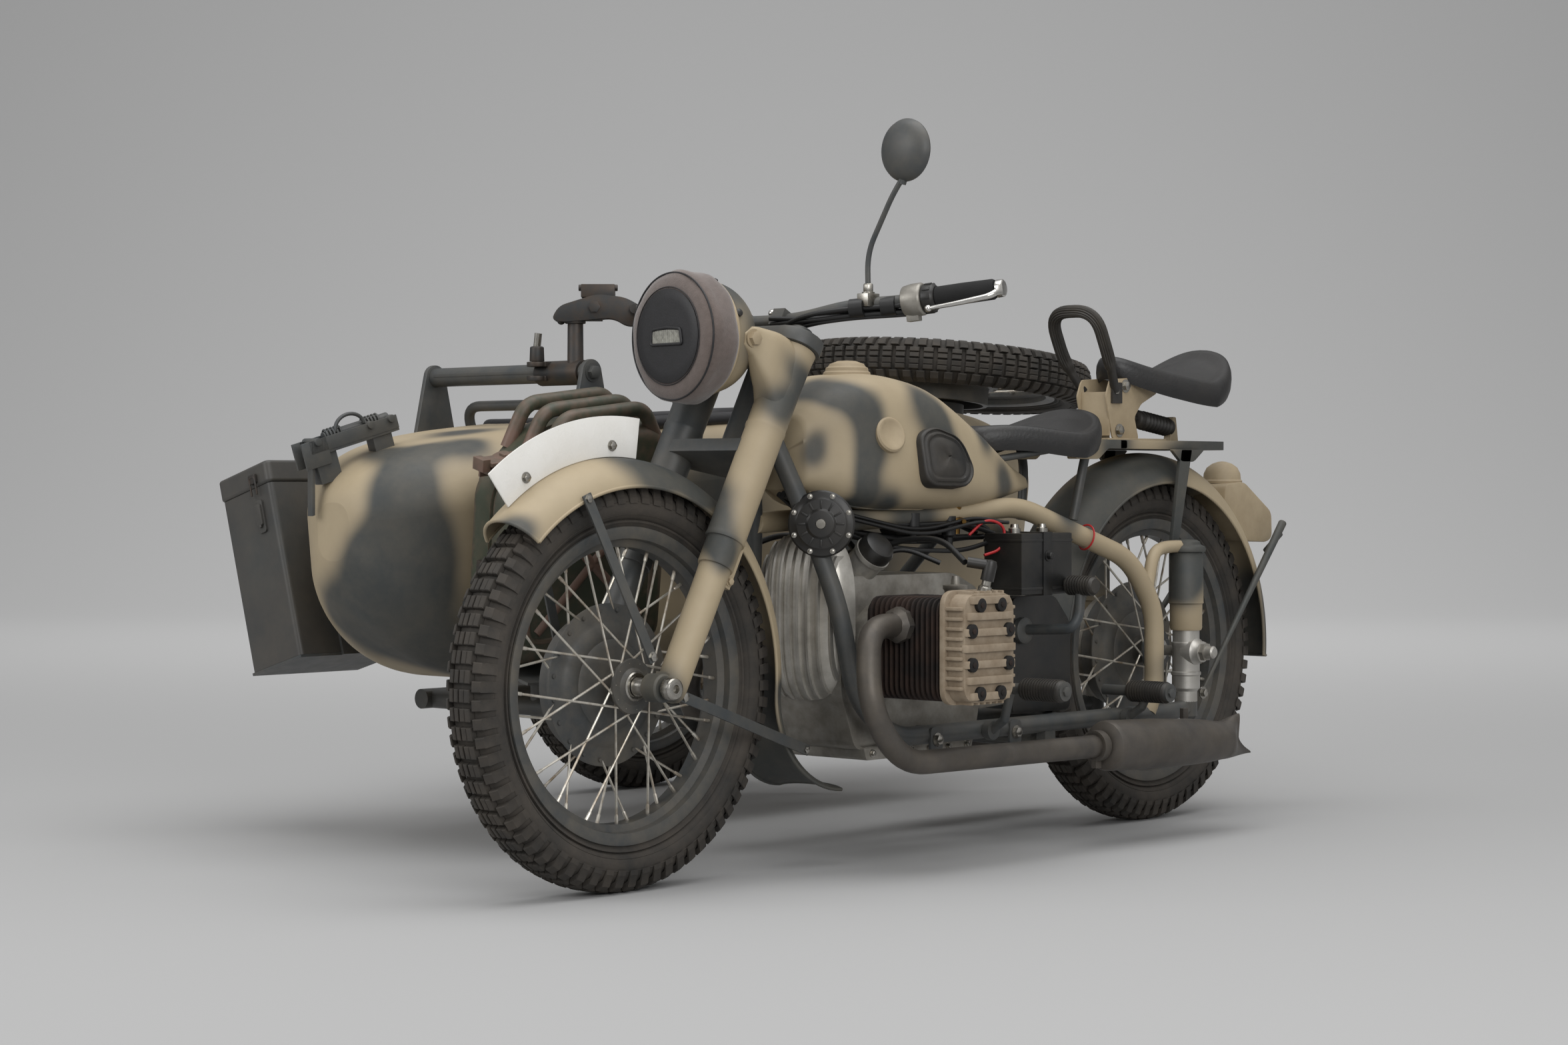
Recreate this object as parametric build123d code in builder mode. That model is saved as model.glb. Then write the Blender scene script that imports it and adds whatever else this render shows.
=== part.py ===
from build123d import *
import math
import os

# A three-wheeled outfit: flat-twin motorcycle with an open sidecar on its right.
# Millimetres. The outfit faces -Y, the motorcycle's left is +X, the floor is Z = 0.
# While the pieces are made, the motorcycle stands in the plane X = 0, mid-wheelbase at Y = 0.

# Wheels, all four alike
WHEELBASE = 1430
TYRE_R = 333
TYRE_W = 94
BEAD_R = 241
FLANGE_R = 256
SHOULDER_R = 302
CROWN_HALF = 29
RIM_W = 66
RIM_WALL = 3
RIM_WELL = 17
WELL_HALF = 13
SPOKES = 40
SPOKE_R = 2.2
AXLE_R = 10
DRUM_R = 112
DRUM_WALL = 10
DRUM_FLANGE_R = 132
HUB_FLANGE_R = 44
HUB_R = 27
HUB_LEFT = 50
HUB_RIGHT = 58
BARREL_RIGHT = 48
SIDECAR_TRACK = 1170
SIDECAR_LEAD = 235

# Fits and running gaps
SEAT_GAP = 0.3
PIN_FIT = 0.1
RUN_GAP = 5

# Front fork and steering
RAKE = 28
HEAD_TOP = (0, -330, 900)
HEAD_R = 30
HEAD_LEN = 172
HEAD_DROP = 50
STEM_R = 14
LEG_X = 95
LEG_LEAD = 43
SLIDER_R = 26
COVER_R = 33
COLLAR_R = 30
YOKE_T = 24
LEG_FOOT = 690
COLLAR_LOW = 450
COLLAR_HIGH = 403

# Lamp and bars
LAMP_R = 95
LAMP_Y = -600
LAMP_Z = 900
LAMP_BAND = 70
HOOD_R = 106
BAR_R = 11
BAR_HALF = 405
GRIP_R = 17
GRIP_LEN = 104
MIRROR_R = 54

# Fenders
FENDER_R = 372
FENDER_W = 122
FENDER_DROP = 46
FENDER_T = 2.5
REAR_FENDER_R = 385
REAR_FENDER_W = 150
STAY_T = 4
STAY_W = 18
STAY_X = FENDER_W / 2 + 5
STAY_RING = 22
# front stays: angle about the axle, reach
FRONT_STAYS = ((-20, 388), (112, FENDER_R - FENDER_DROP + 12))

# Frame
TUBE_R = 17
TOP_TUBE_R = 15.5
RAIL_X = 130
RAIL_Z = 222
REAR_POST_Y = 585
PLUNGER_X = 112
PLUNGER_R = 33
PLUNGER_ROD_R = 25
PLUNGER_LOW = 236
PLUNGER_JOINT = 385
PLUNGER_TOP = 533

# Engine
CRANK_Y = -165
CRANK_Z = 380
CASE_HALF = 112
SPIGOT_R = 74
BARREL_LEN = 128
FIN_HALF = 75
FIN_COUNT = 9
FIN_T = 4
HEAD_OUT = 330
PORT_X = 200
PORT_Z = 420
PORT_REACH = 92
HEAD_W = 150
HEAD_H = 183
CYLINDER_STAGGER = 39
SUMP_Z = 180
PIPE_R = 21
MUFFLER_R = 41
PIPE_X = 235
PIPE_Z = 192
SHAFT_X = 92
SHAFT_R = 12

# Seats
SADDLE_Z = 735
SADDLE_T = 42
PILLION_Z = 850

# Sidecar
TUB_X = -720
TUB_WALL = 6
SIDE_TUBE_R = 19
SIDE_RAIL_IN = -520
SIDE_RAIL_OUT = -930
SIDE_RAIL_Z = 245
CAN_SIZE = (165, 345, 430)
CAN_LEAN = 15
LOCKER_SIZE = (150, 250, 330)
LOCKER_LEAN = 16
LID_H = 42
LOCKER_WALL = 3
BAR_Z = 862
BAR_Y = -280
SPARE = (-720, 965, 890)
SPARE_TILT = 6

AXLE_Z = TYRE_R
FRONT = (0, -WHEELBASE / 2, AXLE_Z)
REAR = (0, WHEELBASE / 2, AXLE_Z)
SIDE = (-SIDECAR_TRACK, WHEELBASE / 2 - SIDECAR_LEAD, AXLE_Z)
BORE_R = AXLE_R + PIN_FIT
SIN_RAKE = math.sin(math.radians(RAKE))
COS_RAKE = math.cos(math.radians(RAKE))
STEER = Plane(origin=HEAD_TOP, x_dir=(1, 0, 0), z_dir=(0, SIN_RAKE, COS_RAKE))

pieces = []


def keep(builder, name):
    """Label a finished piece and put it on the list that is written out."""
    builder.part.label = name
    pieces.append(builder.part)


def fork_point(x, y, z):
    """A point given across, ahead of and along the steering axis, in the model's frame."""
    return STEER.from_local_coords(Vector(x, y, z))


def tube(points, radius, bend=0):
    """A round bar along straight runs, joined by arcs of one radius."""
    with BuildPart() as bar:
        with BuildLine() as route:
            if bend:
                FilletPolyline(*points, radius=bend)
            else:
                Polyline(*points)
        path = route.wires()[0]
        with BuildSketch(Plane(origin=path @ 0, z_dir=path % 0)):
            Circle(radius)
        sweep(path=path, transition=Transition.RIGHT)
    return bar.part


def both_sides(points):
    """A route and its mirror image across the motorcycle's middle plane."""
    return [points, [(-x, y, z) for x, y, z in points]]


def across(x, y, z):
    """A plane whose normal is the wheels' axle line, for discs and bosses."""
    return Plane(origin=(x, y, z), x_dir=(0, 1, 0), z_dir=(1, 0, 0))


def disc(centre_yz, x_low, x_high, radius):
    """A solid disc or pin along X between two places."""
    with BuildPart() as body:
        with BuildSketch(across(x_low, *centre_yz)):
            Circle(radius)
        extrude(amount=x_high - x_low)
    return body.part


def upright(x, y, z_low, z_high, radius):
    """A vertical round post."""
    with BuildPart() as body:
        with BuildSketch(Plane((x, y, z_low))):
            Circle(radius)
        extrude(amount=z_high - z_low)
    return body.part


def section(y, x, half_top, half_low, z_low, z_high, radius):
    """A rounded four-sided cross-section of a body that is lofted along Y."""
    with BuildSketch(Plane(origin=(x, y, 0), x_dir=(1, 0, 0), z_dir=(0, -1, 0))) as outline:
        with BuildLine():
            Polyline((-half_low, z_low), (half_low, z_low), (half_top, z_high), (-half_top, z_high), close=True)
        make_face()
        fillet(outline.vertices(), radius)
    return outline.sketch


def fender(centre, radius, width, drop, low_deg, high_deg, tail_r=0, tail_deg=0):
    """A domed fender over a wheel, its angles from the rear up, with a flared tail."""
    low = math.radians(low_deg)
    out = Vector(0, math.cos(low), math.sin(low))
    start = Plane(origin=centre, x_dir=(1, 0, 0), z_dir=(0, -out.Z, out.Y))
    half = width / 2
    with BuildPart() as shell:
        with BuildSketch(start) as profile:
            with BuildLine():
                ThreePointArc((-half, radius - drop), (0, radius), (half, radius - drop))
                Line((half, radius - drop), (half - FENDER_T, radius - drop))
                ThreePointArc(
                    (half - FENDER_T, radius - drop), (0, radius - FENDER_T), (-half + FENDER_T, radius - drop)
                )
                Line((-half + FENDER_T, radius - drop), (-half, radius - drop))
            make_face()
        revolve(axis=Axis(centre, (1, 0, 0)), revolution_arc=high_deg - low_deg)
        if tail_deg:
            hinge = Vector(centre) + out * (radius + tail_r)
            revolve(profile.sketch, axis=Axis(hinge, (1, 0, 0)), revolution_arc=tail_deg)
    return shell.part


def make_tyre():
    """The tyre about its own centre, axle along X, out to the tips of its tread blocks."""
    bead = RIM_W / 2 - RIM_WALL - 1
    side = TYRE_W / 2
    with BuildPart() as tyre:
        with BuildSketch(Plane.XY):
            with BuildLine():
                Polyline(
                    (-bead, BEAD_R + SEAT_GAP),
                    (bead, BEAD_R + SEAT_GAP),
                    (bead, FLANGE_R),
                    (side, SHOULDER_R),
                    (CROWN_HALF, TYRE_R),
                    (-CROWN_HALF, TYRE_R),
                    (-side, SHOULDER_R),
                    (-bead, FLANGE_R),
                    close=True,
                )
            make_face()
        revolve(axis=Axis.X)
    return tyre.part


def make_wire_wheel():
    """Rim, forty spokes and drum hub about their own centre, axle along X, drum towards -X."""
    half = RIM_W / 2
    well = BEAD_R - RIM_WELL
    with BuildPart() as wheel:
        with BuildSketch(Plane.XY):
            with BuildLine():
                Polyline(
                    (half, BEAD_R - RIM_WALL),
                    (half, FLANGE_R),
                    (half - RIM_WALL, FLANGE_R),
                    (half - RIM_WALL, BEAD_R),
                    (RIM_WALL - half, BEAD_R),
                    (RIM_WALL - half, FLANGE_R),
                    (-half, FLANGE_R),
                    (-half, BEAD_R - RIM_WALL),
                    (-WELL_HALF, well),
                    (WELL_HALF, well),
                    close=True,
                )
            make_face()
        revolve(axis=Axis.X)
        with BuildSketch(Plane.XY):
            with BuildLine():
                Polyline(
                    (HUB_LEFT, BORE_R),
                    (HUB_LEFT, HUB_R),
                    (42, HUB_FLANGE_R),
                    (36, HUB_FLANGE_R),
                    (32, HUB_R),
                    (4, HUB_R),
                    (-10, DRUM_FLANGE_R),
                    (-19, DRUM_FLANGE_R),
                    (-24, DRUM_R),
                    (-HUB_RIGHT, DRUM_R),
                    (-HUB_RIGHT, DRUM_R - DRUM_WALL),
                    (-24, DRUM_R - DRUM_WALL),
                    (-24, HUB_R),
                    (-BARREL_RIGHT, HUB_R),
                    (-BARREL_RIGHT, BORE_R),
                    close=True,
                )
            make_face()
        revolve(axis=Axis.X)
        for i in range(SPOKES):
            left = i % 2 == 0
            lean = 1 if (i // 2) % 2 == 0 else -1
            rim_angle = math.radians(360 / SPOKES * i)
            hub_angle = rim_angle + math.radians(62 if left else 14) * lean
            hub_r = HUB_FLANGE_R - 5 if left else DRUM_FLANGE_R - 6
            inner = Vector(39 if left else -16, hub_r * math.cos(hub_angle), hub_r * math.sin(hub_angle))
            rim_x = 5 if left else -5
            rim_r = well + RIM_WALL
            outer = Vector(rim_x, rim_r * math.cos(rim_angle), rim_r * math.sin(rim_angle))
            run = outer - inner
            with BuildSketch(Plane(origin=inner, z_dir=run.normalized())):
                Rectangle(2 * SPOKE_R, 2 * SPOKE_R)
            extrude(amount=run.length)
    return wheel.part


# Four alike wheels: front, rear, sidecar and the spare that lies on the sidecar's tail
TYRE = make_tyre()
WIRE_WHEEL = make_wire_wheel()
SPARE_PLACE = Location(SPARE) * Location((0, 0, 0), (-SPARE_TILT, 0, 0)) * Location((0, 0, 0), (0, -90, 0))
WHEEL_PLACES = {
    "front": Location(FRONT),
    "rear": Location(REAR),
    "sidecar": Location(SIDE),
    "spare": SPARE_PLACE,
}
for place, location in WHEEL_PLACES.items():
    with BuildPart() as tyre_copy:
        add(TYRE.moved(location))
    keep(tyre_copy, place + "_tyre")
    with BuildPart() as wheel_copy:
        add(WIRE_WHEEL.moved(location))
    keep(wheel_copy, place + "_wire_wheel")

# Steering: yokes on the stem, two covered legs, the front axle and its brake plate
AXLE_AT = STEER.to_local_coords(Vector(FRONT))
HEAD_LOW = -HEAD_DROP - HEAD_LEN
YOKE_LOW = HEAD_LOW - RUN_GAP - YOKE_T
YOKE_HIGH = -HEAD_DROP + RUN_GAP
with BuildPart() as yokes:
    for level, leg_hole in ((YOKE_LOW, COVER_R + SEAT_GAP), (YOKE_HIGH, STEM_R + SEAT_GAP)):
        with BuildSketch(STEER.offset(level)):
            with Locations((LEG_X, -LEG_LEAD), (-LEG_X, -LEG_LEAD)):
                Circle(COVER_R + 9)
            Circle(HEAD_R + 6)
            make_hull()
            with Locations((LEG_X, -LEG_LEAD), (-LEG_X, -LEG_LEAD)):
                Circle(leg_hole, mode=Mode.SUBTRACT)
        extrude(amount=YOKE_T)
    with BuildSketch(STEER.offset(YOKE_LOW)):
        Circle(STEM_R)
    extrude(amount=YOKE_HIGH + YOKE_T + 12 - YOKE_LOW)
keep(yokes, "fork_yokes")

LEG_TOP = YOKE_HIGH - SEAT_GAP
for side, name in ((1, "left"), (-1, "right")):
    # heights along the leg: from, to, radius
    steps = (
        (-LEG_FOOT, -COLLAR_LOW, SLIDER_R),
        (-COLLAR_LOW, -COLLAR_HIGH, COLLAR_R),
        (-COLLAR_HIGH, LEG_TOP, COVER_R),
        (LEG_TOP, YOKE_HIGH + YOKE_T + 9, STEM_R),
    )
    with BuildPart() as leg:
        for low, high, radius in steps:
            with BuildSketch(STEER.offset(low)):
                with Locations((side * LEG_X, -LEG_LEAD)):
                    Circle(radius)
            extrude(amount=high - low)
        with BuildSketch(across(side * (LEG_X - 20), FRONT[1], FRONT[2])):
            Circle(SLIDER_R)
        extrude(amount=side * (20 + SLIDER_R))
        ear_x = side * (LAMP_R + 2)
        with BuildSketch(Plane(origin=(ear_x, 0, 0), x_dir=(0, 1, 0), z_dir=(1, 0, 0))):
            with BuildLine():
                Polyline((-402, 836), (-500, 876), (-522, 884), (-522, 912), (-500, 920), (-398, 862), close=True)
            make_face()
        extrude(amount=side * 4)
        with BuildSketch(across(side * LEG_X - 30, FRONT[1], FRONT[2])):
            Circle(BORE_R)
        extrude(amount=60, mode=Mode.SUBTRACT)
    keep(leg, "fork_leg_" + name)

with BuildPart() as front_axle:
    nut_x = LEG_X + SLIDER_R + SEAT_GAP
    add(disc((FRONT[1], FRONT[2]), -nut_x - 14, nut_x + 14, AXLE_R))
    for side in (1, -1):
        with BuildSketch(across(side * nut_x, FRONT[1], FRONT[2])):
            RegularPolygon(17, 6)
        extrude(amount=side * 11)
    with BuildSketch(across(-HUB_RIGHT - 2, FRONT[1], FRONT[2])):
        Circle(DRUM_R - DRUM_WALL - RUN_GAP)
    extrude(amount=6)
keep(front_axle, "front_axle")

# Lamp shell, its cloth hood with a slot, and the bars with their fittings
lamp_axis = Axis((0, 0, LAMP_Z), (0, 1, 0))
with BuildPart() as headlamp:
    with BuildSketch(Plane(origin=(0, 0, LAMP_Z), x_dir=(1, 0, 0), z_dir=(0, 0, 1))):
        with BuildLine():
            Line((0, LAMP_Y), (LAMP_R - 4, LAMP_Y))
            Line((LAMP_R - 4, LAMP_Y), (LAMP_R, LAMP_Y + 10))
            Line((LAMP_R, LAMP_Y + 10), (LAMP_R, LAMP_Y + LAMP_BAND))
            CenterArc((0, LAMP_Y + LAMP_BAND), LAMP_R, 0, 90)
            Line((0, LAMP_Y + LAMP_BAND + LAMP_R), (0, LAMP_Y))
        make_face()
    revolve(axis=lamp_axis)
keep(headlamp, "headlamp")

HOOD_T = 6
hood_front = LAMP_Y - SEAT_GAP - HOOD_T
with BuildPart() as hood:
    with BuildSketch(Plane(origin=(0, 0, LAMP_Z), x_dir=(1, 0, 0), z_dir=(0, 0, 1))):
        with BuildLine():
            Polyline(
                (0, hood_front),
                (HOOD_R - 8, hood_front),
                (HOOD_R, hood_front + 10),
                (HOOD_R, LAMP_Y + 52),
                (LAMP_R + SEAT_GAP, LAMP_Y + 52),
                (LAMP_R + SEAT_GAP, LAMP_Y - SEAT_GAP),
                (0, LAMP_Y - SEAT_GAP),
                close=True,
            )
        make_face()
    revolve(axis=lamp_axis)
    with BuildSketch(Plane(origin=(0, hood_front, LAMP_Z), x_dir=(1, 0, 0), z_dir=(0, -1, 0))):
        Rectangle(96, 26)
    extrude(amount=-HOOD_T, mode=Mode.SUBTRACT)
keep(hood, "headlamp_hood")

BAR_CENTRE = fork_point(0, -45, 12)
BAR_ROUTE = [
    (BAR_HALF, -240, 976),
    (254, -288, 960),
    (180, -340, 954),
    (70, BAR_CENTRE.Y, BAR_CENTRE.Z),
]
BAR_POINTS = BAR_ROUTE + [(-x, y, z) for x, y, z in reversed(BAR_ROUTE)]
with BuildPart() as handlebar:
    add(tube(BAR_POINTS, BAR_R, 45))
    for x in (-45, 45):
        with BuildSketch(STEER.offset(YOKE_HIGH + YOKE_T + SEAT_GAP)):
            with Locations((x, -45)):
                Circle(15)
        extrude(amount=12 - YOKE_HIGH - YOKE_T)
keep(handlebar, "handlebar")

grip_end = Vector(*BAR_ROUTE[0])
grip_dir = (grip_end - Vector(*BAR_ROUTE[1])).normalized()
# distance in from the bar's end: start, length, outer radius
GRIP_STEPS = ((0, GRIP_LEN, GRIP_R), (GRIP_LEN, 8, 22), (GRIP_LEN + 8, 18, 26))
LEVER_ASIDE = Vector(0, -34, -20)
LEVER_LEN = 138
with BuildPart() as grips:
    for side in (1, -1):
        bar_end = Vector(side * grip_end.X, grip_end.Y, grip_end.Z)
        out = Vector(side * grip_dir.X, grip_dir.Y, grip_dir.Z)
        for start, length, radius in GRIP_STEPS:
            with BuildSketch(Plane(origin=bar_end - out * (start + length), z_dir=out)):
                Circle(radius)
                Circle(BAR_R + SEAT_GAP, mode=Mode.SUBTRACT)
            extrude(amount=length)
keep(grips, "grips")

with BuildPart() as levers:
    for side in (1, -1):
        bar_end = Vector(side * grip_end.X, grip_end.Y, grip_end.Z)
        out = Vector(side * grip_dir.X, grip_dir.Y, grip_dir.Z)
        with BuildSketch(Plane(origin=bar_end + out * SEAT_GAP, z_dir=out)):
            Circle(15)
        extrude(amount=14)
        pivot = bar_end + out * 7
        knee = pivot + LEVER_ASIDE - out * LEVER_ASIDE.dot(out)
        add(tube([pivot, knee, knee - out * LEVER_LEN], 5))
keep(levers, "levers")

MIRROR_AT = (292, -332, 1200)
with BuildPart() as mirror_head:
    with BuildSketch(Plane(origin=MIRROR_AT, x_dir=(0.97, 0.24, 0), z_dir=(0.24, -0.97, 0))):
        Circle(MIRROR_R)
    extrude(amount=22, taper=22)
    add(tube([(205, -328, 966 + SEAT_GAP), (205, -330, 1020), (282, -336, 1160)], 5, 30))
    with BuildSketch(Plane((205, -328, 960))):
        Circle(13)
    extrude(amount=20)
    add(handlebar.part, mode=Mode.SUBTRACT)
keep(mirror_head, "mirror")

with BuildPart() as damper_knob:
    knob_base = YOKE_HIGH + YOKE_T + 12 + SEAT_GAP
    with BuildSketch(STEER.offset(knob_base)):
        Circle(15)
        with PolarLocations(20, 3):
            Circle(11)
        make_hull()
    extrude(amount=20)
keep(damper_knob, "damper_knob")

# Front fender with its flat stays, and the blank plate along its top
with BuildPart() as front_fender:
    add(fender(FRONT, FENDER_R, FENDER_W, FENDER_DROP, -5, 140, 200, 55))
    for side in (1, -1):
        for degrees, reach in FRONT_STAYS:
            turn = math.radians(degrees)
            end = (FRONT[1] + (reach - 8) * math.cos(turn), FRONT[2] + (reach - 8) * math.sin(turn))
            add(disc(end, side * STAY_X - STAY_T - 4, side * STAY_X + STAY_T + 4, 8))
            with BuildSketch(across(side * STAY_X - STAY_T / 2, FRONT[1], FRONT[2])):
                with Locations((0, 0, 0)):
                    Circle(STAY_RING)
                    Circle(AXLE_R + 3, mode=Mode.SUBTRACT)
                with Locations(Rotation(0, 0, degrees)):
                    with Locations((reach / 2 + 8, 0)):
                        Rectangle(reach - 16, STAY_W)
            extrude(amount=STAY_T)
keep(front_fender, "front_fender")

PLATE_LOW = FENDER_R + SEAT_GAP
PLATE_HIGH = 440
with BuildPart() as front_plate:
    with BuildSketch(across(-1.5, FRONT[1], FRONT[2])):
        with BuildLine():
            CenterArc((0, 0), PLATE_LOW, 82, 47)
            CenterArc((0, 0), PLATE_HIGH, 82, 47)
            for degrees in (82, 129):
                turn = math.radians(degrees)
                Line(
                    (PLATE_LOW * math.cos(turn), PLATE_LOW * math.sin(turn)),
                    (PLATE_HIGH * math.cos(turn), PLATE_HIGH * math.sin(turn)),
                )
        make_face()
    extrude(amount=3)
keep(front_plate, "front_plate")

# Frame: steering head, twin top tubes that bend down behind, twin cradle tubes and plunger lugs
TOP_ROUTE = [(58, -322, 590), (70, 180, 588), (RAIL_X, 545, 476), (RAIL_X, REAR_POST_Y, RAIL_Z)]
DOWN_ROUTE = [
    (18, -380, 765),
    (48, -345, 640),
    (100, -240, 300),
    (RAIL_X, -168, RAIL_Z),
    (RAIL_X, 640, RAIL_Z),
]
STAND_Y = 250
STAND_DROP = 32
STAND_Z = RAIL_Z - STAND_DROP
STAND_PIN_R = 8
CROSS_BARS = ((-60, RAIL_Z), (330, RAIL_Z))
with BuildPart() as frame:
    with BuildSketch(STEER.offset(HEAD_LOW)):
        Circle(HEAD_R)
    extrude(amount=HEAD_LEN)
    for route in both_sides(TOP_ROUTE):
        add(tube(route, TOP_TUBE_R, 50))
    for route in both_sides(DOWN_ROUTE):
        add(tube(route, TUBE_R, 50))
    for y, z in CROSS_BARS:
        add(tube([(-RAIL_X, y, z), (RAIL_X, y, z)], 13))
    for side in (1, -1):
        rear = REAR[1]
        add(tube([(side * RAIL_X, 630, RAIL_Z), (side * PLUNGER_X, rear, RAIL_Z)], 13))
        add(upright(side * PLUNGER_X, rear, RAIL_Z - 12, PLUNGER_LOW - SEAT_GAP, 22))
        arm = [(side * RAIL_X, 548, 478), (side * (RAIL_X - 4), 630, 566), (side * PLUNGER_X, rear, 566)]
        add(tube(arm, 13, 40))
        add(upright(side * PLUNGER_X, rear, PLUNGER_TOP + SEAT_GAP, PLUNGER_TOP + 40, 24))
    add(disc((STAND_Y, STAND_Z), -RAIL_X, RAIL_X, STAND_PIN_R))
    for side in (1, -1):
        with BuildSketch(across(side * (RAIL_X - 14), STAND_Y, STAND_Z + STAND_DROP / 2)):
            RectangleRounded(30, STAND_DROP + 28, 12)
        extrude(amount=side * 20)
    with BuildSketch(STEER.offset(HEAD_LOW)):
        Circle(STEM_R + PIN_FIT)
    extrude(amount=HEAD_LEN, mode=Mode.SUBTRACT)
keep(frame, "frame")

with BuildPart() as plungers:
    for side in (1, -1):
        x = side * PLUNGER_X
        add(upright(x, REAR[1], PLUNGER_LOW, PLUNGER_LOW + 30, 15))
        add(upright(x, REAR[1], PLUNGER_LOW + 24, PLUNGER_JOINT, PLUNGER_ROD_R))
        add(upright(x, REAR[1], PLUNGER_JOINT, PLUNGER_TOP, PLUNGER_R))
        add(disc((REAR[1], REAR[2]), x - 34, x + 34, 24))
    with BuildSketch(across(-RAIL_X * 2, REAR[1], REAR[2])):
        Circle(BORE_R)
    extrude(amount=RAIL_X * 4, mode=Mode.SUBTRACT)
keep(plungers, "plungers")

# Engine: crankcase with ribbed front cover and sump, gearbox behind, side-valve cylinders
with BuildPart() as crankcase:
    with BuildSketch(Plane(origin=(0, 0, 0), x_dir=(0, 1, 0), z_dir=(1, 0, 0)).offset(-88)):
        with BuildLine():
            Polyline((-262, 300), (-225, 200), (90, 200), (110, 240), (110, 470), (40, 500), (-262, 500), close=True)
        make_face()
    extrude(amount=176)
    with BuildSketch(Plane(origin=(0, 0, SUMP_Z), x_dir=(1, 0, 0), z_dir=(0, 0, 1))):
        with Locations((0, -60)):
            RectangleRounded(150, 260, 30)
    extrude(amount=60)
    for side, shift in ((1, 0), (-1, CYLINDER_STAGGER)):
        with BuildSketch(across(0, CRANK_Y + shift, CRANK_Z)):
            Circle(SPIGOT_R)
        extrude(amount=side * CASE_HALF)
    with BuildSketch(Plane(origin=(0, -262, CRANK_Z + 15), x_dir=(1, 0, 0), z_dir=(0, -1, 0))):
        Circle(92)
    extrude(amount=42, taper=12)
    with BuildSketch(Plane(origin=(0, -285, CRANK_Z + 15), x_dir=(1, 0, 0), z_dir=(0, -1, 0))):
        with Locations((-36, 0), (-18, 0), (0, 0), (18, 0), (36, 0)):
            Rectangle(5, 120)
    extrude(amount=26)
    with BuildSketch(Plane(origin=(0, 110, 345), x_dir=(1, 0, 0), z_dir=(0, 1, 0))):
        RectangleRounded(190, 230, 60)
    with BuildSketch(Plane(origin=(0, 300, 345), x_dir=(1, 0, 0), z_dir=(0, 1, 0))):
        RectangleRounded(150, 190, 50)
    loft()
    add(tube([(60, 230, 390), (200, 255, 400), (200, 255, 473)], 8))
    add(tube([(175, 255, 473), (235, 255, 473)], 12))
    add(frame.part, mode=Mode.SUBTRACT)
keep(crankcase, "engine_case")

# side of the motorcycle, place of its cylinder along Y
BANKS = ((1, CRANK_Y), (-1, CRANK_Y + CYLINDER_STAGGER))
BARREL_END = CASE_HALF + BARREL_LEN
with BuildPart() as cylinders:
    for side, y in BANKS:
        start = side * (CASE_HALF + SEAT_GAP)
        with BuildSketch(across(start, y, CRANK_Z)):
            RectangleRounded(118, 136, 34)
        extrude(amount=side * BARREL_END - start)
        for i in range(FIN_COUNT):
            fin_x = CASE_HALF + 10 + i * (BARREL_LEN - 14) / (FIN_COUNT - 1)
            with BuildSketch(across(side * fin_x, y, CRANK_Z + 6)):
                RectangleRounded(2 * FIN_HALF, 2 * FIN_HALF + 24, 30)
            extrude(amount=side * FIN_T)
        with BuildSketch(Plane(origin=(side * PORT_X, y - 50, PORT_Z), x_dir=(1, 0, 0), z_dir=(0, -1, 0))):
            Circle(PIPE_R + 7)
        extrude(amount=PORT_REACH - 50)
keep(cylinders, "cylinders")

with BuildPart() as heads:
    for side, y in BANKS:
        face = side * (BARREL_END + SEAT_GAP)
        with BuildSketch(across(face, y, CRANK_Z + 6)):
            RectangleRounded(HEAD_W, HEAD_H, 42)
        extrude(amount=side * 34)
        for row in range(6):
            with BuildSketch(across(side * (BARREL_END + 30), y, CRANK_Z - 60 + row * 26)):
                Rectangle(HEAD_W - 26 - 8 * abs(2.5 - row), 6)
            extrude(amount=side * (HEAD_OUT - BARREL_END - 30))
        with BuildSketch(across(side * (BARREL_END + 30), y - 12, CRANK_Z + 40)):
            Circle(12)
        extrude(amount=side * 72)
keep(heads, "cylinder_heads")

# Carburettors behind the cylinders, exhausts ahead of them and under the rails
with BuildPart() as carburettors:
    for side, y in BANKS:
        back = y + FIN_HALF + SEAT_GAP
        with BuildSketch(Plane(origin=(side * 178, back, PORT_Z), x_dir=(1, 0, 0), z_dir=(0, 1, 0))):
            Circle(19)
        extrude(amount=92)
        add(upright(side * 178, back + 46, CRANK_Z - 16, CRANK_Z + 106, 22))
keep(carburettors, "carburettors")

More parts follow.
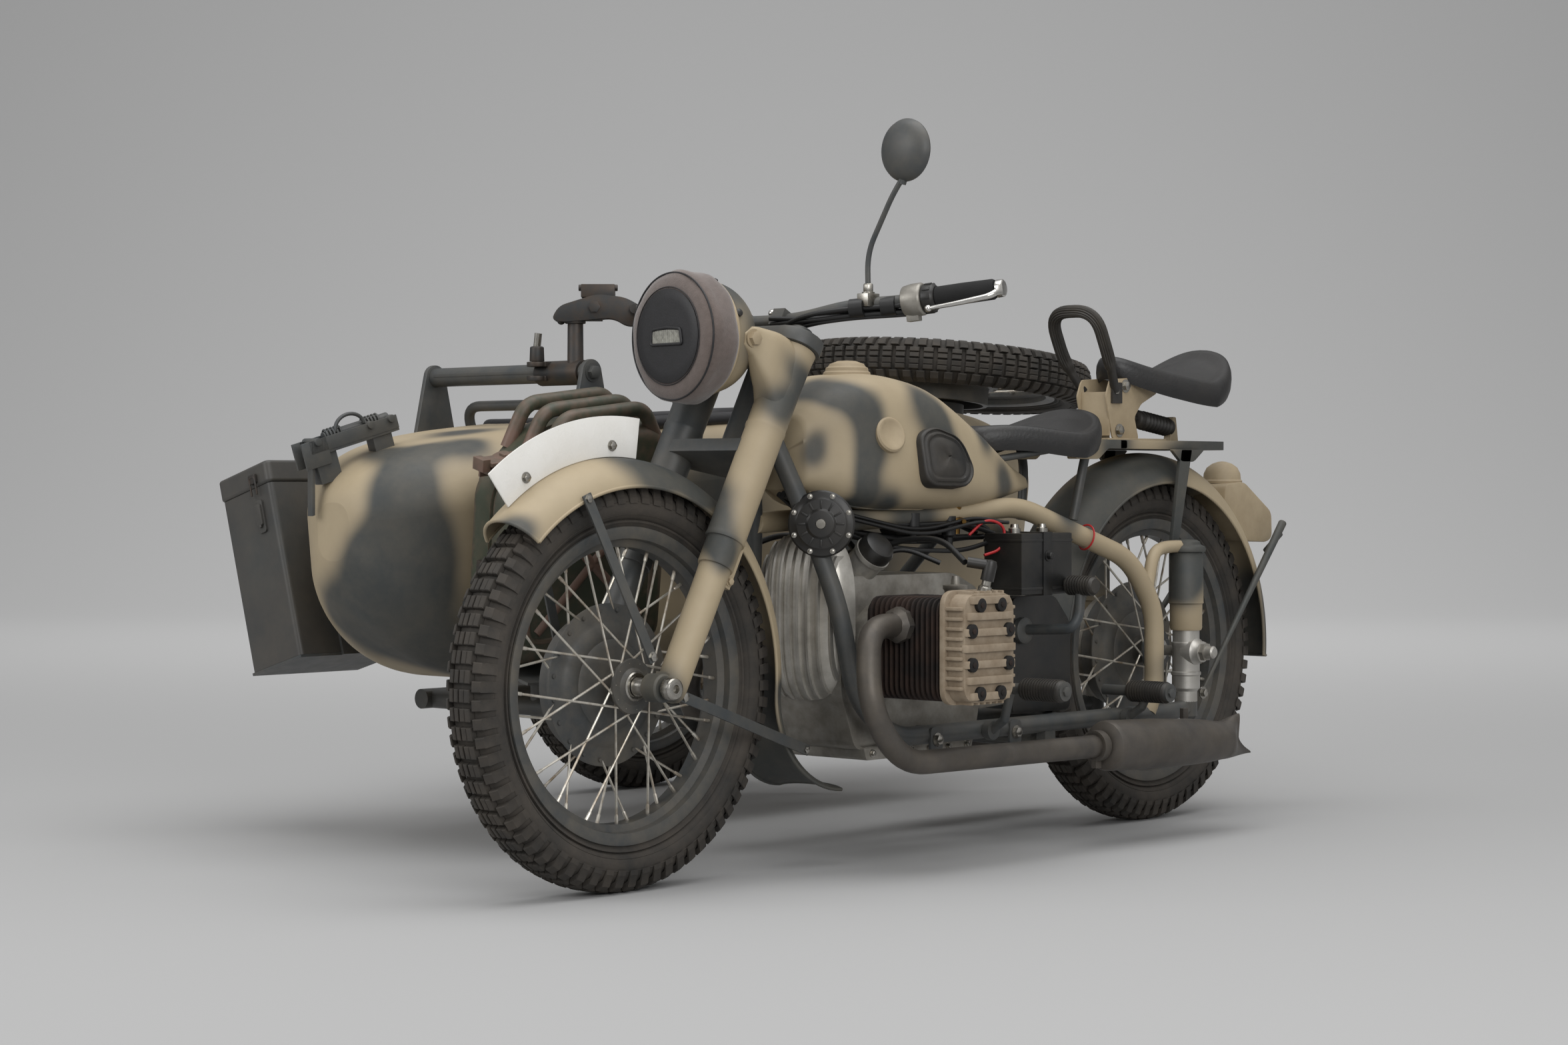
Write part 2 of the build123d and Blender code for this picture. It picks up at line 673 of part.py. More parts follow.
with BuildPart() as exhausts:
    for side, y in BANKS:
        pipe_x = side * PIPE_X
        route = [
            (side * PORT_X, y - PORT_REACH - SEAT_GAP, PORT_Z),
            (side * PORT_X, y - 170, PORT_Z),
            (pipe_x, y - 205, 290),
            (pipe_x, y - 118, PIPE_Z),
            (pipe_x, 300, PIPE_Z),
        ]
        add(tube(route, PIPE_R, 44))
        with BuildSketch(Plane(origin=(pipe_x, 290, PIPE_Z + 6), x_dir=(1, 0, 0), z_dir=(0, 1, 0))):
            Circle(MUFFLER_R - 12)
        with BuildSketch(Plane(origin=(pipe_x, 330, PIPE_Z + 6), x_dir=(1, 0, 0), z_dir=(0, 1, 0))):
            Circle(MUFFLER_R)
        loft()
        with BuildSketch(Plane(origin=(pipe_x, 330, PIPE_Z + 6), x_dir=(1, 0, 0), z_dir=(0, 1, 0))):
            Circle(MUFFLER_R)
        extrude(amount=310)
        with BuildSketch(Plane(origin=(pipe_x, 640, PIPE_Z + 6), x_dir=(1, 0, 0), z_dir=(0, 1, 0))):
            RectangleRounded(80, 80, 39)
        with BuildSketch(Plane(origin=(pipe_x, 770, PIPE_Z), x_dir=(1, 0, 0), z_dir=(0, 1, 0))):
            RectangleRounded(26, 124, 12)
        loft()
        with BuildSketch(Plane(origin=(pipe_x, 770, PIPE_Z), x_dir=(1, 0, 0), z_dir=(0, 1, 0))):
            RectangleRounded(18, 116, 8)
        extrude(amount=-60, mode=Mode.SUBTRACT)
keep(exhausts, "exhausts")

# Tank: a teardrop lofted from the steering head to the saddle, with its cap and knee pads
# place along Y, half width at top, half width below, underside, top, corner radius
TANK_SECTIONS = (
    (-322, 52, 58, 648, 770, 34),
    (-230, 96, 116, 618, 838, 62),
    (-60, 108, 138, 612, 838, 74),
    (120, 82, 104, 616, 766, 54),
    (262, 44, 58, 638, 694, 24),
    (330, 20, 26, 648, 672, 10),
)
with BuildPart() as tank:
    loft([section(y, 0, top, low, z0, z1, r) for y, top, low, z0, z1, r in TANK_SECTIONS])
keep(tank, "fuel_tank")

CAP_AT = (0, -150, 838)
with BuildPart() as cap:
    with BuildSketch(Plane(CAP_AT)):
        Circle(41)
    extrude(amount=32)
    fillet(cap.faces().sort_by(Axis.Z)[-1].edges(), 14)
    add(tank.part, mode=Mode.SUBTRACT)
keep(cap, "filler_cap")

with BuildPart() as knee_pads:
    for side in (1, -1):
        with BuildSketch(across(side * 90, -40, 704)):
            RectangleRounded(190, 112, 40)
        extrude(amount=side * 56)
    add(tank.part, mode=Mode.SUBTRACT)
keep(knee_pads, "knee_pads")

with BuildPart() as horn:
    with BuildSketch(Plane(origin=(92, -318, 590), x_dir=(0.8, 0.6, 0), z_dir=(0.6, -0.8, 0))):
        Circle(56)
    extrude(amount=26, taper=8)
    with BuildSketch(Plane(origin=(92, -318, 590), x_dir=(0.8, 0.6, 0), z_dir=(0.6, -0.8, 0))):
        Circle(30)
    extrude(amount=-46)
    add(frame.part, mode=Mode.SUBTRACT)
keep(horn, "horn")

with BuildPart() as battery:
    with BuildSketch(Plane((128, 200, 458))):
        RectangleRounded(88, 150, 8)
    extrude(amount=112)
    add(tube([(96, 220, 470), (60, 220, 470)], 14))
    add(crankcase.part, mode=Mode.SUBTRACT)
    add(frame.part, mode=Mode.SUBTRACT)
keep(battery, "battery_box")

# Foot pegs on bars clamped to the lower rails
with BuildPart() as pegs:
    for y, reach, z in ((60, 320, 298), (470, 250, 271)):
        for side in (1, -1):
            rail = side * (RAIL_X + TUBE_R + SEAT_GAP)
            add(tube([(rail + side * 9, y, RAIL_Z), (side * 185, y, RAIL_Z + 20), (side * 200, y, z), (side * reach, y, z)], 8))
            add(tube([(side * (reach - 88), y, z), (side * reach, y, z)], 17))
            add(disc((y, RAIL_Z), min(rail, rail + side * 14), max(rail, rail + side * 14), 17))
keep(pegs, "foot_pegs")

# Saddles: a dished pad on its sprung frame, and the pillion pad on its carrier with a loop handle


def saddle(y, z, length, width):
    """A dished saddle pad, narrow at its nose."""
    with BuildPart() as pad:
        with BuildSketch(Plane((0, 0, z))):
            with Locations((0, y + length - width / 2)):
                Circle(width / 2)
            with Locations((0, y + 36)):
                Circle(36)
            make_hull()
        extrude(amount=SADDLE_T)
        fillet(pad.faces().sort_by(Axis.Z)[-1].edges(), 14)
    return pad.part


with BuildPart() as saddle_pad:
    add(saddle(190, SADDLE_Z, 310, 270))
keep(saddle_pad, "rider_saddle")

with BuildPart() as saddle_frame:
    base = SADDLE_Z - SEAT_GAP
    for side in (1, -1):
        add(tube([(side * 10, 262, base - 9), (side * 78, 330, base - 9), (side * 104, 424, base - 9)], 8, 30))
        add(upright(side * 108, 420, 500, base, 20))
    add(tube([(-100, 412, base - 9), (100, 412, base - 9)], 6))
    add(tube([(0, 290, base - 12), (0, 352, base - 40), (0, 360, 536)], 10, 14))
    add(tube([(-50, 301, base - 10), (50, 301, base - 10)], 7))
    add(tube([(-98, 361, 538), (98, 361, 538)], 9))
    add(frame.part, mode=Mode.SUBTRACT)
keep(saddle_frame, "saddle_frame")

with BuildPart() as rear_fender:
    add(fender(REAR, REAR_FENDER_R, REAR_FENDER_W, 58, -4, 186))
keep(rear_fender, "rear_fender")

RACK_Z = REAR[2] + REAR_FENDER_R + SEAT_GAP
with BuildPart() as rack:
    with BuildSketch(Plane((0, 760, RACK_Z))):
        RectangleRounded(170, 380, 20)
    extrude(amount=10)
    for side in (1, -1):
        stay_x = side * 96
        add(tube([(side * 80, 740, RACK_Z + 5), (stay_x, 735, 690), (stay_x, 722, PLUNGER_TOP + 24.3)], 8))
        add(tube([(side * 80, 930, RACK_Z + 5), (stay_x, 960, 690), (stay_x, 760, 300), (stay_x, 742, 236)], 8))
    with BuildSketch(Plane((0, 760, RACK_Z))):
        with GridLocations(110, 280, 2, 2):
            Circle(4.3)
    extrude(amount=10, mode=Mode.SUBTRACT)
    add(plungers.part, mode=Mode.SUBTRACT)
    add(frame.part, mode=Mode.SUBTRACT)
keep(rack, "rear_rack")

PILLION_BASE = RACK_Z + 10 + SEAT_GAP
with BuildPart() as pillion_frame:
    with BuildSketch(Plane((0, 720, PILLION_BASE))):
        RectangleRounded(76, 240, 12)
    extrude(amount=6)
    for side in (1, -1):
        arm = [(side * 22, 640, PILLION_BASE + 4), (side * 26, 624, PILLION_Z - 10), (side * 70, 860, PILLION_Z - 10)]
        add(tube(arm, 8))
    add(upright(0, 800, PILLION_BASE, PILLION_Z - SEAT_GAP, 32))
    add(tube([(-70, 852, PILLION_Z - 10), (70, 852, PILLION_Z - 10)], 6))
keep(pillion_frame, "pillion_frame")

with BuildPart() as pillion_pad:
    add(saddle(612, PILLION_Z, 320, 260))
keep(pillion_pad, "pillion_saddle")

with BuildPart() as grab_handle:
    hoop = [(-62, 618, PILLION_Z - 6), (-62, 500, 975), (62, 500, 975), (62, 618, PILLION_Z - 6)]
    add(tube(hoop, 11, 40))
    add(pillion_frame.part, mode=Mode.SUBTRACT)
    add(pillion_pad.part, mode=Mode.SUBTRACT)
keep(grab_handle, "grab_handle")

TAIL_Y = 1096
TAIL_LOW = 530
with BuildPart() as tail_lamp:
    with BuildSketch(Plane(origin=(0, TAIL_Y, 605), x_dir=(1, 0, 0), z_dir=(0, 1, 0))):
        RectangleRounded(120, 140, 18)
    extrude(amount=16)
    with BuildSketch(Plane(origin=(0, TAIL_Y - 30, 690), x_dir=(1, 0, 0), z_dir=(0, 1, 0))):
        Circle(32)
    extrude(amount=62, taper=8)
    tail_seat = REAR[1] + math.sqrt(REAR_FENDER_R**2 - (TAIL_LOW - REAR[2]) ** 2) + SEAT_GAP
    with BuildSketch(Plane(origin=(0, tail_seat, TAIL_LOW + 14), x_dir=(1, 0, 0), z_dir=(0, 1, 0))):
        Rectangle(60, 28)
    extrude(amount=TAIL_Y - tail_seat)
keep(tail_lamp, "tail_lamp")

with BuildPart() as final_drive:
    with BuildSketch(across(PLUNGER_R - PLUNGER_X + 0.5, REAR[1], REAR[2])):
        Circle(104)
    extrude(amount=PLUNGER_X - PLUNGER_R - HUB_RIGHT - RUN_GAP - 1)
    with BuildSketch(Plane(origin=(-SHAFT_X, 545, REAR[2]), x_dir=(1, 0, 0), z_dir=(0, 1, 0))):
        Circle(20)
    extrude(amount=130)
    with BuildSketch(Plane(origin=(-SHAFT_X, 300 + SEAT_GAP, REAR[2]), x_dir=(1, 0, 0), z_dir=(0, 1, 0))):
        Circle(SHAFT_R)
    extrude(amount=262)
    add(frame.part, mode=Mode.SUBTRACT)
    add(plungers.part, mode=Mode.SUBTRACT)
    add(disc((REAR[1], REAR[2]), -PLUNGER_X - 56, PLUNGER_X + 60, AXLE_R))
    for side in (1, -1):
        with BuildSketch(across(side * (PLUNGER_X + 34 + SEAT_GAP), REAR[1], REAR[2])):
            RegularPolygon(18, 6)
        extrude(amount=side * 15)
keep(final_drive, "final_drive")

# Centre stand folded back under the rails, on the pin that the frame's lugs carry
STAND_LEG = 192
with BuildPart() as stand:
    for side in (1, -1):
        leg_x = side * 92
        foot = (side * 106, STAND_Y + STAND_LEG, STAND_Z - 34)
        add(tube([(leg_x, STAND_Y, STAND_Z), (leg_x, STAND_Y + 0.6 * STAND_LEG, STAND_Z - 16), foot], 10))
        add(disc((STAND_Y, STAND_Z), leg_x - 12, leg_x + 12, 14))
        add(disc((foot[1], foot[2]), foot[0] - 17, foot[0] + 17, 13))
    brace_y = STAND_Y + 0.5 * STAND_LEG
    add(tube([(-92, brace_y, STAND_Z - 14), (92, brace_y, STAND_Z - 14)], 8))
    with BuildSketch(across(-RAIL_X, STAND_Y, STAND_Z)):
        Circle(STAND_PIN_R + PIN_FIT)
    extrude(amount=2 * RAIL_X, mode=Mode.SUBTRACT)
keep(stand, "centre_stand")

# Sidecar tub: a bullet-nosed shell lofted along Y, open at the cockpit
# place along Y, half width at top, half width below, underside, top, corner radius
TUB_SECTIONS = (
    (-712, 46, 40, 520, 624, 36),
    (-655, 150, 110, 402, 694, 84),
    (-520, 222, 158, 318, 738, 108),
    (-280, 262, 194, 300, 768, 112),
    (150, 275, 206, 300, 794, 104),
    (620, 268, 200, 305, 814, 100),
    (950, 222, 164, 352, 792, 90),
    (1150, 100, 80, 470, 690, 60),
)


def tub_body(inset):
    """The tub's loft, drawn in by an inset all round."""
    first = TUB_SECTIONS[0][0]
    last = TUB_SECTIONS[-1][0]
    outlines = []
    for y, top, low, z0, z1, r in TUB_SECTIONS:
        place = min(max(y, first + inset), last - inset)
        outlines.append(section(place, TUB_X, top - inset, low - inset, z0 + inset, z1 - inset, r - inset))
    with BuildPart() as body:
        loft(outlines)
    return body.part


TUB_OUTER = tub_body(0)
COCKPIT = (-215, 430)
COCKPIT_HALF = 205
with BuildPart() as tub:
    add(TUB_OUTER)
    add(tub_body(TUB_WALL), mode=Mode.SUBTRACT)
    with BuildSketch(Plane((TUB_X, sum(COCKPIT) / 2, 700))):
        RectangleRounded(2 * COCKPIT_HALF, COCKPIT[1] - COCKPIT[0], 120)
    extrude(amount=200, mode=Mode.SUBTRACT)
keep(tub, "sidecar_tub")


def tub_raised(dx, dy, dz):
    """The tub's outside moved a seat gap away, to trim what sits on it."""
    return TUB_OUTER.moved(Location((dx, dy, dz)))


with BuildPart() as seat:
    with BuildSketch(Plane((TUB_X, 250, 300 + TUB_WALL + SEAT_GAP))):
        RectangleRounded(190, 300, 20)
    extrude(amount=130)
    with BuildSketch(Plane((TUB_X, 240, 430))):
        RectangleRounded(380, 360, 60)
    extrude(amount=110)
    with BuildSketch(Plane((TUB_X, 452, 430))):
        RectangleRounded(380, 64, 28)
    extrude(amount=340)
    add(tub.part.moved(Location((0, 0, SEAT_GAP))), mode=Mode.SUBTRACT)
keep(seat, "sidecar_seat")

# Sidecar chassis: a tube rectangle under the tub, the wheel's spindle and four links to the motorcycle
with BuildPart() as side_frame:
    z = SIDE_RAIL_Z
    corner = [
        (SIDE_RAIL_IN, -330, z),
        (SIDE_RAIL_IN, 760, z),
        (SIDE_RAIL_OUT, 760, z),
        (SIDE_RAIL_OUT, -330, z),
    ]
    add(tube(corner, SIDE_TUBE_R, 70))
    add(tube([(SIDE_RAIL_IN, -300, z), (SIDE_RAIL_OUT, -300, z)], SIDE_TUBE_R))
    add(tube([(SIDE_RAIL_IN, SIDE[1], z), (SIDE_RAIL_OUT, SIDE[1], z)], SIDE_TUBE_R))
    spindle_in = SIDE[0] + HUB_LEFT + 4
    add(tube([(SIDE_RAIL_OUT, SIDE[1], z), (SIDE_RAIL_OUT - 60, SIDE[1], SIDE[2])], 16))
    add(disc((SIDE[1], SIDE[2]), spindle_in, SIDE_RAIL_OUT - 52, 18))
    add(disc((SIDE[1], SIDE[2]), SIDE[0] - HUB_RIGHT - 22, spindle_in, AXLE_R))
    add(disc((SIDE[1], SIDE[2]), SIDE[0] - HUB_RIGHT - 20, SIDE[0] - HUB_RIGHT - 4, 18))
    for y in (-300, SIDE[1]):
        for x in (TUB_X - 90, TUB_X + 90):
            add(upright(x, y, z, 340, 16))
    links = (
        ((-RAIL_X, -110, RAIL_Z + 4), (SIDE_RAIL_IN, -200, z)),
        ((-RAIL_X, 576, 320), (SIDE_RAIL_IN, 560, z)),
        ((-68, 90, 588), (SIDE_RAIL_IN, 110, z)),
        ((-74, 210, 584), (SIDE_RAIL_IN, 330, z)),
    )
    for start, end in links:
        add(tube([start, end], 12))
    add(tub_raised(0, 0, -SEAT_GAP), mode=Mode.SUBTRACT)
    for neighbour in (frame, crankcase):
        add(neighbour.part, mode=Mode.SUBTRACT)
keep(side_frame, "sidecar_frame")

with BuildPart() as side_fender:
    add(fender(SIDE, FENDER_R, FENDER_W, FENDER_DROP, -8, 172))
    for degrees in (30, 150):
        turn = math.radians(degrees)
        reach = FENDER_R - 28
        top = (SIDE[0] + 52, SIDE[1] + reach * math.cos(turn), SIDE[2] + reach * math.sin(turn))
        low = (SIDE_RAIL_OUT, SIDE[1] + 200 * math.copysign(1, math.cos(turn)), SIDE_RAIL_Z)
        add(tube([top, (SIDE[0] + 100, top[1], top[2] - 20), low], 9))
    add(side_frame.part, mode=Mode.SUBTRACT)
keep(side_fender, "sidecar_fender")

# Spare wheel's carrier: a foot on the tail deck and a stud through the hub
SPARE_PLANE = Plane(SPARE_PLACE)
with BuildPart() as carrier:
    stud = Plane(origin=SPARE, x_dir=(1, 0, 0), z_dir=SPARE_PLANE.x_dir)
    with BuildSketch(stud.offset(-HUB_RIGHT - 60)):
        Circle(60)
    extrude(amount=60 - SEAT_GAP)
    with BuildSketch(stud.offset(-HUB_RIGHT - 10)):
        Circle(AXLE_R)
    extrude(amount=HUB_RIGHT + HUB_LEFT + 32)
    with BuildSketch(stud.offset(HUB_LEFT + SEAT_GAP)):
        RegularPolygon(18, 6)
    extrude(amount=14)
    add(tub_raised(0, 0, SEAT_GAP), mode=Mode.SUBTRACT)
keep(carrier, "spare_carrier")

# Fuel can leaning on the tub's left flank, in its bracket
lean = math.radians(CAN_LEAN)
CAN = Plane(origin=(-372, -412, 545), x_dir=(math.cos(lean), 0, -math.sin(lean)), z_dir=(math.sin(lean), 0, math.cos(lean)))
can_w, can_l, can_h = CAN_SIZE
with BuildPart() as can:
    with BuildSketch(CAN.offset(-can_h / 2)):
        RectangleRounded(can_w, can_l, 34)
    extrude(amount=can_h)
    fillet(can.faces().sort_by(Axis.Z)[-1].edges(), 26)
    fillet(can.faces().sort_by(Axis.Z)[0].edges(), 16)
    for x in (-50, 0, 50):
        handle = [(x, -70, can_h / 2 - 10), (x, -52, can_h / 2 + 34), (x, 100, can_h / 2 + 34), (x, 118, can_h / 2 - 10)]
        add(tube([CAN.from_local_coords(Vector(p)) for p in handle], 9, 12))
    with BuildSketch(CAN.offset(can_h / 2 - 20)):
        with Locations((0, -126)):
            Circle(26)
    extrude(amount=46)
keep(can, "fuel_can")

with BuildPart() as can_bracket:
    with BuildSketch(CAN.offset(-can_h / 2 - SEAT_GAP - 5)):
        Rectangle(can_w + 8, can_l + 8)
    extrude(amount=5)
    for level in (-can_h / 2 + 40, 60):
        with BuildSketch(CAN.offset(level)):
            with Locations((-can_w / 2 - SEAT_GAP - 40, 0)):
                Rectangle(80, can_l - 60)
        extrude(amount=36)
    with BuildSketch(CAN.offset(-can_h / 2 - 5)):
        with Locations((-can_w / 2 - SEAT_GAP - 3, 0)):
            Rectangle(6, can_l - 60)
    extrude(amount=can_h / 2 + 100)
    add(tub_raised(SEAT_GAP, 0, 0), mode=Mode.SUBTRACT)
keep(can_bracket, "can_bracket")

# Tall locker with a hinged lid on the right of the nose, and the bracket that carries it
lean = math.radians(LOCKER_LEAN)
LOCKER = Plane(
    origin=(-1028, -510, 482), x_dir=(math.cos(lean), 0, math.sin(lean)), z_dir=(-math.sin(lean), 0, math.cos(lean))
)
box_w, box_l, box_h = LOCKER_SIZE
LID_GAP = 0.5
HINGE_OUT = 12
HINGE_UP = 8
HINGE_PIN_R = 3
HINGE_AT = LOCKER.from_local_coords(Vector(0, box_l / 2 + HINGE_OUT, box_h / 2 + HINGE_UP))
hinge_plane = Plane(origin=HINGE_AT, x_dir=LOCKER.z_dir, z_dir=LOCKER.x_dir)
with BuildPart() as locker:
    with BuildSketch(LOCKER.offset(-box_h / 2)):
        RectangleRounded(box_w, box_l, 10)
    extrude(amount=box_h)
    with BuildSketch(LOCKER.offset(-box_h / 2 + LOCKER_WALL)):
        RectangleRounded(box_w - 2 * LOCKER_WALL, box_l - 2 * LOCKER_WALL, 8)
    extrude(amount=box_h, mode=Mode.SUBTRACT)
    with BuildSketch(hinge_plane.offset(-48)):
        Circle(HINGE_PIN_R)
    extrude(amount=96)
    for start in (-48, 32):
        with BuildSketch(hinge_plane.offset(start)):
            Circle(7)
            with Locations((-12, 3)):
                Rectangle(24, 8)
            with Locations((-17, HINGE_OUT / 2)):
                Rectangle(14, HINGE_OUT + 1)
        extrude(amount=16)
keep(locker, "locker")

with BuildPart() as lid:
    with BuildSketch(LOCKER.offset(box_h / 2 + LID_GAP)):
        RectangleRounded(box_w + 6, box_l + 6, 12)
    extrude(amount=LID_H)
    fillet(lid.faces().sort_by(Axis.Z)[-1].edges(), 6)
    with BuildSketch(LOCKER.offset(box_h / 2 + LID_GAP)):
        RectangleRounded(box_w - 2 * LOCKER_WALL, box_l - 2 * LOCKER_WALL, 8)
    extrude(amount=LID_H - LOCKER_WALL, mode=Mode.SUBTRACT)
    with BuildSketch(hinge_plane.offset(-30)):
        Circle(7)
        with Locations((0, 7)):
            Rectangle(8, 14)
    extrude(amount=60)
    with BuildSketch(hinge_plane.offset(-80)):
        Circle(HINGE_PIN_R + PIN_FIT)
    extrude(amount=160, mode=Mode.SUBTRACT)
keep(lid, "locker_lid")

with BuildPart() as locker_bracket:
    with BuildSketch(LOCKER.offset(-box_h / 2 - SEAT_GAP - 5)):
        Rectangle(box_w, box_l)
    extrude(amount=5)
    for level in (-box_h / 2 + 30, 80):
        with BuildSketch(LOCKER.offset(level)):
            with Locations((box_w / 2 + SEAT_GAP + 60, 40)):
                Rectangle(120, box_l - 110)
        extrude(amount=30)
    with BuildSketch(LOCKER.offset(-box_h / 2 - SEAT_GAP - 5)):
        with Locations((box_w / 2 + SEAT_GAP, 40)):
            Rectangle(6, box_l - 110)
    extrude(amount=5)
    with BuildSketch(LOCKER.offset(-box_h / 2 - SEAT_GAP - 5)):
        with Locations((box_w / 2 + SEAT_GAP + 3, 40)):
            Rectangle(6, box_l - 110)
    extrude(amount=box_h / 2 + 115)
    add(tub_raised(-SEAT_GAP, 0, 0), mode=Mode.SUBTRACT)
keep(locker_bracket, "locker_bracket")

# Swivel mount: two uprights and a cross bar on the nose deck, a post, and the turning head
POST_X = -552
with BuildPart() as mount_base:
    add(tube([(-940, BAR_Y, BAR_Z), (-490, BAR_Y, BAR_Z)], 16))
    for x in (-930, -512):
        with BuildSketch(across(x, BAR_Y, 0)):
            with BuildLine():
                Polyline((-70, 640), (70, 640), (22, BAR_Z + 12), (-22, BAR_Z + 12), close=True)
            make_face()
        extrude(amount=10)
    add(upright(POST_X, BAR_Y, BAR_Z - 24, BAR_Z + 24, 26))
    add(upright(POST_X, BAR_Y, BAR_Z, 950, 16))
    add(upright(POST_X, BAR_Y, 950, 984, 10))
    add(tub_raised(0, 0, SEAT_GAP), mode=Mode.SUBTRACT)
    add(can.part, mode=Mode.SUBTRACT)
keep(mount_base, "swivel_base")

HEAD_TURN = 44
turned = Plane(
    origin=(POST_X, BAR_Y, 952),
    x_dir=(math.cos(math.radians(HEAD_TURN)), math.sin(math.radians(HEAD_TURN)), 0),
    z_dir=(0, 0, 1),
)
with BuildPart() as swivel_head:
    with BuildSketch(turned):
        with Locations((20, 0)):
            SlotOverall(120, 46)
    extrude(amount=36)
    for side in (1, -1):
        with BuildSketch(Plane(origin=turned.from_local_coords(Vector(-24, side * 20, 36)), x_dir=turned.x_dir, z_dir=turned.z_dir)):
            with Locations((70, 0)):
                Rectangle(140, 6)
        extrude(amount=22)
    with BuildSketch(turned):
        Circle(10 + PIN_FIT)
    extrude(amount=34, mode=Mode.SUBTRACT)
keep(swivel_head, "swivel_head")

with BuildPart() as grab_rail:
    hoop = [(TUB_X - 190, -150, 720), (TUB_X - 190, -190, 830), (TUB_X + 190, -190, 830), (TUB_X + 190, -150, 720)]
    hoop = [(x, y - 60, z) for x, y, z in hoop]
    add(tube(hoop, 10, 50))
    add(tub_raised(0, 0, SEAT_GAP), mode=Mode.SUBTRACT)
    add(mount_base.part, mode=Mode.SUBTRACT)
keep(grab_rail, "grab_rail")

# The origin goes to the middle of the footprint on the floor, and every piece is written out
boxes = [piece.bounding_box() for piece in pieces]
middle_x = (min(b.min.X for b in boxes) + max(b.max.X for b in boxes)) / 2
middle_y = (min(b.min.Y for b in boxes) + max(b.max.Y for b in boxes)) / 2
to_origin = Location((-middle_x, -middle_y, 0))
os.makedirs("parts", exist_ok=True)
for piece in pieces:
    placed = piece.moved(to_origin)
    placed.label = piece.label
    export_step(placed, f"parts/{piece.label}.step")
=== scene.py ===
"""Looks of a flat-twin motorcycle with an open sidecar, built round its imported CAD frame.

All shapes are made in millimetres in the motorcycle's own frame: X to its left, -Y ahead, Z up,
mid-wheelbase at Y = 0 and the floor at Z = 0. They are moved into the row frame when a mesh is written.
"""
import logging
import math
from dataclasses import dataclass, field
from enum import Enum
from math import cos, pi, radians, sin
from typing import Iterable, Optional, Sequence

import bmesh
import bpy
import numpy as np
from mathutils import Matrix, Vector


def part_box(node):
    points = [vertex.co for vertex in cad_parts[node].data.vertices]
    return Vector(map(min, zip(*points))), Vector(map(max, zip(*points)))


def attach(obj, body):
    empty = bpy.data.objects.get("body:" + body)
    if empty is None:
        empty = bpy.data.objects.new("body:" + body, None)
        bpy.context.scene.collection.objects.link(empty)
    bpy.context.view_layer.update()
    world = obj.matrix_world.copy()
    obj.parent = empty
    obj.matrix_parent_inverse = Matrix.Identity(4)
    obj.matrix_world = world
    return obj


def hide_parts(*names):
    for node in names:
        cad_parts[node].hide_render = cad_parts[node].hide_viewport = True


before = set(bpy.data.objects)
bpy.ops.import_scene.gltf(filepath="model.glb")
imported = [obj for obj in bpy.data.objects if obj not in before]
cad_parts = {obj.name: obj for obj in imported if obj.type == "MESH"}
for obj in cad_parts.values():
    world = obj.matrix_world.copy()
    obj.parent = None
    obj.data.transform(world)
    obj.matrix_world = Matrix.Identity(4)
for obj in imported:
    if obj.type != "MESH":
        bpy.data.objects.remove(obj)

LOG = logging.getLogger("outfit")
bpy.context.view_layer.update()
WHEELBASE = 1430.0
AXLE_Z = 333.0
FRONT = np.array((0.0, -WHEELBASE / 2, AXLE_Z))
REAR = np.array((0.0, WHEELBASE / 2, AXLE_Z))
SIDE = np.array((-1170.0, 480.0, AXLE_Z))
SPARE = np.array((-720.0, 965.0, 890.0))
SPARE_TILT = radians(6)
RAKE = radians(28)
HEAD_TOP = np.array((0.0, -330.0, 900.0))
X_DIR = np.array((1.0, 0.0, 0.0))
Y_DIR = np.array((0.0, 1.0, 0.0))
Z_DIR = np.array((0.0, 0.0, 1.0))
STEER_Y = np.array((0.0, cos(RAKE), -sin(RAKE)))
STEER_Z = np.array((0.0, sin(RAKE), cos(RAKE)))
FORK_AXES = (X_DIR, STEER_Y, STEER_Z)
# points closer than this are one point, and faces thinner than this are dropped
WELD_M = 2e-5
SLIVER_M = 1e-6
# edges bent by more than this get the small chamfer
BEVEL_FROM = radians(30)
# sizes of the uneven gloss, the wandering spray edge, the rubbed edges and the dust
SPECK_MM = 24
WANDER_MM = 130
WEAR_MM = 18
DUST_MM = 110
SPRAY_WANDER_M = 0.05
# where the noise starts to show the spray, the rubbed edges and the dust, and where it shows them in full
SPRAY_EDGE = (0.12, 0.92)
WEAR_EDGE = (0.56, 0.62)
DUST_EDGE = (0.35, 0.75)
# how far the gloss strays to each side
GLOSS_SPREAD = 0.08

Point = Sequence[float]
Tree = bpy.types.NodeTree
Socket = bpy.types.NodeSocket


def bike_origin() -> np.ndarray:
    """Where the motorcycle's own origin lies in the row frame.

    Returns:
        The origin in millimetres, read from the front tyre's box.
    """
    low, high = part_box("front_tyre")
    middle = (low + high) / 2
    return np.array((middle.x * 1000, middle.y * 1000 + WHEELBASE / 2, 0.0))


ORIGIN = bike_origin()


def row(point: Point) -> Vector:
    """A point of the motorcycle's frame in the row frame."""
    return Vector((np.asarray(point, float) + ORIGIN) / 1000)


def fork_point(x: float, y: float, z: float) -> np.ndarray:
    """A point given along the steering axis."""
    return HEAD_TOP + x * X_DIR + y * STEER_Y + z * STEER_Z


def unit(vector: Point) -> np.ndarray:
    """A vector scaled to length one."""
    v = np.asarray(vector, float)
    return v / np.linalg.norm(v)


def basis(axis: Point) -> tuple[np.ndarray, np.ndarray, np.ndarray]:
    """Three square directions, the last along an axis.

    Args:
        axis: the axis.

    Returns:
        Two directions across the axis, and the axis.
    """
    w = unit(axis)
    helper = Z_DIR if abs(w[2]) < 0.9 else Y_DIR
    u = unit(np.cross(helper, w))
    return u, np.cross(w, u), w


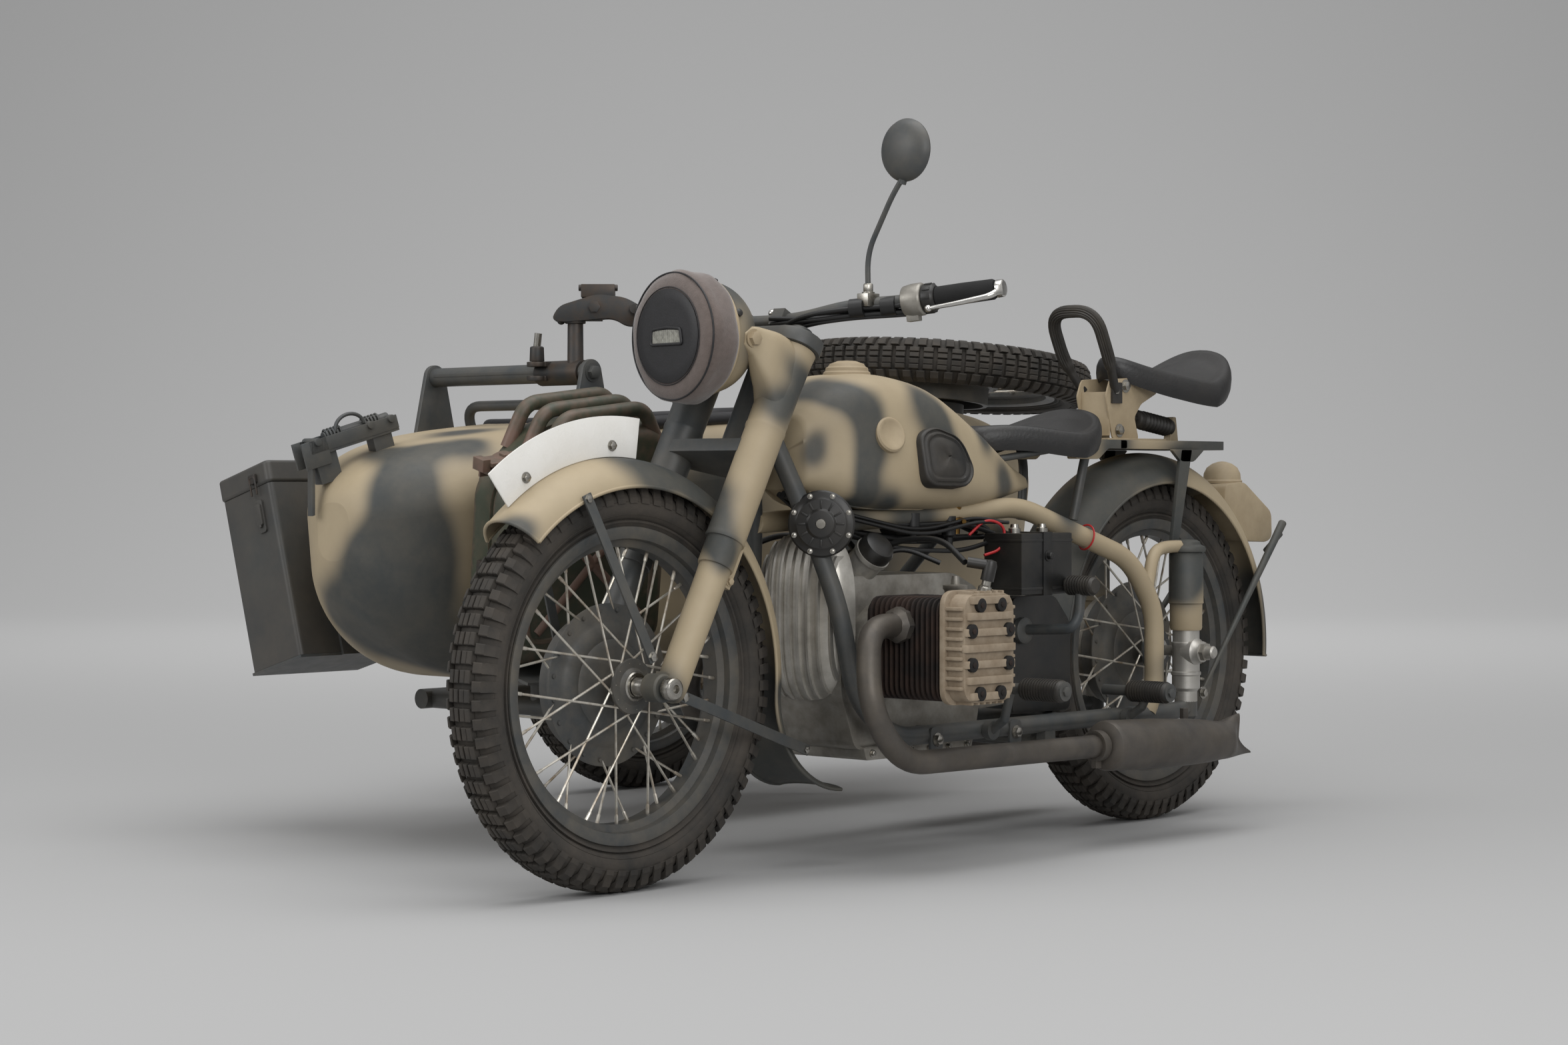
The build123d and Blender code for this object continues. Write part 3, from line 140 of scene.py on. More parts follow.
def rounded_path(points: Sequence[Point], bend: float, steps: int = 8) -> np.ndarray:
    """A polyline whose corners are eased into curves.

    Args:
        points: the corners.
        bend: how far from a corner the curve starts, at most.
        steps: pieces in each curve.

    Returns:
        The eased line's points.
    """
    pts = [np.asarray(p, float) for p in points]
    if bend <= 0 or len(pts) < 3:
        return np.array(pts)
    out = [pts[0]]
    for before, corner, after in zip(pts, pts[1:], pts[2:]):
        reach = min(bend, 0.48 * np.linalg.norm(before - corner), 0.48 * np.linalg.norm(after - corner))
        start = corner + reach * unit(before - corner)
        end = corner + reach * unit(after - corner)
        for t in np.linspace(0, 1, steps + 1):
            out.append((1 - t) ** 2 * start + 2 * t * (1 - t) * corner + t**2 * end)
    out.append(pts[-1])
    return np.array(out)


def rounded_outline(points: Sequence[Sequence[float]], radius: float, steps: int = 5) -> np.ndarray:
    """A closed flat outline with its corners eased.

    Args:
        points: the corners in two coordinates.
        radius: how far from a corner the curve starts.
        steps: pieces in each curve.

    Returns:
        The outline's points in order.
    """
    pts = [np.asarray(p, float) for p in points]
    out = []
    for i, corner in enumerate(pts):
        before, after = pts[i - 1], pts[(i + 1) % len(pts)]
        reach = min(radius, 0.49 * np.linalg.norm(before - corner), 0.49 * np.linalg.norm(after - corner))
        start, end = corner + reach * unit(before - corner), corner + reach * unit(after - corner)
        for t in np.linspace(0, 1, steps + 1):
            out.append((1 - t) ** 2 * start + 2 * t * (1 - t) * corner + t**2 * end)
    return np.array(out)


def circle(radius: float, count: int = 32, middle: Sequence[float] = (0.0, 0.0)) -> np.ndarray:
    """Points round a circle."""
    turn = full_turn(count)
    return np.stack((middle[0] + radius * np.cos(turn), middle[1] + radius * np.sin(turn)), 1)


def full_turn(count: int) -> np.ndarray:
    """Angles evenly round a circle, the start only once."""
    return np.linspace(0, 2 * pi, count, endpoint=False)


def around(u: np.ndarray, v: np.ndarray, turn: float) -> np.ndarray:
    """The direction at an angle from u towards v."""
    return u * cos(turn) + v * sin(turn)


def rectangle(u0: float, v0: float, u1: float, v1: float) -> tuple[tuple[float, float], ...]:
    """The corners of a flat rectangle from its lowest and highest coordinates."""
    return ((u0, v0), (u1, v0), (u1, v1), (u0, v1))


def ball(radius: float) -> list[tuple[float, float]]:
    """The profile of a ball for the lathe."""
    return [(radius * sin(t), radius * cos(t)) for t in np.linspace(-1.57, 1.57, 9)]


class Shape:
    """Vertices and faces of one piece while it is put together."""

    def __init__(self) -> None:
        """Start with nothing."""
        self.verts: list[np.ndarray] = []
        self.faces: list[tuple[int, ...]] = []
        self.count = 0

    def add(self, verts: np.ndarray, faces: Iterable[Sequence[int]]) -> "Shape":
        """Add loose geometry.

        Args:
            verts: points.
            faces: corner numbers into those points.

        Returns:
            This shape.
        """
        base = self.count
        block = np.asarray(verts, float).reshape(-1, 3)
        self.verts.append(block)
        self.faces.extend(tuple(base + i for i in f) for f in faces)
        self.count += len(block)
        return self

    def grid(self, rows: Sequence[np.ndarray], wrap_rows: bool = False, wrap_cols: bool = False,
             cap: bool = False) -> "Shape":
        """Skin rows of points with four-sided faces.

        Args:
            rows: rows with the same number of points.
            wrap_rows: join the last row to the first.
            wrap_cols: join each row's end to its start.
            cap: close the first and last rows with one face each.

        Returns:
            This shape.
        """
        block = np.asarray(rows, float)
        n, m = block.shape[:2]
        faces = []
        for i in range(n if wrap_rows else n - 1):
            k = (i + 1) % n
            for j in range(m if wrap_cols else m - 1):
                q = (j + 1) % m
                faces.append((i * m + j, i * m + q, k * m + q, k * m + j))
        if cap:
            faces.append(tuple(reversed(range(m))))
            faces.append(tuple((n - 1) * m + j for j in range(m)))
        return self.add(block.reshape(-1, 3), faces)

    def lathe(self, profile: Sequence[Sequence[float]], origin: Point, axis: Point, segments: int = 64,
              closed: bool = False) -> "Shape":
        """Turn a profile round an axis.

        Args:
            profile: pairs of distance along the axis and radius.
            origin: the axis's starting point.
            axis: its direction.
            segments: steps round.
            closed: whether the profile runs back to its start.

        Returns:
            This shape.
        """
        u, v, w = basis(axis)
        ring = circle(1.0, segments) @ np.array((u, v))
        rows = [np.asarray(origin, float) + a * w + r * ring for a, r in profile]
        return self.grid(rows, wrap_rows=closed, wrap_cols=True)

    def turned(self, profile: Sequence[Sequence[float]], origin: Point, axis: Point,
               segments: int = 64) -> "Shape":
        """Turn a profile round an axis, with flat ends that close it."""
        ends = ((profile[0][0], 0), *profile, (profile[-1][0], 0))
        return self.lathe(ends, origin, axis, segments)

    def rod(self, start: Point, end: Point, radius: float, segments: int = 20) -> "Shape":
        """A round bar between two points.

        Args:
            start: one end.
            end: the other end.
            radius: its radius.
            segments: steps round.

        Returns:
            This shape.
        """
        run = np.asarray(end, float) - np.asarray(start, float)
        length = float(np.linalg.norm(run))
        return self.turned(((0, radius), (length, radius)), start, run, segments)

    def tube(self, points: Sequence[Point], radius: float, bend: float = 0, segments: int = 18,
             end_radius: Optional[float] = None) -> "Shape":
        """A round bar along a bent line.

        Args:
            points: the line's corners.
            radius: the bar's radius at its start.
            bend: how far round a corner the bend reaches.
            segments: steps round.
            end_radius: the radius at its end, if it tapers.

        Returns:
            This shape.
        """
        path = rounded_path(points, bend)
        ends = np.linspace(radius, radius if end_radius is None else end_radius, len(path))
        across = basis(path[1] - path[0])[0]
        rows = []
        for i, p in enumerate(path):
            ahead = unit(path[min(i + 1, len(path) - 1)] - path[max(i - 1, 0)])
            across = unit(across - ahead * float(across @ ahead))
            ring = circle(float(ends[i]), segments) @ np.array((across, np.cross(ahead, across)))
            rows.append(p + ring)
        return self.grid(rows, wrap_cols=True, cap=True)

    def block(self, centre: Point, size: Point, axes: Optional[Sequence[Point]] = None) -> "Shape":
        """A box.

        Args:
            centre: its middle.
            size: its three lengths.
            axes: its three directions, if it is turned.

        Returns:
            This shape.
        """
        a = np.array(axes if axes is not None else (X_DIR, Y_DIR, Z_DIR), float)
        signs = np.array([(x, y, z) for z in (-1, 1) for x, y in ((-1, -1), (1, -1), (1, 1), (-1, 1))], float)
        verts = np.asarray(centre, float) + (signs * np.asarray(size, float) / 2) @ a
        return self.add(verts, ((3, 2, 1, 0), (4, 5, 6, 7), (0, 1, 5, 4), (1, 2, 6, 5), (2, 3, 7, 6),
                                (3, 0, 4, 7)))

    def slab(self, outline: np.ndarray, origin: Point, u: Point, v: Point, depth: float) -> "Shape":
        """A flat outline with thickness.

        Args:
            outline: points in two coordinates.
            origin: where the outline's origin lies.
            u: direction of its first coordinate.
            v: direction of its second coordinate.
            depth: thickness towards u cross v.

        Returns:
            This shape.
        """
        flat = np.asarray(origin, float) + np.asarray(outline, float) @ np.array((u, v), float)
        lift = depth * unit(np.cross(u, v))
        return self.grid((flat, flat + lift), wrap_cols=True, cap=True)

    def plate(self, outline: np.ndarray, x: float, depth: float) -> "Shape":
        """An upright plate seen from the side, from x towards the left."""
        return self.slab(outline, (x, 0, 0), Y_DIR, Z_DIR, depth)

    def bolt(self, at: Point, axis: Point, radius: float = 7, height: float = 5,
             washer: float = 0) -> "Shape":
        """A six-sided bolt head, with a washer if wanted.

        Args:
            at: middle of the seat.
            axis: the way the head faces.
            radius: radius over its corners.
            height: height of the head.
            washer: washer radius, or nothing.

        Returns:
            This shape.
        """
        lift = np.asarray(at, float)
        if washer:
            self.lathe(((-1, 0), (-1, washer), (1.6, washer), (2, 0)), lift, axis, 20)
            lift = lift + 1.8 * unit(axis)
        profile = ((-1, 0), (-1, radius), (0.85 * height, radius), (height, 0.8 * radius), (height, 0))
        return self.lathe(profile, lift, axis, 6)


def add_node(tree: Tree, kind: str, inputs: dict, **settings: object) -> bpy.types.Node:
    """Put one shader node in a tree.

    Args:
        tree: the node tree.
        kind: the node's type name.
        inputs: sockets to link or values to set, by input name or number.
        **settings: the node's own properties.

    Returns:
        The node.
    """
    node = tree.nodes.new(kind)
    for key, value in settings.items():
        setattr(node, key, value)
    for key, value in inputs.items():
        if isinstance(value, Socket):
            tree.links.new(value, node.inputs[key])
        else:
            node.inputs[key].default_value = value
    return node


def linear(hex_color: str) -> tuple[float, float, float, float]:
    """A colour as the shader wants it."""
    parts = [int(hex_color[i : i + 2], 16) / 255 for i in (1, 3, 5)]
    return (*[c / 12.92 if c <= 0.04045 else ((c + 0.055) / 1.055) ** 2.4 for c in parts], 1.0)


@dataclass(frozen=True)
class Patch:
    """One soft-edged sprayed patch, in the motorcycle's frame."""

    x: float
    y: float
    z: float
    radius: float


@dataclass(frozen=True)
class Finish:
    """One real material, the record's slot for it and how its surface was made."""

    name: str
    slot: str
    color: str
    rough: float
    metal: float = 0.0
    second: str = ""
    second_share: float = 0.5
    second_mm: float = 40.0
    second_edge: float = 0.4
    grain_mm: float = 1.5
    grain_depth_mm: float = 0.0
    dust: float = 0.0
    dust_color: str = "#8a7d68"
    sheen: float = 0.0
    coat: float = 0.0
    spray: str = ""
    edge_wear: str = ""


class Paints(Enum):
    """The finishes seen on the outfit."""

    # matt sand paint with sprayed grey: chalky, soft-edged, no gloss
    CAMO = Finish("matt_sprayed_camouflage", "camo_paint", "#a8997e", 0.58, spray="#393c3b", grain_mm=2.2,
                  grain_depth_mm=0.05, dust=0.10, second="#9b8c72", second_share=0.45, second_mm=160,
                  second_edge=0.35)
    # plain sand paint, a little dirty in the hollows
    SAND = Finish("matt_sand_paint", "sand_paint", "#a9997e", 0.6, second="#94846a", second_share=0.42,
                  second_mm=60, second_edge=0.3, grain_mm=2.2, grain_depth_mm=0.05, dust=0.08)
    # dark grey paint, satin, so tubes carry a soft line of light
    GREY = Finish("satin_grey_paint", "grey_paint", "#34383a", 0.46, second="#3c4042", second_mm=90,
                  dust=0.12, grain_mm=2.0, grain_depth_mm=0.03)
    # duller grey on the wheels, so that the bright wires stand out
    WHEEL = Finish("satin_wheel_grey_paint", "wheel_grey", "#33373a", 0.48, second="#3a3d3e", second_mm=70,
                   dust=0.18, grain_mm=2.0, grain_depth_mm=0.03)
    # black rubber greyed by road dust: no sharp highlight
    TYRE = Finish("moulded_tyre_rubber", "tyre_rubber", "#262523", 0.8, second="#2f2b26", second_mm=55,
                  dust=0.15, dust_color="#6b6156", grain_mm=1.4, grain_depth_mm=0.08)
    # smooth black rubber: a soft, wide highlight
    RUBBER = Finish("moulded_black_rubber", "black_rubber", "#1d1d1d", 0.52, second="#252423", second_mm=30,
                    grain_mm=1.2, grain_depth_mm=0.05, dust=0.06)
    # patterned saddle rubber: deep black, lit in small points
    SADDLE = Finish("woven_pattern_rubber", "black_rubber", "#161617", 0.42, second="#1c1c1d", second_mm=40,
                    grain_mm=2.6, grain_depth_mm=0.4, dust=0.02)
    # foam grips: dead black, no highlight at all
    FOAM = Finish("foam_rubber_grip", "black_rubber", "#171717", 0.95, grain_mm=1.0, grain_depth_mm=0.35)
    # moulded plastic: black with a small clean highlight
    PLASTIC = Finish("moulded_black_plastic", "black_plastic", "#151617", 0.38, grain_mm=1.0,
                     grain_depth_mm=0.02, dust=0.04)
    # thick felt: no highlight, a soft pale rim of fibres
    FELT = Finish("pressed_felt", "felt", "#665b56", 1.0, second="#594f4a", second_mm=9, second_edge=0.35,
                  grain_mm=1.1, grain_depth_mm=0.55, sheen=0.35)
    # black hide: fine creases break the highlight up
    LEATHER = Finish("black_hide", "black_leather", "#161617", 0.5, second="#1e1d20", second_mm=14,
                     grain_mm=1.8, grain_depth_mm=0.22)
    # zinced wire gone brown in places
    SPOKE = Finish("zinced_steel_wire", "bright_steel", "#c8c4ba", 0.34, 0.75, second="#8a7a66",
                   second_share=0.25, second_mm=30, second_edge=0.2)
    # machined steel: bright, with sharp reflections
    STEEL = Finish("bright_machined_steel", "bright_steel", "#b4b2ad", 0.27, 1.0, second="#8f8a80",
                   second_mm=16, grain_mm=1.0, grain_depth_mm=0.02)
    # polished alloy: light, close to a mirror
    POLISHED = Finish("polished_alloy", "bright_steel", "#cfcecb", 0.2, 1.0, second="#bdbab4", second_mm=20,
                      grain_mm=1.4, grain_depth_mm=0.015)
    # blasted alloy: pale and silky, no sharp reflection
    SILVER = Finish("bead_blasted_alloy", "alloy", "#bdbbb6", 0.42, 0.7, second="#a39f97", second_mm=40,
                    grain_mm=1.4, grain_depth_mm=0.04)
    # sand-cast alloy, oily and stained, with a broad dull highlight
    ALLOY = Finish("sand_cast_alloy", "alloy", "#a19e97", 0.42, 0.6, second="#716d66", second_share=0.46,
                   second_mm=48, second_edge=0.3, grain_mm=1.8, grain_depth_mm=0.16, dust=0.1)
    # scrubbed castings: paler than the case, with a broad sheen
    CAST = Finish("scrubbed_cast_alloy", "alloy", "#c2bfb8", 0.36, 0.55, second="#96928a", second_share=0.36,
                  second_mm=40, second_edge=0.35, grain_mm=1.8, grain_depth_mm=0.1, dust=0.04)
    # painted shade in the stud wells: flat near-black discs that read as holes
    WELL_SHADE = Finish("painted_well_shade", "rusty_iron", "#191716", 0.9)
    # cast iron, rust over soot
    IRON = Finish("rusty_cast_iron", "rusty_iron", "#3a2a22", 0.82, 0.25, second="#1c1918", second_share=0.6,
                  second_mm=60, second_edge=0.22, grain_mm=1.6, grain_depth_mm=0.2)
    # limed heads: chalky tan with brown stains
    HEAD = Finish("limed_cast_alloy", "sand_paint", "#9c8e7b", 0.74, 0.15, second="#83735f",
                  second_share=0.45, second_mm=22, second_edge=0.3, grain_mm=1.5, grain_depth_mm=0.2)
    # heat-dulled steel: dark and patchy, a soft streak of light along it
    EXHAUST = Finish("heat_dulled_steel", "rusty_iron", "#45423f", 0.48, 0.5, second="#57534f",
                     second_share=0.4, second_mm=65, second_edge=0.25, grain_mm=1.8, grain_depth_mm=0.06,
                     dust=0.12)
    # dark green paint, rubbed brown along its edges
    GREEN = Finish("worn_green_paint", "green_paint", "#3a3f31", 0.5, second="#4c4738", second_share=0.26,
                   second_mm=36, second_edge=0.16, grain_mm=1.8, grain_depth_mm=0.06, edge_wear="#6a5347")
    # field grey on sheet: even, satin
    LOCKER = Finish("satin_field_grey_paint", "grey_paint", "#383b3b", 0.42, second="#3d3a37", second_mm=150,
                    grain_mm=2.0, grain_depth_mm=0.03, dust=0.06)
    # phosphated steel: dark, a little brown, low sheen
    GUN = Finish("phosphated_steel", "grey_paint", "#37393a", 0.5, 0.55, second="#4b4037", second_share=0.4,
                 second_mm=28, second_edge=0.25, grain_mm=1.4, grain_depth_mm=0.05)
    # white enamel: the brightest flat area, glossy
    ENAMEL = Finish("white_enamel", "white_plate", "#e4e3df", 0.28, second="#dcdad4", second_mm=50, coat=0.3)
    # ribbed glass: pale lines beside dark ones
    GLASS = Finish("ribbed_lens_glass", "felt", "#6f6e66", 0.12, second="#a5a49a", second_mm=9,
                   second_edge=0.3, coat=1.0)
    # red cable: the one strong colour beside the engine
    RED_WIRE = Finish("red_cable_sheath", "black_rubber", "#a81f22", 0.4)
    # black cable: thin soft lines of light
    BLACK_WIRE = Finish("black_cable_sheath", "black_rubber", "#131313", 0.42)
    # brass gone brown: a warm glint
    COPPER = Finish("tarnished_brass", "bright_steel", "#8a6a3a", 0.35, 1.0, second="#5f4a2b", second_mm=12,
                    second_edge=0.3)
    # red glass: dark until the light meets it
    SPOT = Finish("red_lamp_glass", "sand_paint", "#5a1414", 0.2, coat=0.8)


class PaintShop:
    """Makes each finish's material once, and camouflage once per piece."""

    def __init__(self) -> None:
        """Start with no materials made."""
        self.made: dict[str, bpy.types.Material] = {}

    def get(self, paint: Paints, patches: Sequence[Patch] = (), tag: str = "") -> bpy.types.Material:
        """A finish's material.

        Args:
            paint: the finish.
            patches: sprayed patches, for a camouflaged piece.
            tag: the piece's name, for a camouflaged piece.

        Returns:
            The material.
        """
        key = paint.value.name + ("_" + tag if patches else "")
        if key not in self.made:
            self.made[key] = self.build(key, paint.value, patches)
        return self.made[key]

    def build(self, name: str, finish: Finish, patches: Sequence[Patch]) -> bpy.types.Material:
        """Make one material's nodes.

        Args:
            name: the material's name.
            finish: what it looks like.
            patches: sprayed patches in the second paint colour.

        Returns:
            The material.
        """
        material = bpy.data.materials.new(name)
        material.use_nodes = True
        tree = material.node_tree
        shader = tree.nodes["Principled BSDF"]
        place = add_node(tree, "ShaderNodeTexCoord", {}).outputs["Object"]
        color: object = linear(finish.color)
        if finish.second:
            color = self.mottle(tree, place, finish, color)
        if patches:
            mask = self.spray_mask(tree, place, patches)
            color = self.mix(tree, mask, color, linear(finish.spray))
        if finish.edge_wear:
            color = self.worn_edges(tree, place, color, finish)
        if finish.dust:
            color = self.dusted(tree, place, color, finish)
        self.set_input(tree, shader, "Base Color", color)
        shader.inputs["Metallic"].default_value = finish.metal
        speck = add_node(tree, "ShaderNodeTexNoise", {"Vector": place, "Scale": 1000 / SPECK_MM,
                                                      "Detail": 3.0})
        rough = add_node(tree, "ShaderNodeMapRange", {"Value": speck.outputs["Fac"],
                                                      "To Min": max(finish.rough - GLOSS_SPREAD, 0.04),
                                                      "To Max": min(finish.rough + GLOSS_SPREAD, 1)})
        tree.links.new(rough.outputs["Result"], shader.inputs["Roughness"])
        shader.inputs["Sheen Weight"].default_value = finish.sheen
        shader.inputs["Coat Weight"].default_value = finish.coat
        if finish.grain_depth_mm:
            grain = add_node(tree, "ShaderNodeTexNoise", {
                "Vector": place, "Scale": 1000 / (2 * finish.grain_mm), "Detail": 2.0})
            bump = add_node(tree, "ShaderNodeBump", {
                "Height": grain.outputs["Fac"], "Distance": finish.grain_depth_mm / 1000, "Strength": 1.0})
            tree.links.new(bump.outputs["Normal"], shader.inputs["Normal"])
        return material

    @staticmethod
    def set_input(tree: Tree, shader: bpy.types.Node, name: str, value: object) -> None:
        """Link a socket or set a value.

        Args:
            tree: the node tree.
            shader: the node to set.
            name: the input's name.
            value: a socket or a plain value.
        """
        if isinstance(value, Socket):
            tree.links.new(value, shader.inputs[name])
        else:
            shader.inputs[name].default_value = value

    @staticmethod
    def mix(tree: Tree, share: object, first: object, second: object) -> Socket:
        """Blend two colours."""
        node = add_node(tree, "ShaderNodeMix", {0: share, 6: first, 7: second}, data_type="RGBA")
        return node.outputs[2]

    def mottle(self, tree: Tree, place: Socket, finish: Finish,
               color: object) -> Socket:
        """Uneven second colour: rust, stain or fading.

        Args:
            tree: the node tree.
            place: position socket.
            finish: the finish.
            color: the first colour.

        Returns:
            The mottled colour.
        """
        noise = add_node(tree, "ShaderNodeTexNoise", {"Vector": place, "Scale": 1000 / finish.second_mm,
                                                      "Detail": 5.0, "Roughness": 0.62})
        level = 0.62 - 0.24 * finish.second_share
        share = add_node(tree, "ShaderNodeMapRange", {
            "Value": noise.outputs["Fac"], "From Min": level - finish.second_edge,
            "From Max": level + finish.second_edge}, interpolation_type="SMOOTHSTEP")
        return self.mix(tree, share.outputs["Result"], color, linear(finish.second))

    @staticmethod
    def spray_mask(tree: Tree, place: Socket,
                   patches: Sequence[Patch]) -> Socket:
        """Soft round patches run together, their edges wandering a little.

        Args:
            tree: the node tree.
            place: position socket.
            patches: the patches.

        Returns:
            A mask that is one inside the patches.
        """
        wander = add_node(tree, "ShaderNodeTexNoise", {"Vector": place, "Scale": 1000 / WANDER_MM,
                                                       "Detail": 1.0})
        shift = add_node(tree, "ShaderNodeVectorMath", {0: wander.outputs["Color"], 1: (0.5, 0.5, 0.5)},
                         operation="SUBTRACT")
        scaled = add_node(tree, "ShaderNodeVectorMath", {0: shift.outputs[0], "Scale": SPRAY_WANDER_M},
                          operation="SCALE")
        moved = add_node(tree, "ShaderNodeVectorMath", {0: place, 1: scaled.outputs[0]}, operation="ADD")
        total: object = 0.0
        for patch in patches:
            gap = add_node(tree, "ShaderNodeVectorMath",
                           {0: moved.outputs[0], 1: row((patch.x, patch.y, patch.z))}, operation="DISTANCE")
            reach = add_node(tree, "ShaderNodeMath", {0: gap.outputs["Value"], 1: patch.radius / 1000},
                             operation="DIVIDE")
            square = add_node(tree, "ShaderNodeMath", {0: reach.outputs[0], 1: reach.outputs[0]},
                              operation="MULTIPLY")
            inside = add_node(tree, "ShaderNodeMath", {0: 0.5, 1: square.outputs[0]}, operation="POWER")
            total = add_node(tree, "ShaderNodeMath", {0: inside.outputs[0], 1: total},
                             operation="ADD").outputs[0]
        mask = add_node(tree, "ShaderNodeMapRange", {"Value": total, "From Min": SPRAY_EDGE[0],
                                                     "From Max": SPRAY_EDGE[1]},
                        interpolation_type="SMOOTHSTEP")
        return mask.outputs["Result"]

    def worn_edges(self, tree: Tree, place: Socket, color: object,
                   finish: Finish) -> Socket:
        """Paint rubbed off where the surface is sharpest.

        Args:
            tree: the node tree.
            place: position socket.
            color: the paint's colour.
            finish: the finish.

        Returns:
            The colour with worn edges.
        """
        sharp = add_node(tree, "ShaderNodeNewGeometry", {}).outputs["Pointiness"]
        noise = add_node(tree, "ShaderNodeTexNoise", {"Vector": place, "Scale": 1000 / WEAR_MM,
                                                      "Detail": 4.0})
        summed = add_node(tree, "ShaderNodeMath", {0: noise.outputs["Fac"], 1: 0.08, 2: sharp},
                          operation="MULTIPLY_ADD")
        share = add_node(tree, "ShaderNodeMapRange", {"Value": summed.outputs[0], "From Min": WEAR_EDGE[0],
                                                      "From Max": WEAR_EDGE[1]})
        return self.mix(tree, share.outputs["Result"], color, linear(finish.edge_wear))

    def dusted(self, tree: Tree, place: Socket, color: object,
               finish: Finish) -> Socket:
        """Thin uneven dust.

        Args:
            tree: the node tree.
            place: position socket.
            color: the clean colour.
            finish: the finish.

        Returns:
            The dusty colour.
        """
        noise = add_node(tree, "ShaderNodeTexNoise", {"Vector": place, "Scale": 1000 / DUST_MM, "Detail": 6.0,
                                                      "Roughness": 0.7})
        share = add_node(tree, "ShaderNodeMapRange", {"Value": noise.outputs["Fac"], "From Min": DUST_EDGE[0],
                                                      "From Max": DUST_EDGE[1], "To Max": 2 * finish.dust})
        return self.mix(tree, share.outputs["Result"], color, linear(finish.dust_color))


SHOP = PaintShop()


def make(name: str, shape: Shape, paint: Paints, stands_for: Sequence[str] = (), body: str = "chassis",
         slot: str = "", sharp_deg: float = 38, bevel: float = 0, patches: Sequence[Patch] = (),
         place: Optional[Matrix] = None) -> bpy.types.Object:
    """Write a shape as a mesh that rides on a CAD body.

    Args:
        name: the piece's name.
        shape: its geometry.
        paint: its finish.
        stands_for: CAD nodes it is shown in place of.
        body: the CAD body it moves with.
        slot: the record's material slot, if it isn't the finish's own; not used.
        sharp_deg: edges bent by more than this stay sharp.
        bevel: width of the small chamfer put on sharp edges.
        patches: sprayed patches, for camouflage.
        place: where to put it, if it isn't already in place.

    Returns:
        The object.
    """
    mesh = bpy.data.meshes.new(name)
    bm = bmesh.new()
    verts = [bm.verts.new(v) for v in np.concatenate(shape.verts) / 1000]
    for face in shape.faces:
        corners = list(dict.fromkeys(face))
        if len(corners) > 2:
            try:
                bm.faces.new([verts[i] for i in corners])
            except ValueError:
                continue
    bmesh.ops.remove_doubles(bm, verts=bm.verts, dist=WELD_M)
    bmesh.ops.dissolve_degenerate(bm, edges=bm.edges, dist=SLIVER_M)
    bmesh.ops.recalc_face_normals(bm, faces=bm.faces)
    if bevel:
        edges = [e for e in bm.edges if len(e.link_faces) == 2 and e.calc_face_angle(0) > BEVEL_FROM]
        bmesh.ops.bevel(bm, geom=edges, offset=bevel / 1000, segments=2, profile=0.6, affect="EDGES",
                        clamp_overlap=True)
    bm.to_mesh(mesh)
    bm.free()
    mesh.transform(Matrix.Translation(Vector(ORIGIN / 1000)) @ (place or Matrix.Identity(4)))
    mesh.polygons.foreach_set("use_smooth", [True] * len(mesh.polygons))
    mesh.set_sharp_from_angle(angle=radians(sharp_deg))
    mesh.materials.append(SHOP.get(paint, patches, name))
    piece = bpy.data.objects.new(name, mesh)
    bpy.context.scene.collection.objects.link(piece)
    slot = slot or paint.value.slot
    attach(piece, body)
    if stands_for:
        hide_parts(*stands_for)
    return piece


@dataclass
class Tread:
    """A block tread: rows of raised blocks round the tyre."""

    count: int
    block_mm: float
    centre_edges: tuple[tuple[float, float], ...]
    depth: float = 10.0

    def build(self, shape: Shape, tyre_r: float, half: float) -> None:
        """Add the blocks to a tyre that turns about X at the origin.

        Args:
            shape: where to add them.
            tyre_r: radius over the blocks.
            half: half the tyre's width.
        """
        lug_angle = self.block_mm / tyre_r
        for i in range(self.count):
            turn = 2 * pi * i / self.count
            for low, high in self.centre_edges:
                for sign in (1, -1):
                    self.lug(shape, turn, lug_angle, ((sign * low, tyre_r), (sign * high, tyre_r - 1.5)))
            shift = pi / self.count
            for sign in (1, -1):
                outline = ((sign * 0.58 * half, tyre_r - 3), (sign * 0.86 * half, tyre_r - 11),
                           (sign * 0.99 * half, tyre_r - 29))
                self.lug(shape, turn + shift, 0.86 * lug_angle, outline)

    def lug(self, shape: Shape, turn: float, span: float, outline: Sequence[Sequence[float]]) -> None:
        """One block with chamfered edges.

        Args:
            shape: where to add it.
            turn: its angle round the axle.
            span: the angle it covers.
            outline: pairs of place across and radius over its top.
        """
        inset = 1.3
        rows = []
        for lift, grow in ((-self.depth, 0.8), (-inset, 0.0), (0.0, -inset)):
            ring = []
            for edge in (-1, 1):
                line = outline if edge < 0 else tuple(reversed(outline))
                for k, (x, r) in enumerate(line):
                    end = k if edge < 0 else len(line) - 1 - k
                    toward = -1 if end == 0 else (1 if end == len(line) - 1 else 0)
                    across = x + math.copysign(1, x) * toward * grow
                    radius = r + lift
                    angle = turn + edge * (span / 2 + grow / r)
                    ring.append((across, radius * cos(angle), radius * sin(angle)))
            rows.append(ring)
        n = len(rows[0])
        faces = [(i * n + j, i * n + (j + 1) % n, (i + 1) * n + (j + 1) % n, (i + 1) * n + j)
                 for i in range(2) for j in range(n)]
        half = n // 2
        faces += [(2 * n + j, 2 * n + j + 1, 3 * n - 2 - j, 3 * n - 1 - j) for j in range(half - 1)]
        shape.add(np.array(rows).reshape(-1, 3), faces)


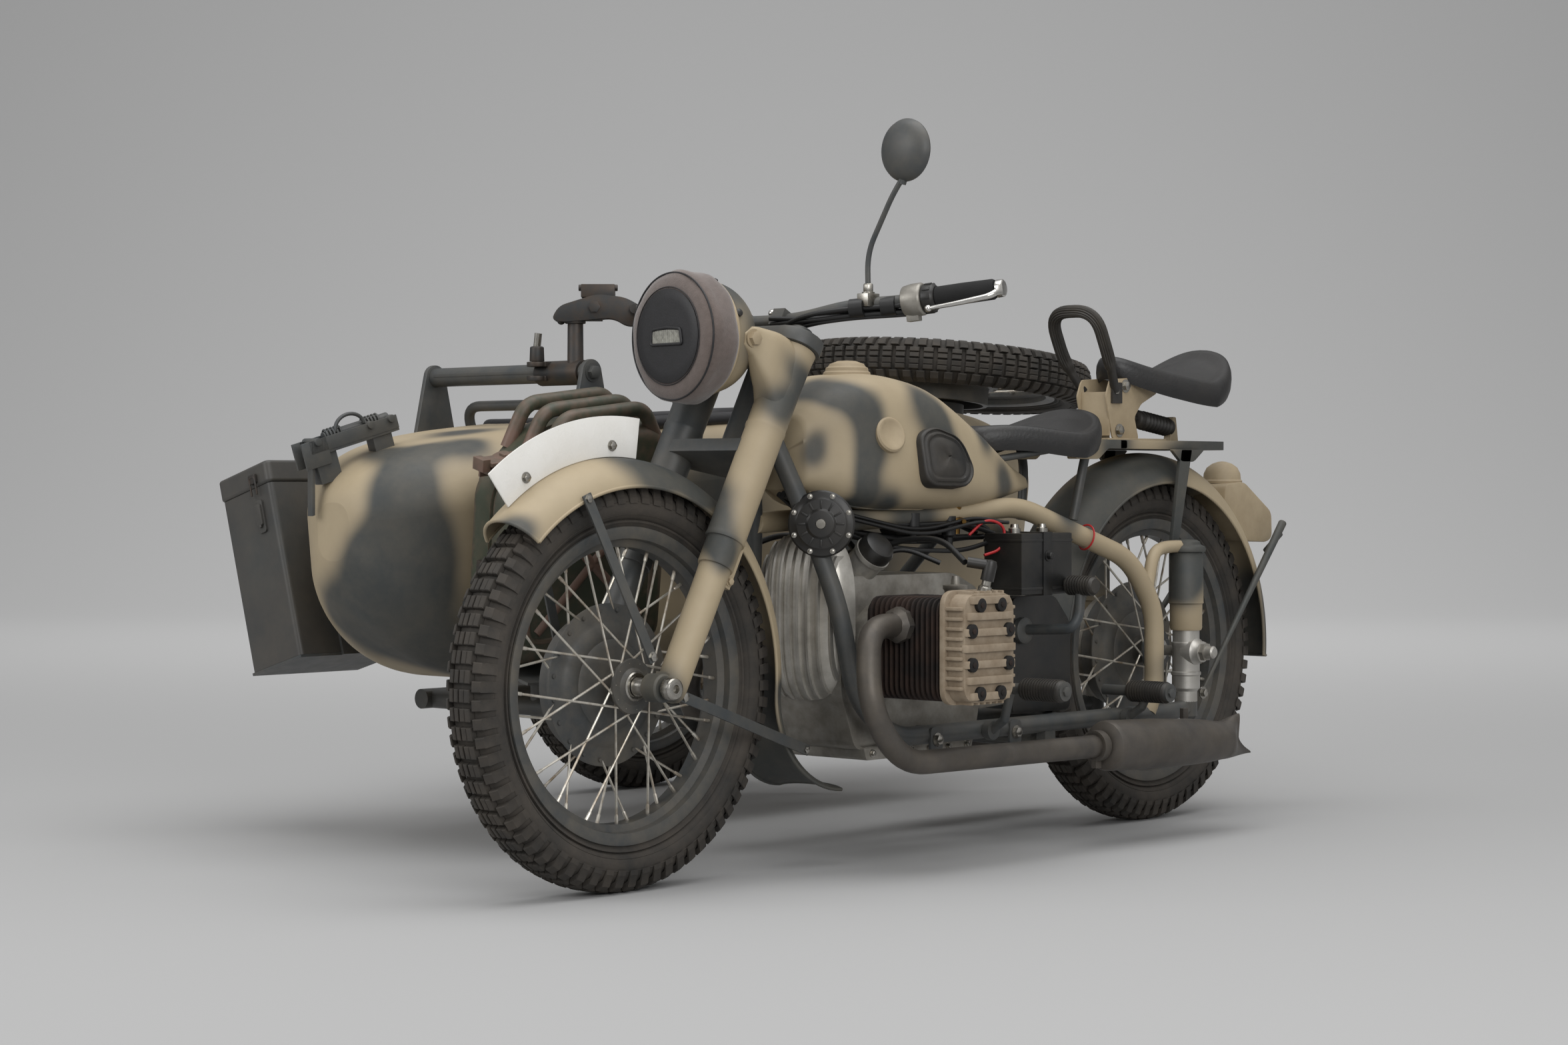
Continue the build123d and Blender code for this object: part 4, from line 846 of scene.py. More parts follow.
@dataclass
class Wheels:
    """Four alike wire wheels with block-tread tyres."""

    tyre_r: float = 333.0
    tyre_half: float = 46.0
    bead_r: float = 241.0
    flange_r: float = 256.0
    rim_half: float = 33.0
    spokes: int = 40
    road_tread: Tread = field(default_factory=lambda: Tread(70, 20.5, ((1.8, 12.0), (13.4, 22.6))))

    def places(self) -> dict[str, tuple[Matrix, str]]:
        """Where the wheels stand and what they ride on.

        Returns:
            Placement and CAD body by wheel.
        """
        def at(p: np.ndarray) -> Matrix:
            """A wheel's place without a turn."""
            return Matrix.Translation(Vector(p / 1000))

        spare = at(SPARE) @ Matrix.Rotation(-SPARE_TILT, 4, "X") @ Matrix.Rotation(-pi / 2, 4, "Y")
        return {"front": (at(FRONT), "front_wheel"), "rear": (at(REAR), "rear_wheel"),
                "sidecar": (at(SIDE), "sidecar_wheel"), "spare": (spare, "chassis")}

    def build(self) -> None:
        """Make the tyres, rims, hubs and spokes."""
        for place, (matrix, body) in self.places().items():
            make(place + "_tyre_rubber", self.tyre(), Paints.TYRE, [place + "_tyre"], body=body, sharp_deg=32,
                 place=matrix)
            make(place + "_rim_and_hub", self.rim_and_hub(), Paints.WHEEL, [place + "_wire_wheel"], body=body,
                 place=matrix)
            make(place + "_spoke_wires", self.wires(), Paints.SPOKE, body=body, place=matrix)
            make(place + "_hub_bearing", self.bearing(), Paints.STEEL, body=body, place=matrix)

    def tyre(self) -> Shape:
        """A tyre's carcass and blocks.

        Returns:
            The shape, about X at the origin.
        """
        base = self.tyre_r - self.road_tread.depth + 1
        side = self.tyre_half - 1.5
        widest_r, wall = 289, 28
        profile = [(28, self.bead_r + 3), (30, self.flange_r + 2), (33, self.flange_r + 6),
                   (35, self.flange_r + 7), (36, self.flange_r + 10)]
        for t in np.linspace(-0.55, 1.0, 16):
            angle = t * pi / 2
            rise = base - widest_r if angle > 0 else wall
            profile.append((side * cos(angle) ** 0.8, widest_r + rise * sin(angle)))
        mirrored = [(-a, r) for a, r in reversed(profile[:-1])]
        shape = Shape().lathe(profile + mirrored, (0, 0, 0), X_DIR, 140)
        for x, r in ((side - 1.2, 296), (side - 4.4, 276)):
            for sign in (1, -1):
                ring = [(sign * x - 1.2, r), (sign * x, r + 1.2), (sign * x + 1.2, r), (sign * x, r - 1.2)]
                shape.lathe(ring, (0, 0, 0), X_DIR, 140, closed=True)
        self.road_tread.build(shape, self.tyre_r, self.tyre_half)
        return shape

    def rim_and_hub(self) -> Shape:
        """The rim, the brake drum and the hub's barrel.

        Returns:
            The shape, about X at the origin, the drum towards -X.
        """
        h, b, f = self.rim_half, self.bead_r, self.flange_r
        rim = [(h, b + 2), (h + 1.4, f - 4), (h + 0.8, f), (h - 2, f + 1), (h - 3.4, f - 3), (h - 4, b + 1),
               (17, b - 2), (13, b - 13), (-13, b - 13), (-17, b - 2), (4 - h, b + 1), (3.4 - h, f - 3),
               (2 - h, f + 1), (-h - 0.8, f), (-h - 1.4, f - 4), (-h, b + 2), (2 - h, b - 4), (-20, b - 6),
               (-14.5, b - 17.5), (14.5, b - 17.5), (20, b - 6), (h - 2, b - 4)]
        shape = Shape().lathe(rim, (0, 0, 0), X_DIR, 128, closed=True)
        barrel = [(50, 18), (50, 25), (47, 27), (44, 30), (43, 44), (41, 45), (38, 45), (36, 43), (34, 30),
                  (30, 26), (12, 25), (4, 28), (0, 44), (-2, 60), (-4, 70), (-6, 74), (-4, 80), (-6, 92),
                  (-10, 100), (-14, 106), (-14, 130), (-15, 132), (-18, 132), (-19.5, 130), (-20, 113),
                  (-24, 112), (-57, 112), (-58, 111), (-58, 102), (-24, 102), (-24, 18)]
        shape.lathe(barrel, (0, 0, 0), X_DIR, 96, closed=True)
        for i in range(20):
            turn = 2 * pi * (i + 0.5) / 20
            at = np.array((-13.5, 122 * cos(turn), 122 * sin(turn)))
            shape.lathe(((0, 0), (0, 4), (2.2, 3.2), (2.8, 0)), at, X_DIR, 10)
        return shape

    def bearing(self) -> Shape:
        """The bright bearing ring on the hub's open side."""
        ring = [(48, 13), (52, 13), (53, 16), (53, 22), (50.5, 24), (48, 24)]
        return Shape().lathe(ring, (0, 0, 0), X_DIR, 40, closed=True)

    def wires(self) -> Shape:
        """The spokes and their nipples.

        Returns:
            The shape, about X at the origin.
        """
        shape = Shape()
        for i in range(self.spokes):
            left = i % 2 == 0
            lean = 1 if (i // 2) % 2 == 0 else -1
            rim_turn = 2 * pi * i / self.spokes
            hub_turn = rim_turn + radians(62 if left else 14) * lean
            hub_r = 39.0 if left else 126.0
            start = np.array((39.5 + 1.5 * lean if left else -17 - 1.5 * lean, hub_r * cos(hub_turn),
                              hub_r * sin(hub_turn)))
            rim_r = self.bead_r - 14
            end = np.array((5.0 if left else -5.0, rim_r * cos(rim_turn), rim_r * sin(rim_turn)))
            ahead = unit(end - start)
            shape.rod(start - 4 * ahead, end, 2.1, 8)
            shape.turned(((0, 2.2), (2, 3.1), (17, 3.1)), end - 20 * ahead, ahead, 8)
            shape.lathe(((-3.4, 0), (-3.4, 3.2), (0, 3.4), (1, 0)), start, X_DIR * (1 if left else -1) * lean,
                        8)
        return shape


def arc_rows(centre: np.ndarray, radius: float, half: float, drop: float, low_deg: float, high_deg: float,
             tail_r: float = 0, tail_deg: float = 0, skin: float = 2.5) -> tuple[list, list]:
    """Rows of points over a domed fender's outside and inside.

    Args:
        centre: the wheel's centre.
        radius: radius over the crown.
        half: half the fender's width.
        drop: how far the edges hang below the crown.
        low_deg: angle where the fender starts behind the wheel, up from level.
        high_deg: angle where it ends ahead.
        tail_r: radius of a tail that flares back, if it has one.
        tail_deg: angle of that tail.
        skin: thickness.

    Returns:
        Rows of the outer skin and rows of the inner skin.
    """
    dome_r = (half**2 + drop**2) / (2 * drop)
    span = math.asin(min(half / dome_r, 1.0)) if drop <= half else pi - math.asin(half / dome_r)
    across = np.linspace(-span, span, 29)
    outer, inner = [], []

    def add_row(base: np.ndarray, out: np.ndarray, flare: float) -> None:
        """One row across; flare opens the section out flat towards a tail's end."""
        deep, wide = 1 - 0.82 * flare, 1 + 0.2 * flare
        for rows, inset in ((outer, 0.0), (inner, skin)):
            rows.append([base + X_DIR * (dome_r * wide - inset) * sin(a)
                         + out * (dome_r * (cos(a) - 1) * deep - inset * cos(a)) for a in across])

    if tail_deg:
        low = radians(low_deg)
        start_out = around(Y_DIR, Z_DIR, low)
        hinge = centre + start_out * (radius + tail_r)
        for t in np.linspace(tail_deg, 0, 18)[:-1]:
            angle = low + radians(t)
            out = around(Y_DIR, Z_DIR, angle)
            add_row(hinge - out * tail_r, out, (t / tail_deg) ** 1.5)
    for degrees in np.linspace(low_deg, high_deg, 80):
        out = around(Y_DIR, Z_DIR, radians(degrees))
        add_row(centre + out * radius, out, 0.0)
    return outer, inner


def fender_shape(centre: np.ndarray, radius: float, half: float, drop: float, low_deg: float, high_deg: float,
                 tail_r: float = 0, tail_deg: float = 0, bead: float = 3.0) -> Shape:
    """A sheet fender with rolled edges.

    Args:
        centre: the wheel's centre.
        radius: radius over the crown.
        half: half its width.
        drop: how far its edges hang.
        low_deg: where it starts behind.
        high_deg: where it ends ahead.
        tail_r: radius of its flared tail.
        tail_deg: angle of that tail.
        bead: radius of the rolled edge.

    Returns:
        The shape.
    """
    outer, inner = arc_rows(centre, radius, half, drop, low_deg, high_deg, tail_r, tail_deg)
    rows = [list(o) + list(reversed(i)) for o, i in zip(outer, inner)]
    shape = Shape().grid(rows, wrap_cols=True, cap=True)
    for end in (0, -1):
        edge = [(np.asarray(o[end]) + np.asarray(i[end])) / 2 for o, i in zip(outer, inner)]
        shape.tube(edge, bead, segments=10)
    for end in (0, -1):
        edge = [(np.asarray(o) + np.asarray(i)) / 2 for o, i in zip(outer[end], inner[end])]
        shape.tube(edge, bead, segments=10)
    return shape


def patch_list(*rows: tuple[float, float, float, float]) -> tuple[Patch, ...]:
    """Sprayed patches from a short table."""
    return tuple(Patch(*r) for r in rows)


@dataclass
class Steering:
    """Everything that turns with the fork."""

    body: str = "steering"
    leg_x: float = 95.0
    leg_lead: float = 43.0
    lamp_y: float = -580.0
    lamp_z: float = 900.0
    fender_r: float = 367.0
    fender_half: float = 61.0
    fender_drop: float = 46.0
    lamp_back: np.ndarray = field(default_factory=lambda: unit((0.1, 1.0, 0.0)))
    lamp_left: np.ndarray = field(default_factory=lambda: unit((1.0, -0.1, 0.0)))

    def build(self) -> None:
        """Make the fork, lamp, bars and front fender."""
        self.legs()
        self.axle()
        self.lamp()
        self.hood()
        self.bars()
        self.hand_controls()
        self.mirror()
        self.knob()
        self.fender()
        self.plate()

    def legs(self) -> None:
        """Two telescopic legs in sheet covers, each with an ear for the lamp."""
        left_patches = patch_list((70, -560, 640, 40), (84, -590, 578, 40), (130, -590, 545, 26),
                                  (122, -450, 775, 34), (70, -440, 850, 34), (120, -410, 830, 30),
                                  (100, -715, 333, 44))
        for side, name in ((1, "left"), (-1, "right")):
            shape = Shape()
            foot = fork_point(side * self.leg_x, -self.leg_lead, 0)
            profile = [(-688, 0), (-688, 14), (-684, 21), (-676, 25), (-664, 26), (-470, 26.5), (-452, 27),
                       (-451, 29.5), (-449, 30.2), (-407, 30.2), (-405, 31), (-404, 33.4), (-400, 34.2),
                       (-396, 33.4), (-392, 33), (-204, 33.4), (-199, 34.6), (-195, 34.6), (-192, 33.6),
                       (-110, 34), (-60, 36), (-47, 37.5), (-45.5, 36), (-45.5, 0)]
            shape.lathe(profile, foot, STEER_Z, 48)
            self.ear(shape, side)
            shape.turned(((80, 20), (83, 23), (112, 23), (115, 20)), FRONT, X_DIR * side, 36)
            clamp = fork_point(side * self.leg_x, -self.leg_lead - 24, -668)
            shape.block(clamp, (22, 16, 30), FORK_AXES)
            tab = fork_point(side * (self.leg_x + 6), 0, 0)
            shape.block(tab - STEER_Y * 14 - STEER_Z * 432, (12, 14, 84), FORK_AXES)
            paint = Paints.CAMO if side > 0 else Paints.GREY
            make("fork_cover_" + name, shape, paint, ["fork_leg_" + name], body=self.body,
                 patches=left_patches if side > 0 else ())
            bolts = Shape()
            bolts.bolt((side * (self.leg_x + 10), -499, 896), X_DIR * side, 12, 8, 16)
            bolts.bolt(fork_point(side * (self.leg_x + 12), -14, -462), X_DIR * side, 6, 5, 8)
            make("fork_bolts_" + name, bolts, Paints.SAND if side > 0 else Paints.GREY, body=self.body,
                 slot="sand_paint")

    def ear(self, shape: Shape, side: int) -> None:
        """The sheet ear that carries the lamp, from the leg's top to its bolt.

        Args:
            shape: where to add it.
            side: +1 for the left leg, -1 for the right.
        """
        top = np.array(((-384.0, 886.0), (-440.0, 908.0), (-490.0, 917.0), (-514.0, 906.0)))
        low = np.array(((-462.0, 745.0), (-472.0, 815.0), (-496.0, 866.0), (-516.0, 886.0)))
        halves = (33.0, 25.0, 13.0, 7.0)
        rows = []
        for t in np.linspace(0, 1, 14):
            k = t * 3
            i = min(int(k), 2)
            mix = k - i
            smooth = mix * mix * (3 - 2 * mix)
            a = top[i] * (1 - mix) + top[i + 1] * mix
            b = low[i] * (1 - mix) + low[i + 1] * mix
            half = halves[i] * (1 - smooth) + halves[i + 1] * smooth
            middle, reach = (a + b) / 2, (a - b) / 2
            ring = []
            for turn in full_turn(24):
                c, s = cos(turn), sin(turn)
                swell = math.copysign(abs(c) ** 0.55, c), math.copysign(abs(s) ** 0.55, s)
                yz = middle + reach * swell[1]
                ring.append((side * self.leg_x + half * swell[0], yz[0], yz[1]))
            rows.append(ring)
        shape.grid(rows, wrap_cols=True, cap=True)

    def axle(self) -> None:
        """The bright axle, its nut and the cross-drilled end."""
        shape = Shape()
        shape.rod(FRONT - 130 * X_DIR, FRONT + 124 * X_DIR, 9.5, 24)
        end = [(121, 0), (121, 17), (124, 18), (137, 18), (140, 16), (141, 12), (141, 7), (134, 6), (134, 0)]
        shape.lathe(end, FRONT, X_DIR, 30)
        shape.turned(((121, 17), (132, 17)), FRONT, -X_DIR, 6)
        shape.turned(((54, 16), (66, 14), (74, 13)), FRONT, X_DIR, 24)
        make("front_axle_steel", shape, Paints.STEEL, body=self.body, bevel=0.4)
        plate = Shape()
        rings = [(-61, 0), (-61, 40), (-60, 60), (-61.5, 64), (-61.5, 90), (-60, 94), (-56, 97), (-54, 97),
                 (-54, 0)]
        plate.lathe(rings, FRONT, X_DIR, 64)
        make("front_brake_plate_paint", plate, Paints.WHEEL, ["front_axle"], body=self.body)

    def lamp(self) -> None:
        """The lamp's shell behind its cover."""
        at, back, left = np.array((0, self.lamp_y, self.lamp_z)), self.lamp_back, self.lamp_left
        shell = [(52, 0), (52, 93), (56, 97.5), (60, 98.5), (63, 97), (66, 94.5)]
        shell += [(66 + 80 * sin(t), 94 * cos(t)) for t in np.linspace(0.02, pi / 2, 16)]
        shape = Shape().lathe(shell, at, back, 64)
        make("headlamp_shell", shape, Paints.CAMO, ["headlamp"], body=self.body,
             patches=patch_list((40, -520, 985, 60), (60, -470, 880, 50)))
        rim = Shape().lathe(((48, 92), (48, 99), (52, 101), (58, 101), (61, 98), (61, 92)), at, back, 64,
                            closed=True)
        make("headlamp_rim", rim, Paints.SAND, body=self.body)
        trim = Shape()
        for turn in (0.4, 1.3, 1.9, 2.7):
            out = around(left, Z_DIR, turn)
            trim.lathe(((-2, 0), (-2, 7), (3, 6.4), (4.5, 3), (5, 0)), at + back * 66 + 96 * out, out, 14)
        make("headlamp_buttons", trim, Paints.PLASTIC, body=self.body)

    def hood(self) -> None:
        """A felt blackout cover with a leather face and a slot of ribbed glass."""
        at, back, left = np.array((0, self.lamp_y, self.lamp_z)), self.lamp_back, self.lamp_left
        profile = [(-11, 0), (-11, 40), (-10.5, 80), (-8, 94), (-2, 103), (7, 107.5), (16, 108), (22, 107),
                   (34, 107.5), (46, 106), (53, 103), (55, 100), (52, 97)]
        rows = []
        for along, radius in profile:
            ring = []
            for turn in full_turn(96):
                slack = 1.5 * sin(5 * turn + 0.06 * along)
                slack += 1.1 * sin(9 * turn + 1.3 - 0.1 * along)
                sag = 3.0 * math.exp(-((turn - 4.6) ** 2) / 0.25)
                swell = radius + (slack + sag) * min(max((radius - 85) / 20, 0), 1)
                ring.append(at + along * back + swell * around(left, Z_DIR, turn))
            rows.append(ring)
        shape = Shape().grid(rows, wrap_cols=True)
        piece = make("headlamp_felt_cover", shape, Paints.FELT, ["headlamp_hood"], body=self.body,
                     sharp_deg=70)
        seam = Shape()
        for radius, along, thick in ((104.6, -1.5, 1.6), (80.5, -11.8, 0.9)):
            ring = [at + along * back + radius * around(left, Z_DIR, t)
                    for t in np.linspace(0, 2 * pi, 97)]
            seam.tube(ring, thick, segments=8)
        make("headlamp_cover_seams", seam, Paints.LEATHER, body=self.body, slot="felt")
        face = Shape().lathe(((-10, 0), (-10, 77), (-12.2, 78), (-13.4, 76), (-14, 60), (-14.2, 0)), at, back,
                             72)
        make("headlamp_leather_face", face, Paints.LEATHER, body=self.body, sharp_deg=60)
        frame_line = rounded_outline(((-40, -12), (40, -12), (36, 13), (0, 16), (-36, 13)), 5)
        loop = [at - 15.2 * back + left * u + Z_DIR * (v - 2)
                for u, v in np.vstack((frame_line, frame_line[:1]))]
        lip = Shape().tube(loop, 2.6, segments=10)
        make("headlamp_slot_lip", lip, Paints.LEATHER, body=self.body, sharp_deg=60)
        glass = Shape()
        for i in range(27):
            x = -34.4 + 2.65 * i
            top = 12.0 - 0.002 * x * x
            glass.turned(((-10, 1.2), (top, 1.2)), at - 14.4 * back + left * x - Z_DIR * 2, Z_DIR, 8)
        make("headlamp_slot_glass", glass, Paints.GLASS, body=self.body, sharp_deg=60)

    def bar_route(self) -> list[np.ndarray]:
        """The handlebar's corners from left end to right end.

        Returns:
            The corners.
        """
        middle = fork_point(0, -45, 12)
        half = [(405, -240, 976), (254, -288, 960), (180, -340, 954), (70, middle[1], middle[2])]
        return [np.array(p, float) for p in half] + [np.array((-x, y, z), float)
                                                     for x, y, z in reversed(half)]

    def bars(self) -> None:
        """The handlebar, its clamps, and the cables taped along it."""
        route = self.bar_route()
        shape = Shape().tube(route, 11, 45, 20)
        for x in (-45, 45):
            base = fork_point(x, -45, -21)
            shape.turned(((0, 15), (22, 15)), base, STEER_Z, 24)
            shape.block(fork_point(x, -45, 12), (26, 34, 30), FORK_AXES)
        make("handlebar_tube", shape, Paints.GREY, ["handlebar"], body=self.body)
        cables = Shape()
        for side in (1, -1):
            for k, (low, out) in enumerate(((16, 8), (19, -4), (9, -15), (24, 3))):
                path = [fork_point(side * 40, -70 + 8 * k, 2 - 6 * k)]
                path += [np.array((side * x, y + out * 0.6, z - low + 0.4 * k)) for x, y, z in
                         ((120, -372, 948), (180, -342, 956), (254, -290, 961), (300, -272, 966))]
                cables.tube(path, 4.2, 30, 10)
            for x, y, z in ((190, -338, 955), (232, -306, 958), (274, -284, 962)):
                cables.lathe(((-12, 8), (-12, 16), (12, 16), (12, 8)), (side * x, y, z - 6),
                             unit((side * 0.9, 0.4, 0.08)), 20, closed=True)
        make("taped_bar_cables", cables, Paints.BLACK_WIRE, body=self.body)
        yokes = Shape()
        for level, hole in ((-251, 30), (-45, 44)):
            outline = []
            for x, y, r, lo, hi in ((self.leg_x, -self.leg_lead, hole, -100, 80), (0, 0, 38, 40, 140),
                                    (-self.leg_x, -self.leg_lead, hole, 100, 280)):
                for degrees in np.linspace(lo, hi, 12):
                    outline.append((x + r * cos(radians(degrees)), y + r * sin(radians(degrees))))
            yokes.slab(np.array(outline), fork_point(0, 0, level), X_DIR, STEER_Y, 24)
        yokes.rod(fork_point(0, 0, -240), fork_point(0, 0, -12), 14, 24)
        make("fork_yoke_castings", yokes, Paints.GREY, ["fork_yokes"], body=self.body, bevel=2)
        caps = Shape()
        for side in (1, -1):
            caps.lathe(((0, 0), (0, 24), (4, 24), (6, 20), (14, 19), (16, 0)),
                       fork_point(side * self.leg_x, -self.leg_lead, -21), STEER_Z, 30)
        make("fork_top_caps", caps, Paints.GREY, body=self.body)

    def hand_controls(self) -> None:
        """Foam grips, switch housings and inverted levers."""
        route = self.bar_route()
        foam, rings, grey, bright = Shape(), Shape(), Shape(), Shape()
        for end, inner in ((route[0], route[1]), (route[-1], route[-2])):
            out = unit(end - inner)
            start = end - out * 106
            foam.turned(((0, 15), (3, 17.4), (50, 17.8), (101, 17.2), (105, 15)), start, out, 32)
            rings.turned(((-20, 23), (-16, 24), (-3, 23.5), (0, 21), (2, 19)), start, out, 32)
            u, v, _ = basis(out)
            for turn in full_turn(10):
                arm = around(u, v, turn)
                rings.block(start - 9.5 * out + 23.5 * arm, (13, 6, 3), (out, np.cross(out, arm), arm))
            grey.turned(((-58, 19), (-55, 25), (-40, 27.5), (-24, 27.5), (-20.5, 25)), start, out, 32)
            grey.block(start - 40 * out - Z_DIR * 22, (22, 26, 16), basis(out)[::-1])
            bright.turned(((0.5, 13), (3, 15), (13, 14.5), (15, 12)), end, out, 24)
            pivot = end + 8 * out
            aside = np.array((0.0, -34.0, -20.0))
            aside = aside - out * float(aside @ out)
            knee = pivot + aside * 0.62
            blade = [pivot, knee - 10 * out, knee + aside * 0.32 - 66 * out, knee + aside * 0.46 - 116 * out]
            bright.tube(blade, 6.2, 30, 14, 3.6)
            tip = blade[-1]
            bright.lathe(ball(6), tip, out, 16)
            bright.block(pivot + aside * 0.2 + 3 * out, (12, 16, 18), basis(out)[::-1])
        make("grip_foam", foam, Paints.FOAM, ["grips"], body=self.body)
        make("grip_collars", rings, Paints.PLASTIC, body=self.body, bevel=0.6)
        make("switch_housings", grey, Paints.ALLOY, body=self.body, bevel=1.2)
        make("lever_blades", bright, Paints.POLISHED, ["levers"], body=self.body, bevel=0.8)

    def mirror(self) -> None:
        """A round mirror on a bent stalk at the left."""
        at = np.array((288.0, -330.0, 1204.0))
        facing = unit((-0.02, -1.0, 0.0))
        back = Shape()
        dome = [(20 * sin(t), 51 * cos(t)) for t in np.linspace(0.0, pi / 2, 12)]
        back.lathe([(-4, 0), (-4, 48), (-3, 51.4), (0, 52)] + dome[1:], at, facing, 48)
        make("mirror_back", back, Paints.GREY, ["mirror"], body=self.body, slot="black_plastic")
        stalk = Shape().tube([(205, -328, 968), (205, -330, 1040), (262, -334, 1130), (284, -332, 1160)], 4.6,
                             30, 14)
        stalk.turned(((-14, 6), (14, 6)), (286, -330, 1162), (0.35, 0, 0.94), 14)
        make("mirror_stalk", stalk, Paints.GREY, body=self.body, slot="black_plastic")
        clamp = Shape().block((205, -328, 962), (24, 30, 22)).bolt((205, -328, 974), Z_DIR, 9, 14, 11)
        make("mirror_clamp", clamp, Paints.STEEL, body=self.body, bevel=1.5)

    def knob(self) -> None:
        """The steering damper's bright winged knob."""
        base = fork_point(0, 0, 4)
        shape = Shape().turned(((-12, 15), (4, 15), (8, 8), (26, 6.5), (33, 8)), base, STEER_Z, 24)
        hub = base + 30 * STEER_Z
        for degrees in (18, 138, 258):
            turn = radians(degrees)
            out = around(X_DIR, STEER_Y, turn)
            shape.tube([hub, hub + 22 * out + 5 * STEER_Z], 5.4, 0, 14, 4.4)
            shape.lathe(ball(7.4),
                        hub + 27 * out + 6 * STEER_Z, STEER_Z, 16)
        make("damper_wing_knob", shape, Paints.POLISHED, ["damper_knob"], body=self.body, sharp_deg=55)

    def fender(self) -> None:
        """The front fender with its flat stays."""
        shape = fender_shape(FRONT, self.fender_r, self.fender_half, self.fender_drop, -5, 133, 152, 78)
        patches = patch_list((20, -990, 572, 36), (40, -958, 590, 26), (10, -690, 700, 56),
                             (50, -650, 672, 36), (45, -560, 655, 44), (0, -560, 680, 60),
                             (30, -450, 600, 40), (0, -330, 210, 90), (0, -260, 150, 90),
                             (-50, -350, 330, 70), (40, -372, 300, 26))
        make("front_fender_sheet", shape, Paints.CAMO, ["front_fender"], body=self.body, sharp_deg=50,
             patches=patches)
        stays, bolts = Shape(), Shape()
        for side in (1, -1):
            x = side * 66.0
            for degrees, reach in ((-18, 412.0), (112, 332.0)):
                turn = radians(degrees)
                out = around(Y_DIR, Z_DIR, turn)
                foot = FRONT + side * 108 * X_DIR + out * 46
                head = FRONT + x * X_DIR + out * reach
                along = unit(head - foot)
                stays.block((foot + head) / 2, (4, np.linalg.norm(head - foot), 18),
                            (np.cross(along, np.cross(X_DIR, out)), along, np.cross(X_DIR, out)))
                bolts.bolt(head - along * 8, X_DIR * side, 6, 4, 8)
                bolts.bolt(foot + along * 8, X_DIR * side, 7, 5, 9)
        make("front_fender_stays", stays, Paints.GREY, body=self.body, bevel=0.6)
        make("front_fender_stay_bolts", bolts, Paints.STEEL, body=self.body)

    def plate(self) -> None:
        """The blank curved plate along the fender's crown."""
        low, high, first, last = self.fender_r + 1, 434.0, 82.5, 128.5
        turns = np.radians(np.linspace(first, last, 28))
        outline = [(low * cos(t), low * sin(t)) for t in turns]
        outline += [(high * cos(t), high * sin(t)) for t in reversed(turns)]
        shape = Shape().slab(np.array(outline), FRONT - 1.5 * X_DIR, Y_DIR, Z_DIR, 3)
        make("front_plate_enamel", shape, Paints.ENAMEL, ["front_plate"], body=self.body, bevel=0.8)
        bolts = Shape()
        for degrees in (91, 120):
            turn = radians(degrees)
            spot = FRONT + np.array((1.5, 386 * cos(turn), 386 * sin(turn)))
            bolts.bolt(spot, X_DIR, 6.5, 5, 9)
        make("front_plate_bolts", bolts, Paints.STEEL, body=self.body)


def loft_rows(table: Sequence[Sequence[float]], middle_x: float, steps: int, around_count: int,
              closed_ends: bool = True) -> list[np.ndarray]:
    """Rings of a smooth body through a few upright sections.

    Args:
        table: rows of y, half width high up, half width low down, lowest z, highest z and corner radius.
        middle_x: the body's middle across.
        steps: rings between two sections.
        around_count: points in each ring.
        closed_ends: draw the first and last ring in to a point.

    Returns:
        The rings, from the first section to the last.
    """
    knots = np.array(table, float)
    places = np.concatenate(([0.0], np.cumsum(np.linalg.norm(np.diff(knots[:, [0, 1, 4]], axis=0), axis=1))))
    slopes = np.gradient(knots, places, axis=0)
    rings = []
    for i in range(len(knots) - 1):
        span = places[i + 1] - places[i]
        last = i == len(knots) - 2
        for t in np.linspace(0, 1, steps + 1)[:steps + (1 if last else 0)]:
            a, b = 2 * t ** 3 - 3 * t ** 2 + 1, t ** 3 - 2 * t ** 2 + t
            c, d = -2 * t ** 3 + 3 * t ** 2, t ** 3 - t ** 2
            y, high, low, z0, z1, r = (a * knots[i] + b * span * slopes[i] + c * knots[i + 1]
                                       + d * span * slopes[i + 1])
            rings.append(section_ring(middle_x, y, high, low, z0, z1, r, around_count))
    if closed_ends:
        rings.insert(0, [np.mean(rings[0], axis=0)] * around_count)
        rings.append([np.mean(rings[-1], axis=0)] * around_count)
    return rings


def section_ring(x: float, y: float, high: float, low: float, z0: float, z1: float, r: float,
                 count: int) -> np.ndarray:
    """One upright section: a trapezium with round corners, evenly spaced by turn.

    Args:
        x: the middle across.
        y: where it stands.
        high: half width at the top.
        low: half width at the bottom.
        z0: lowest z.
        z1: highest z.
        r: corner radius.
        count: how many points.

    Returns:
        The points, starting at the left.
    """
    r = min(r, 0.49 * (z1 - z0), 0.98 * min(high, low))
    outline = rounded_outline(((high, z1), (-high, z1), (-low, z0), (low, z0)), r, 10)
    spokes = outline - np.array((0.0, (z0 + z1) / 2))
    turns = np.arctan2(spokes[:, 1], spokes[:, 0])
    wanted = full_turn(count)
    px, pz = (np.interp(wanted, turns, outline[:, k], period=2 * pi) for k in (0, 1))
    return np.column_stack((x + px, np.full(count, y), pz))


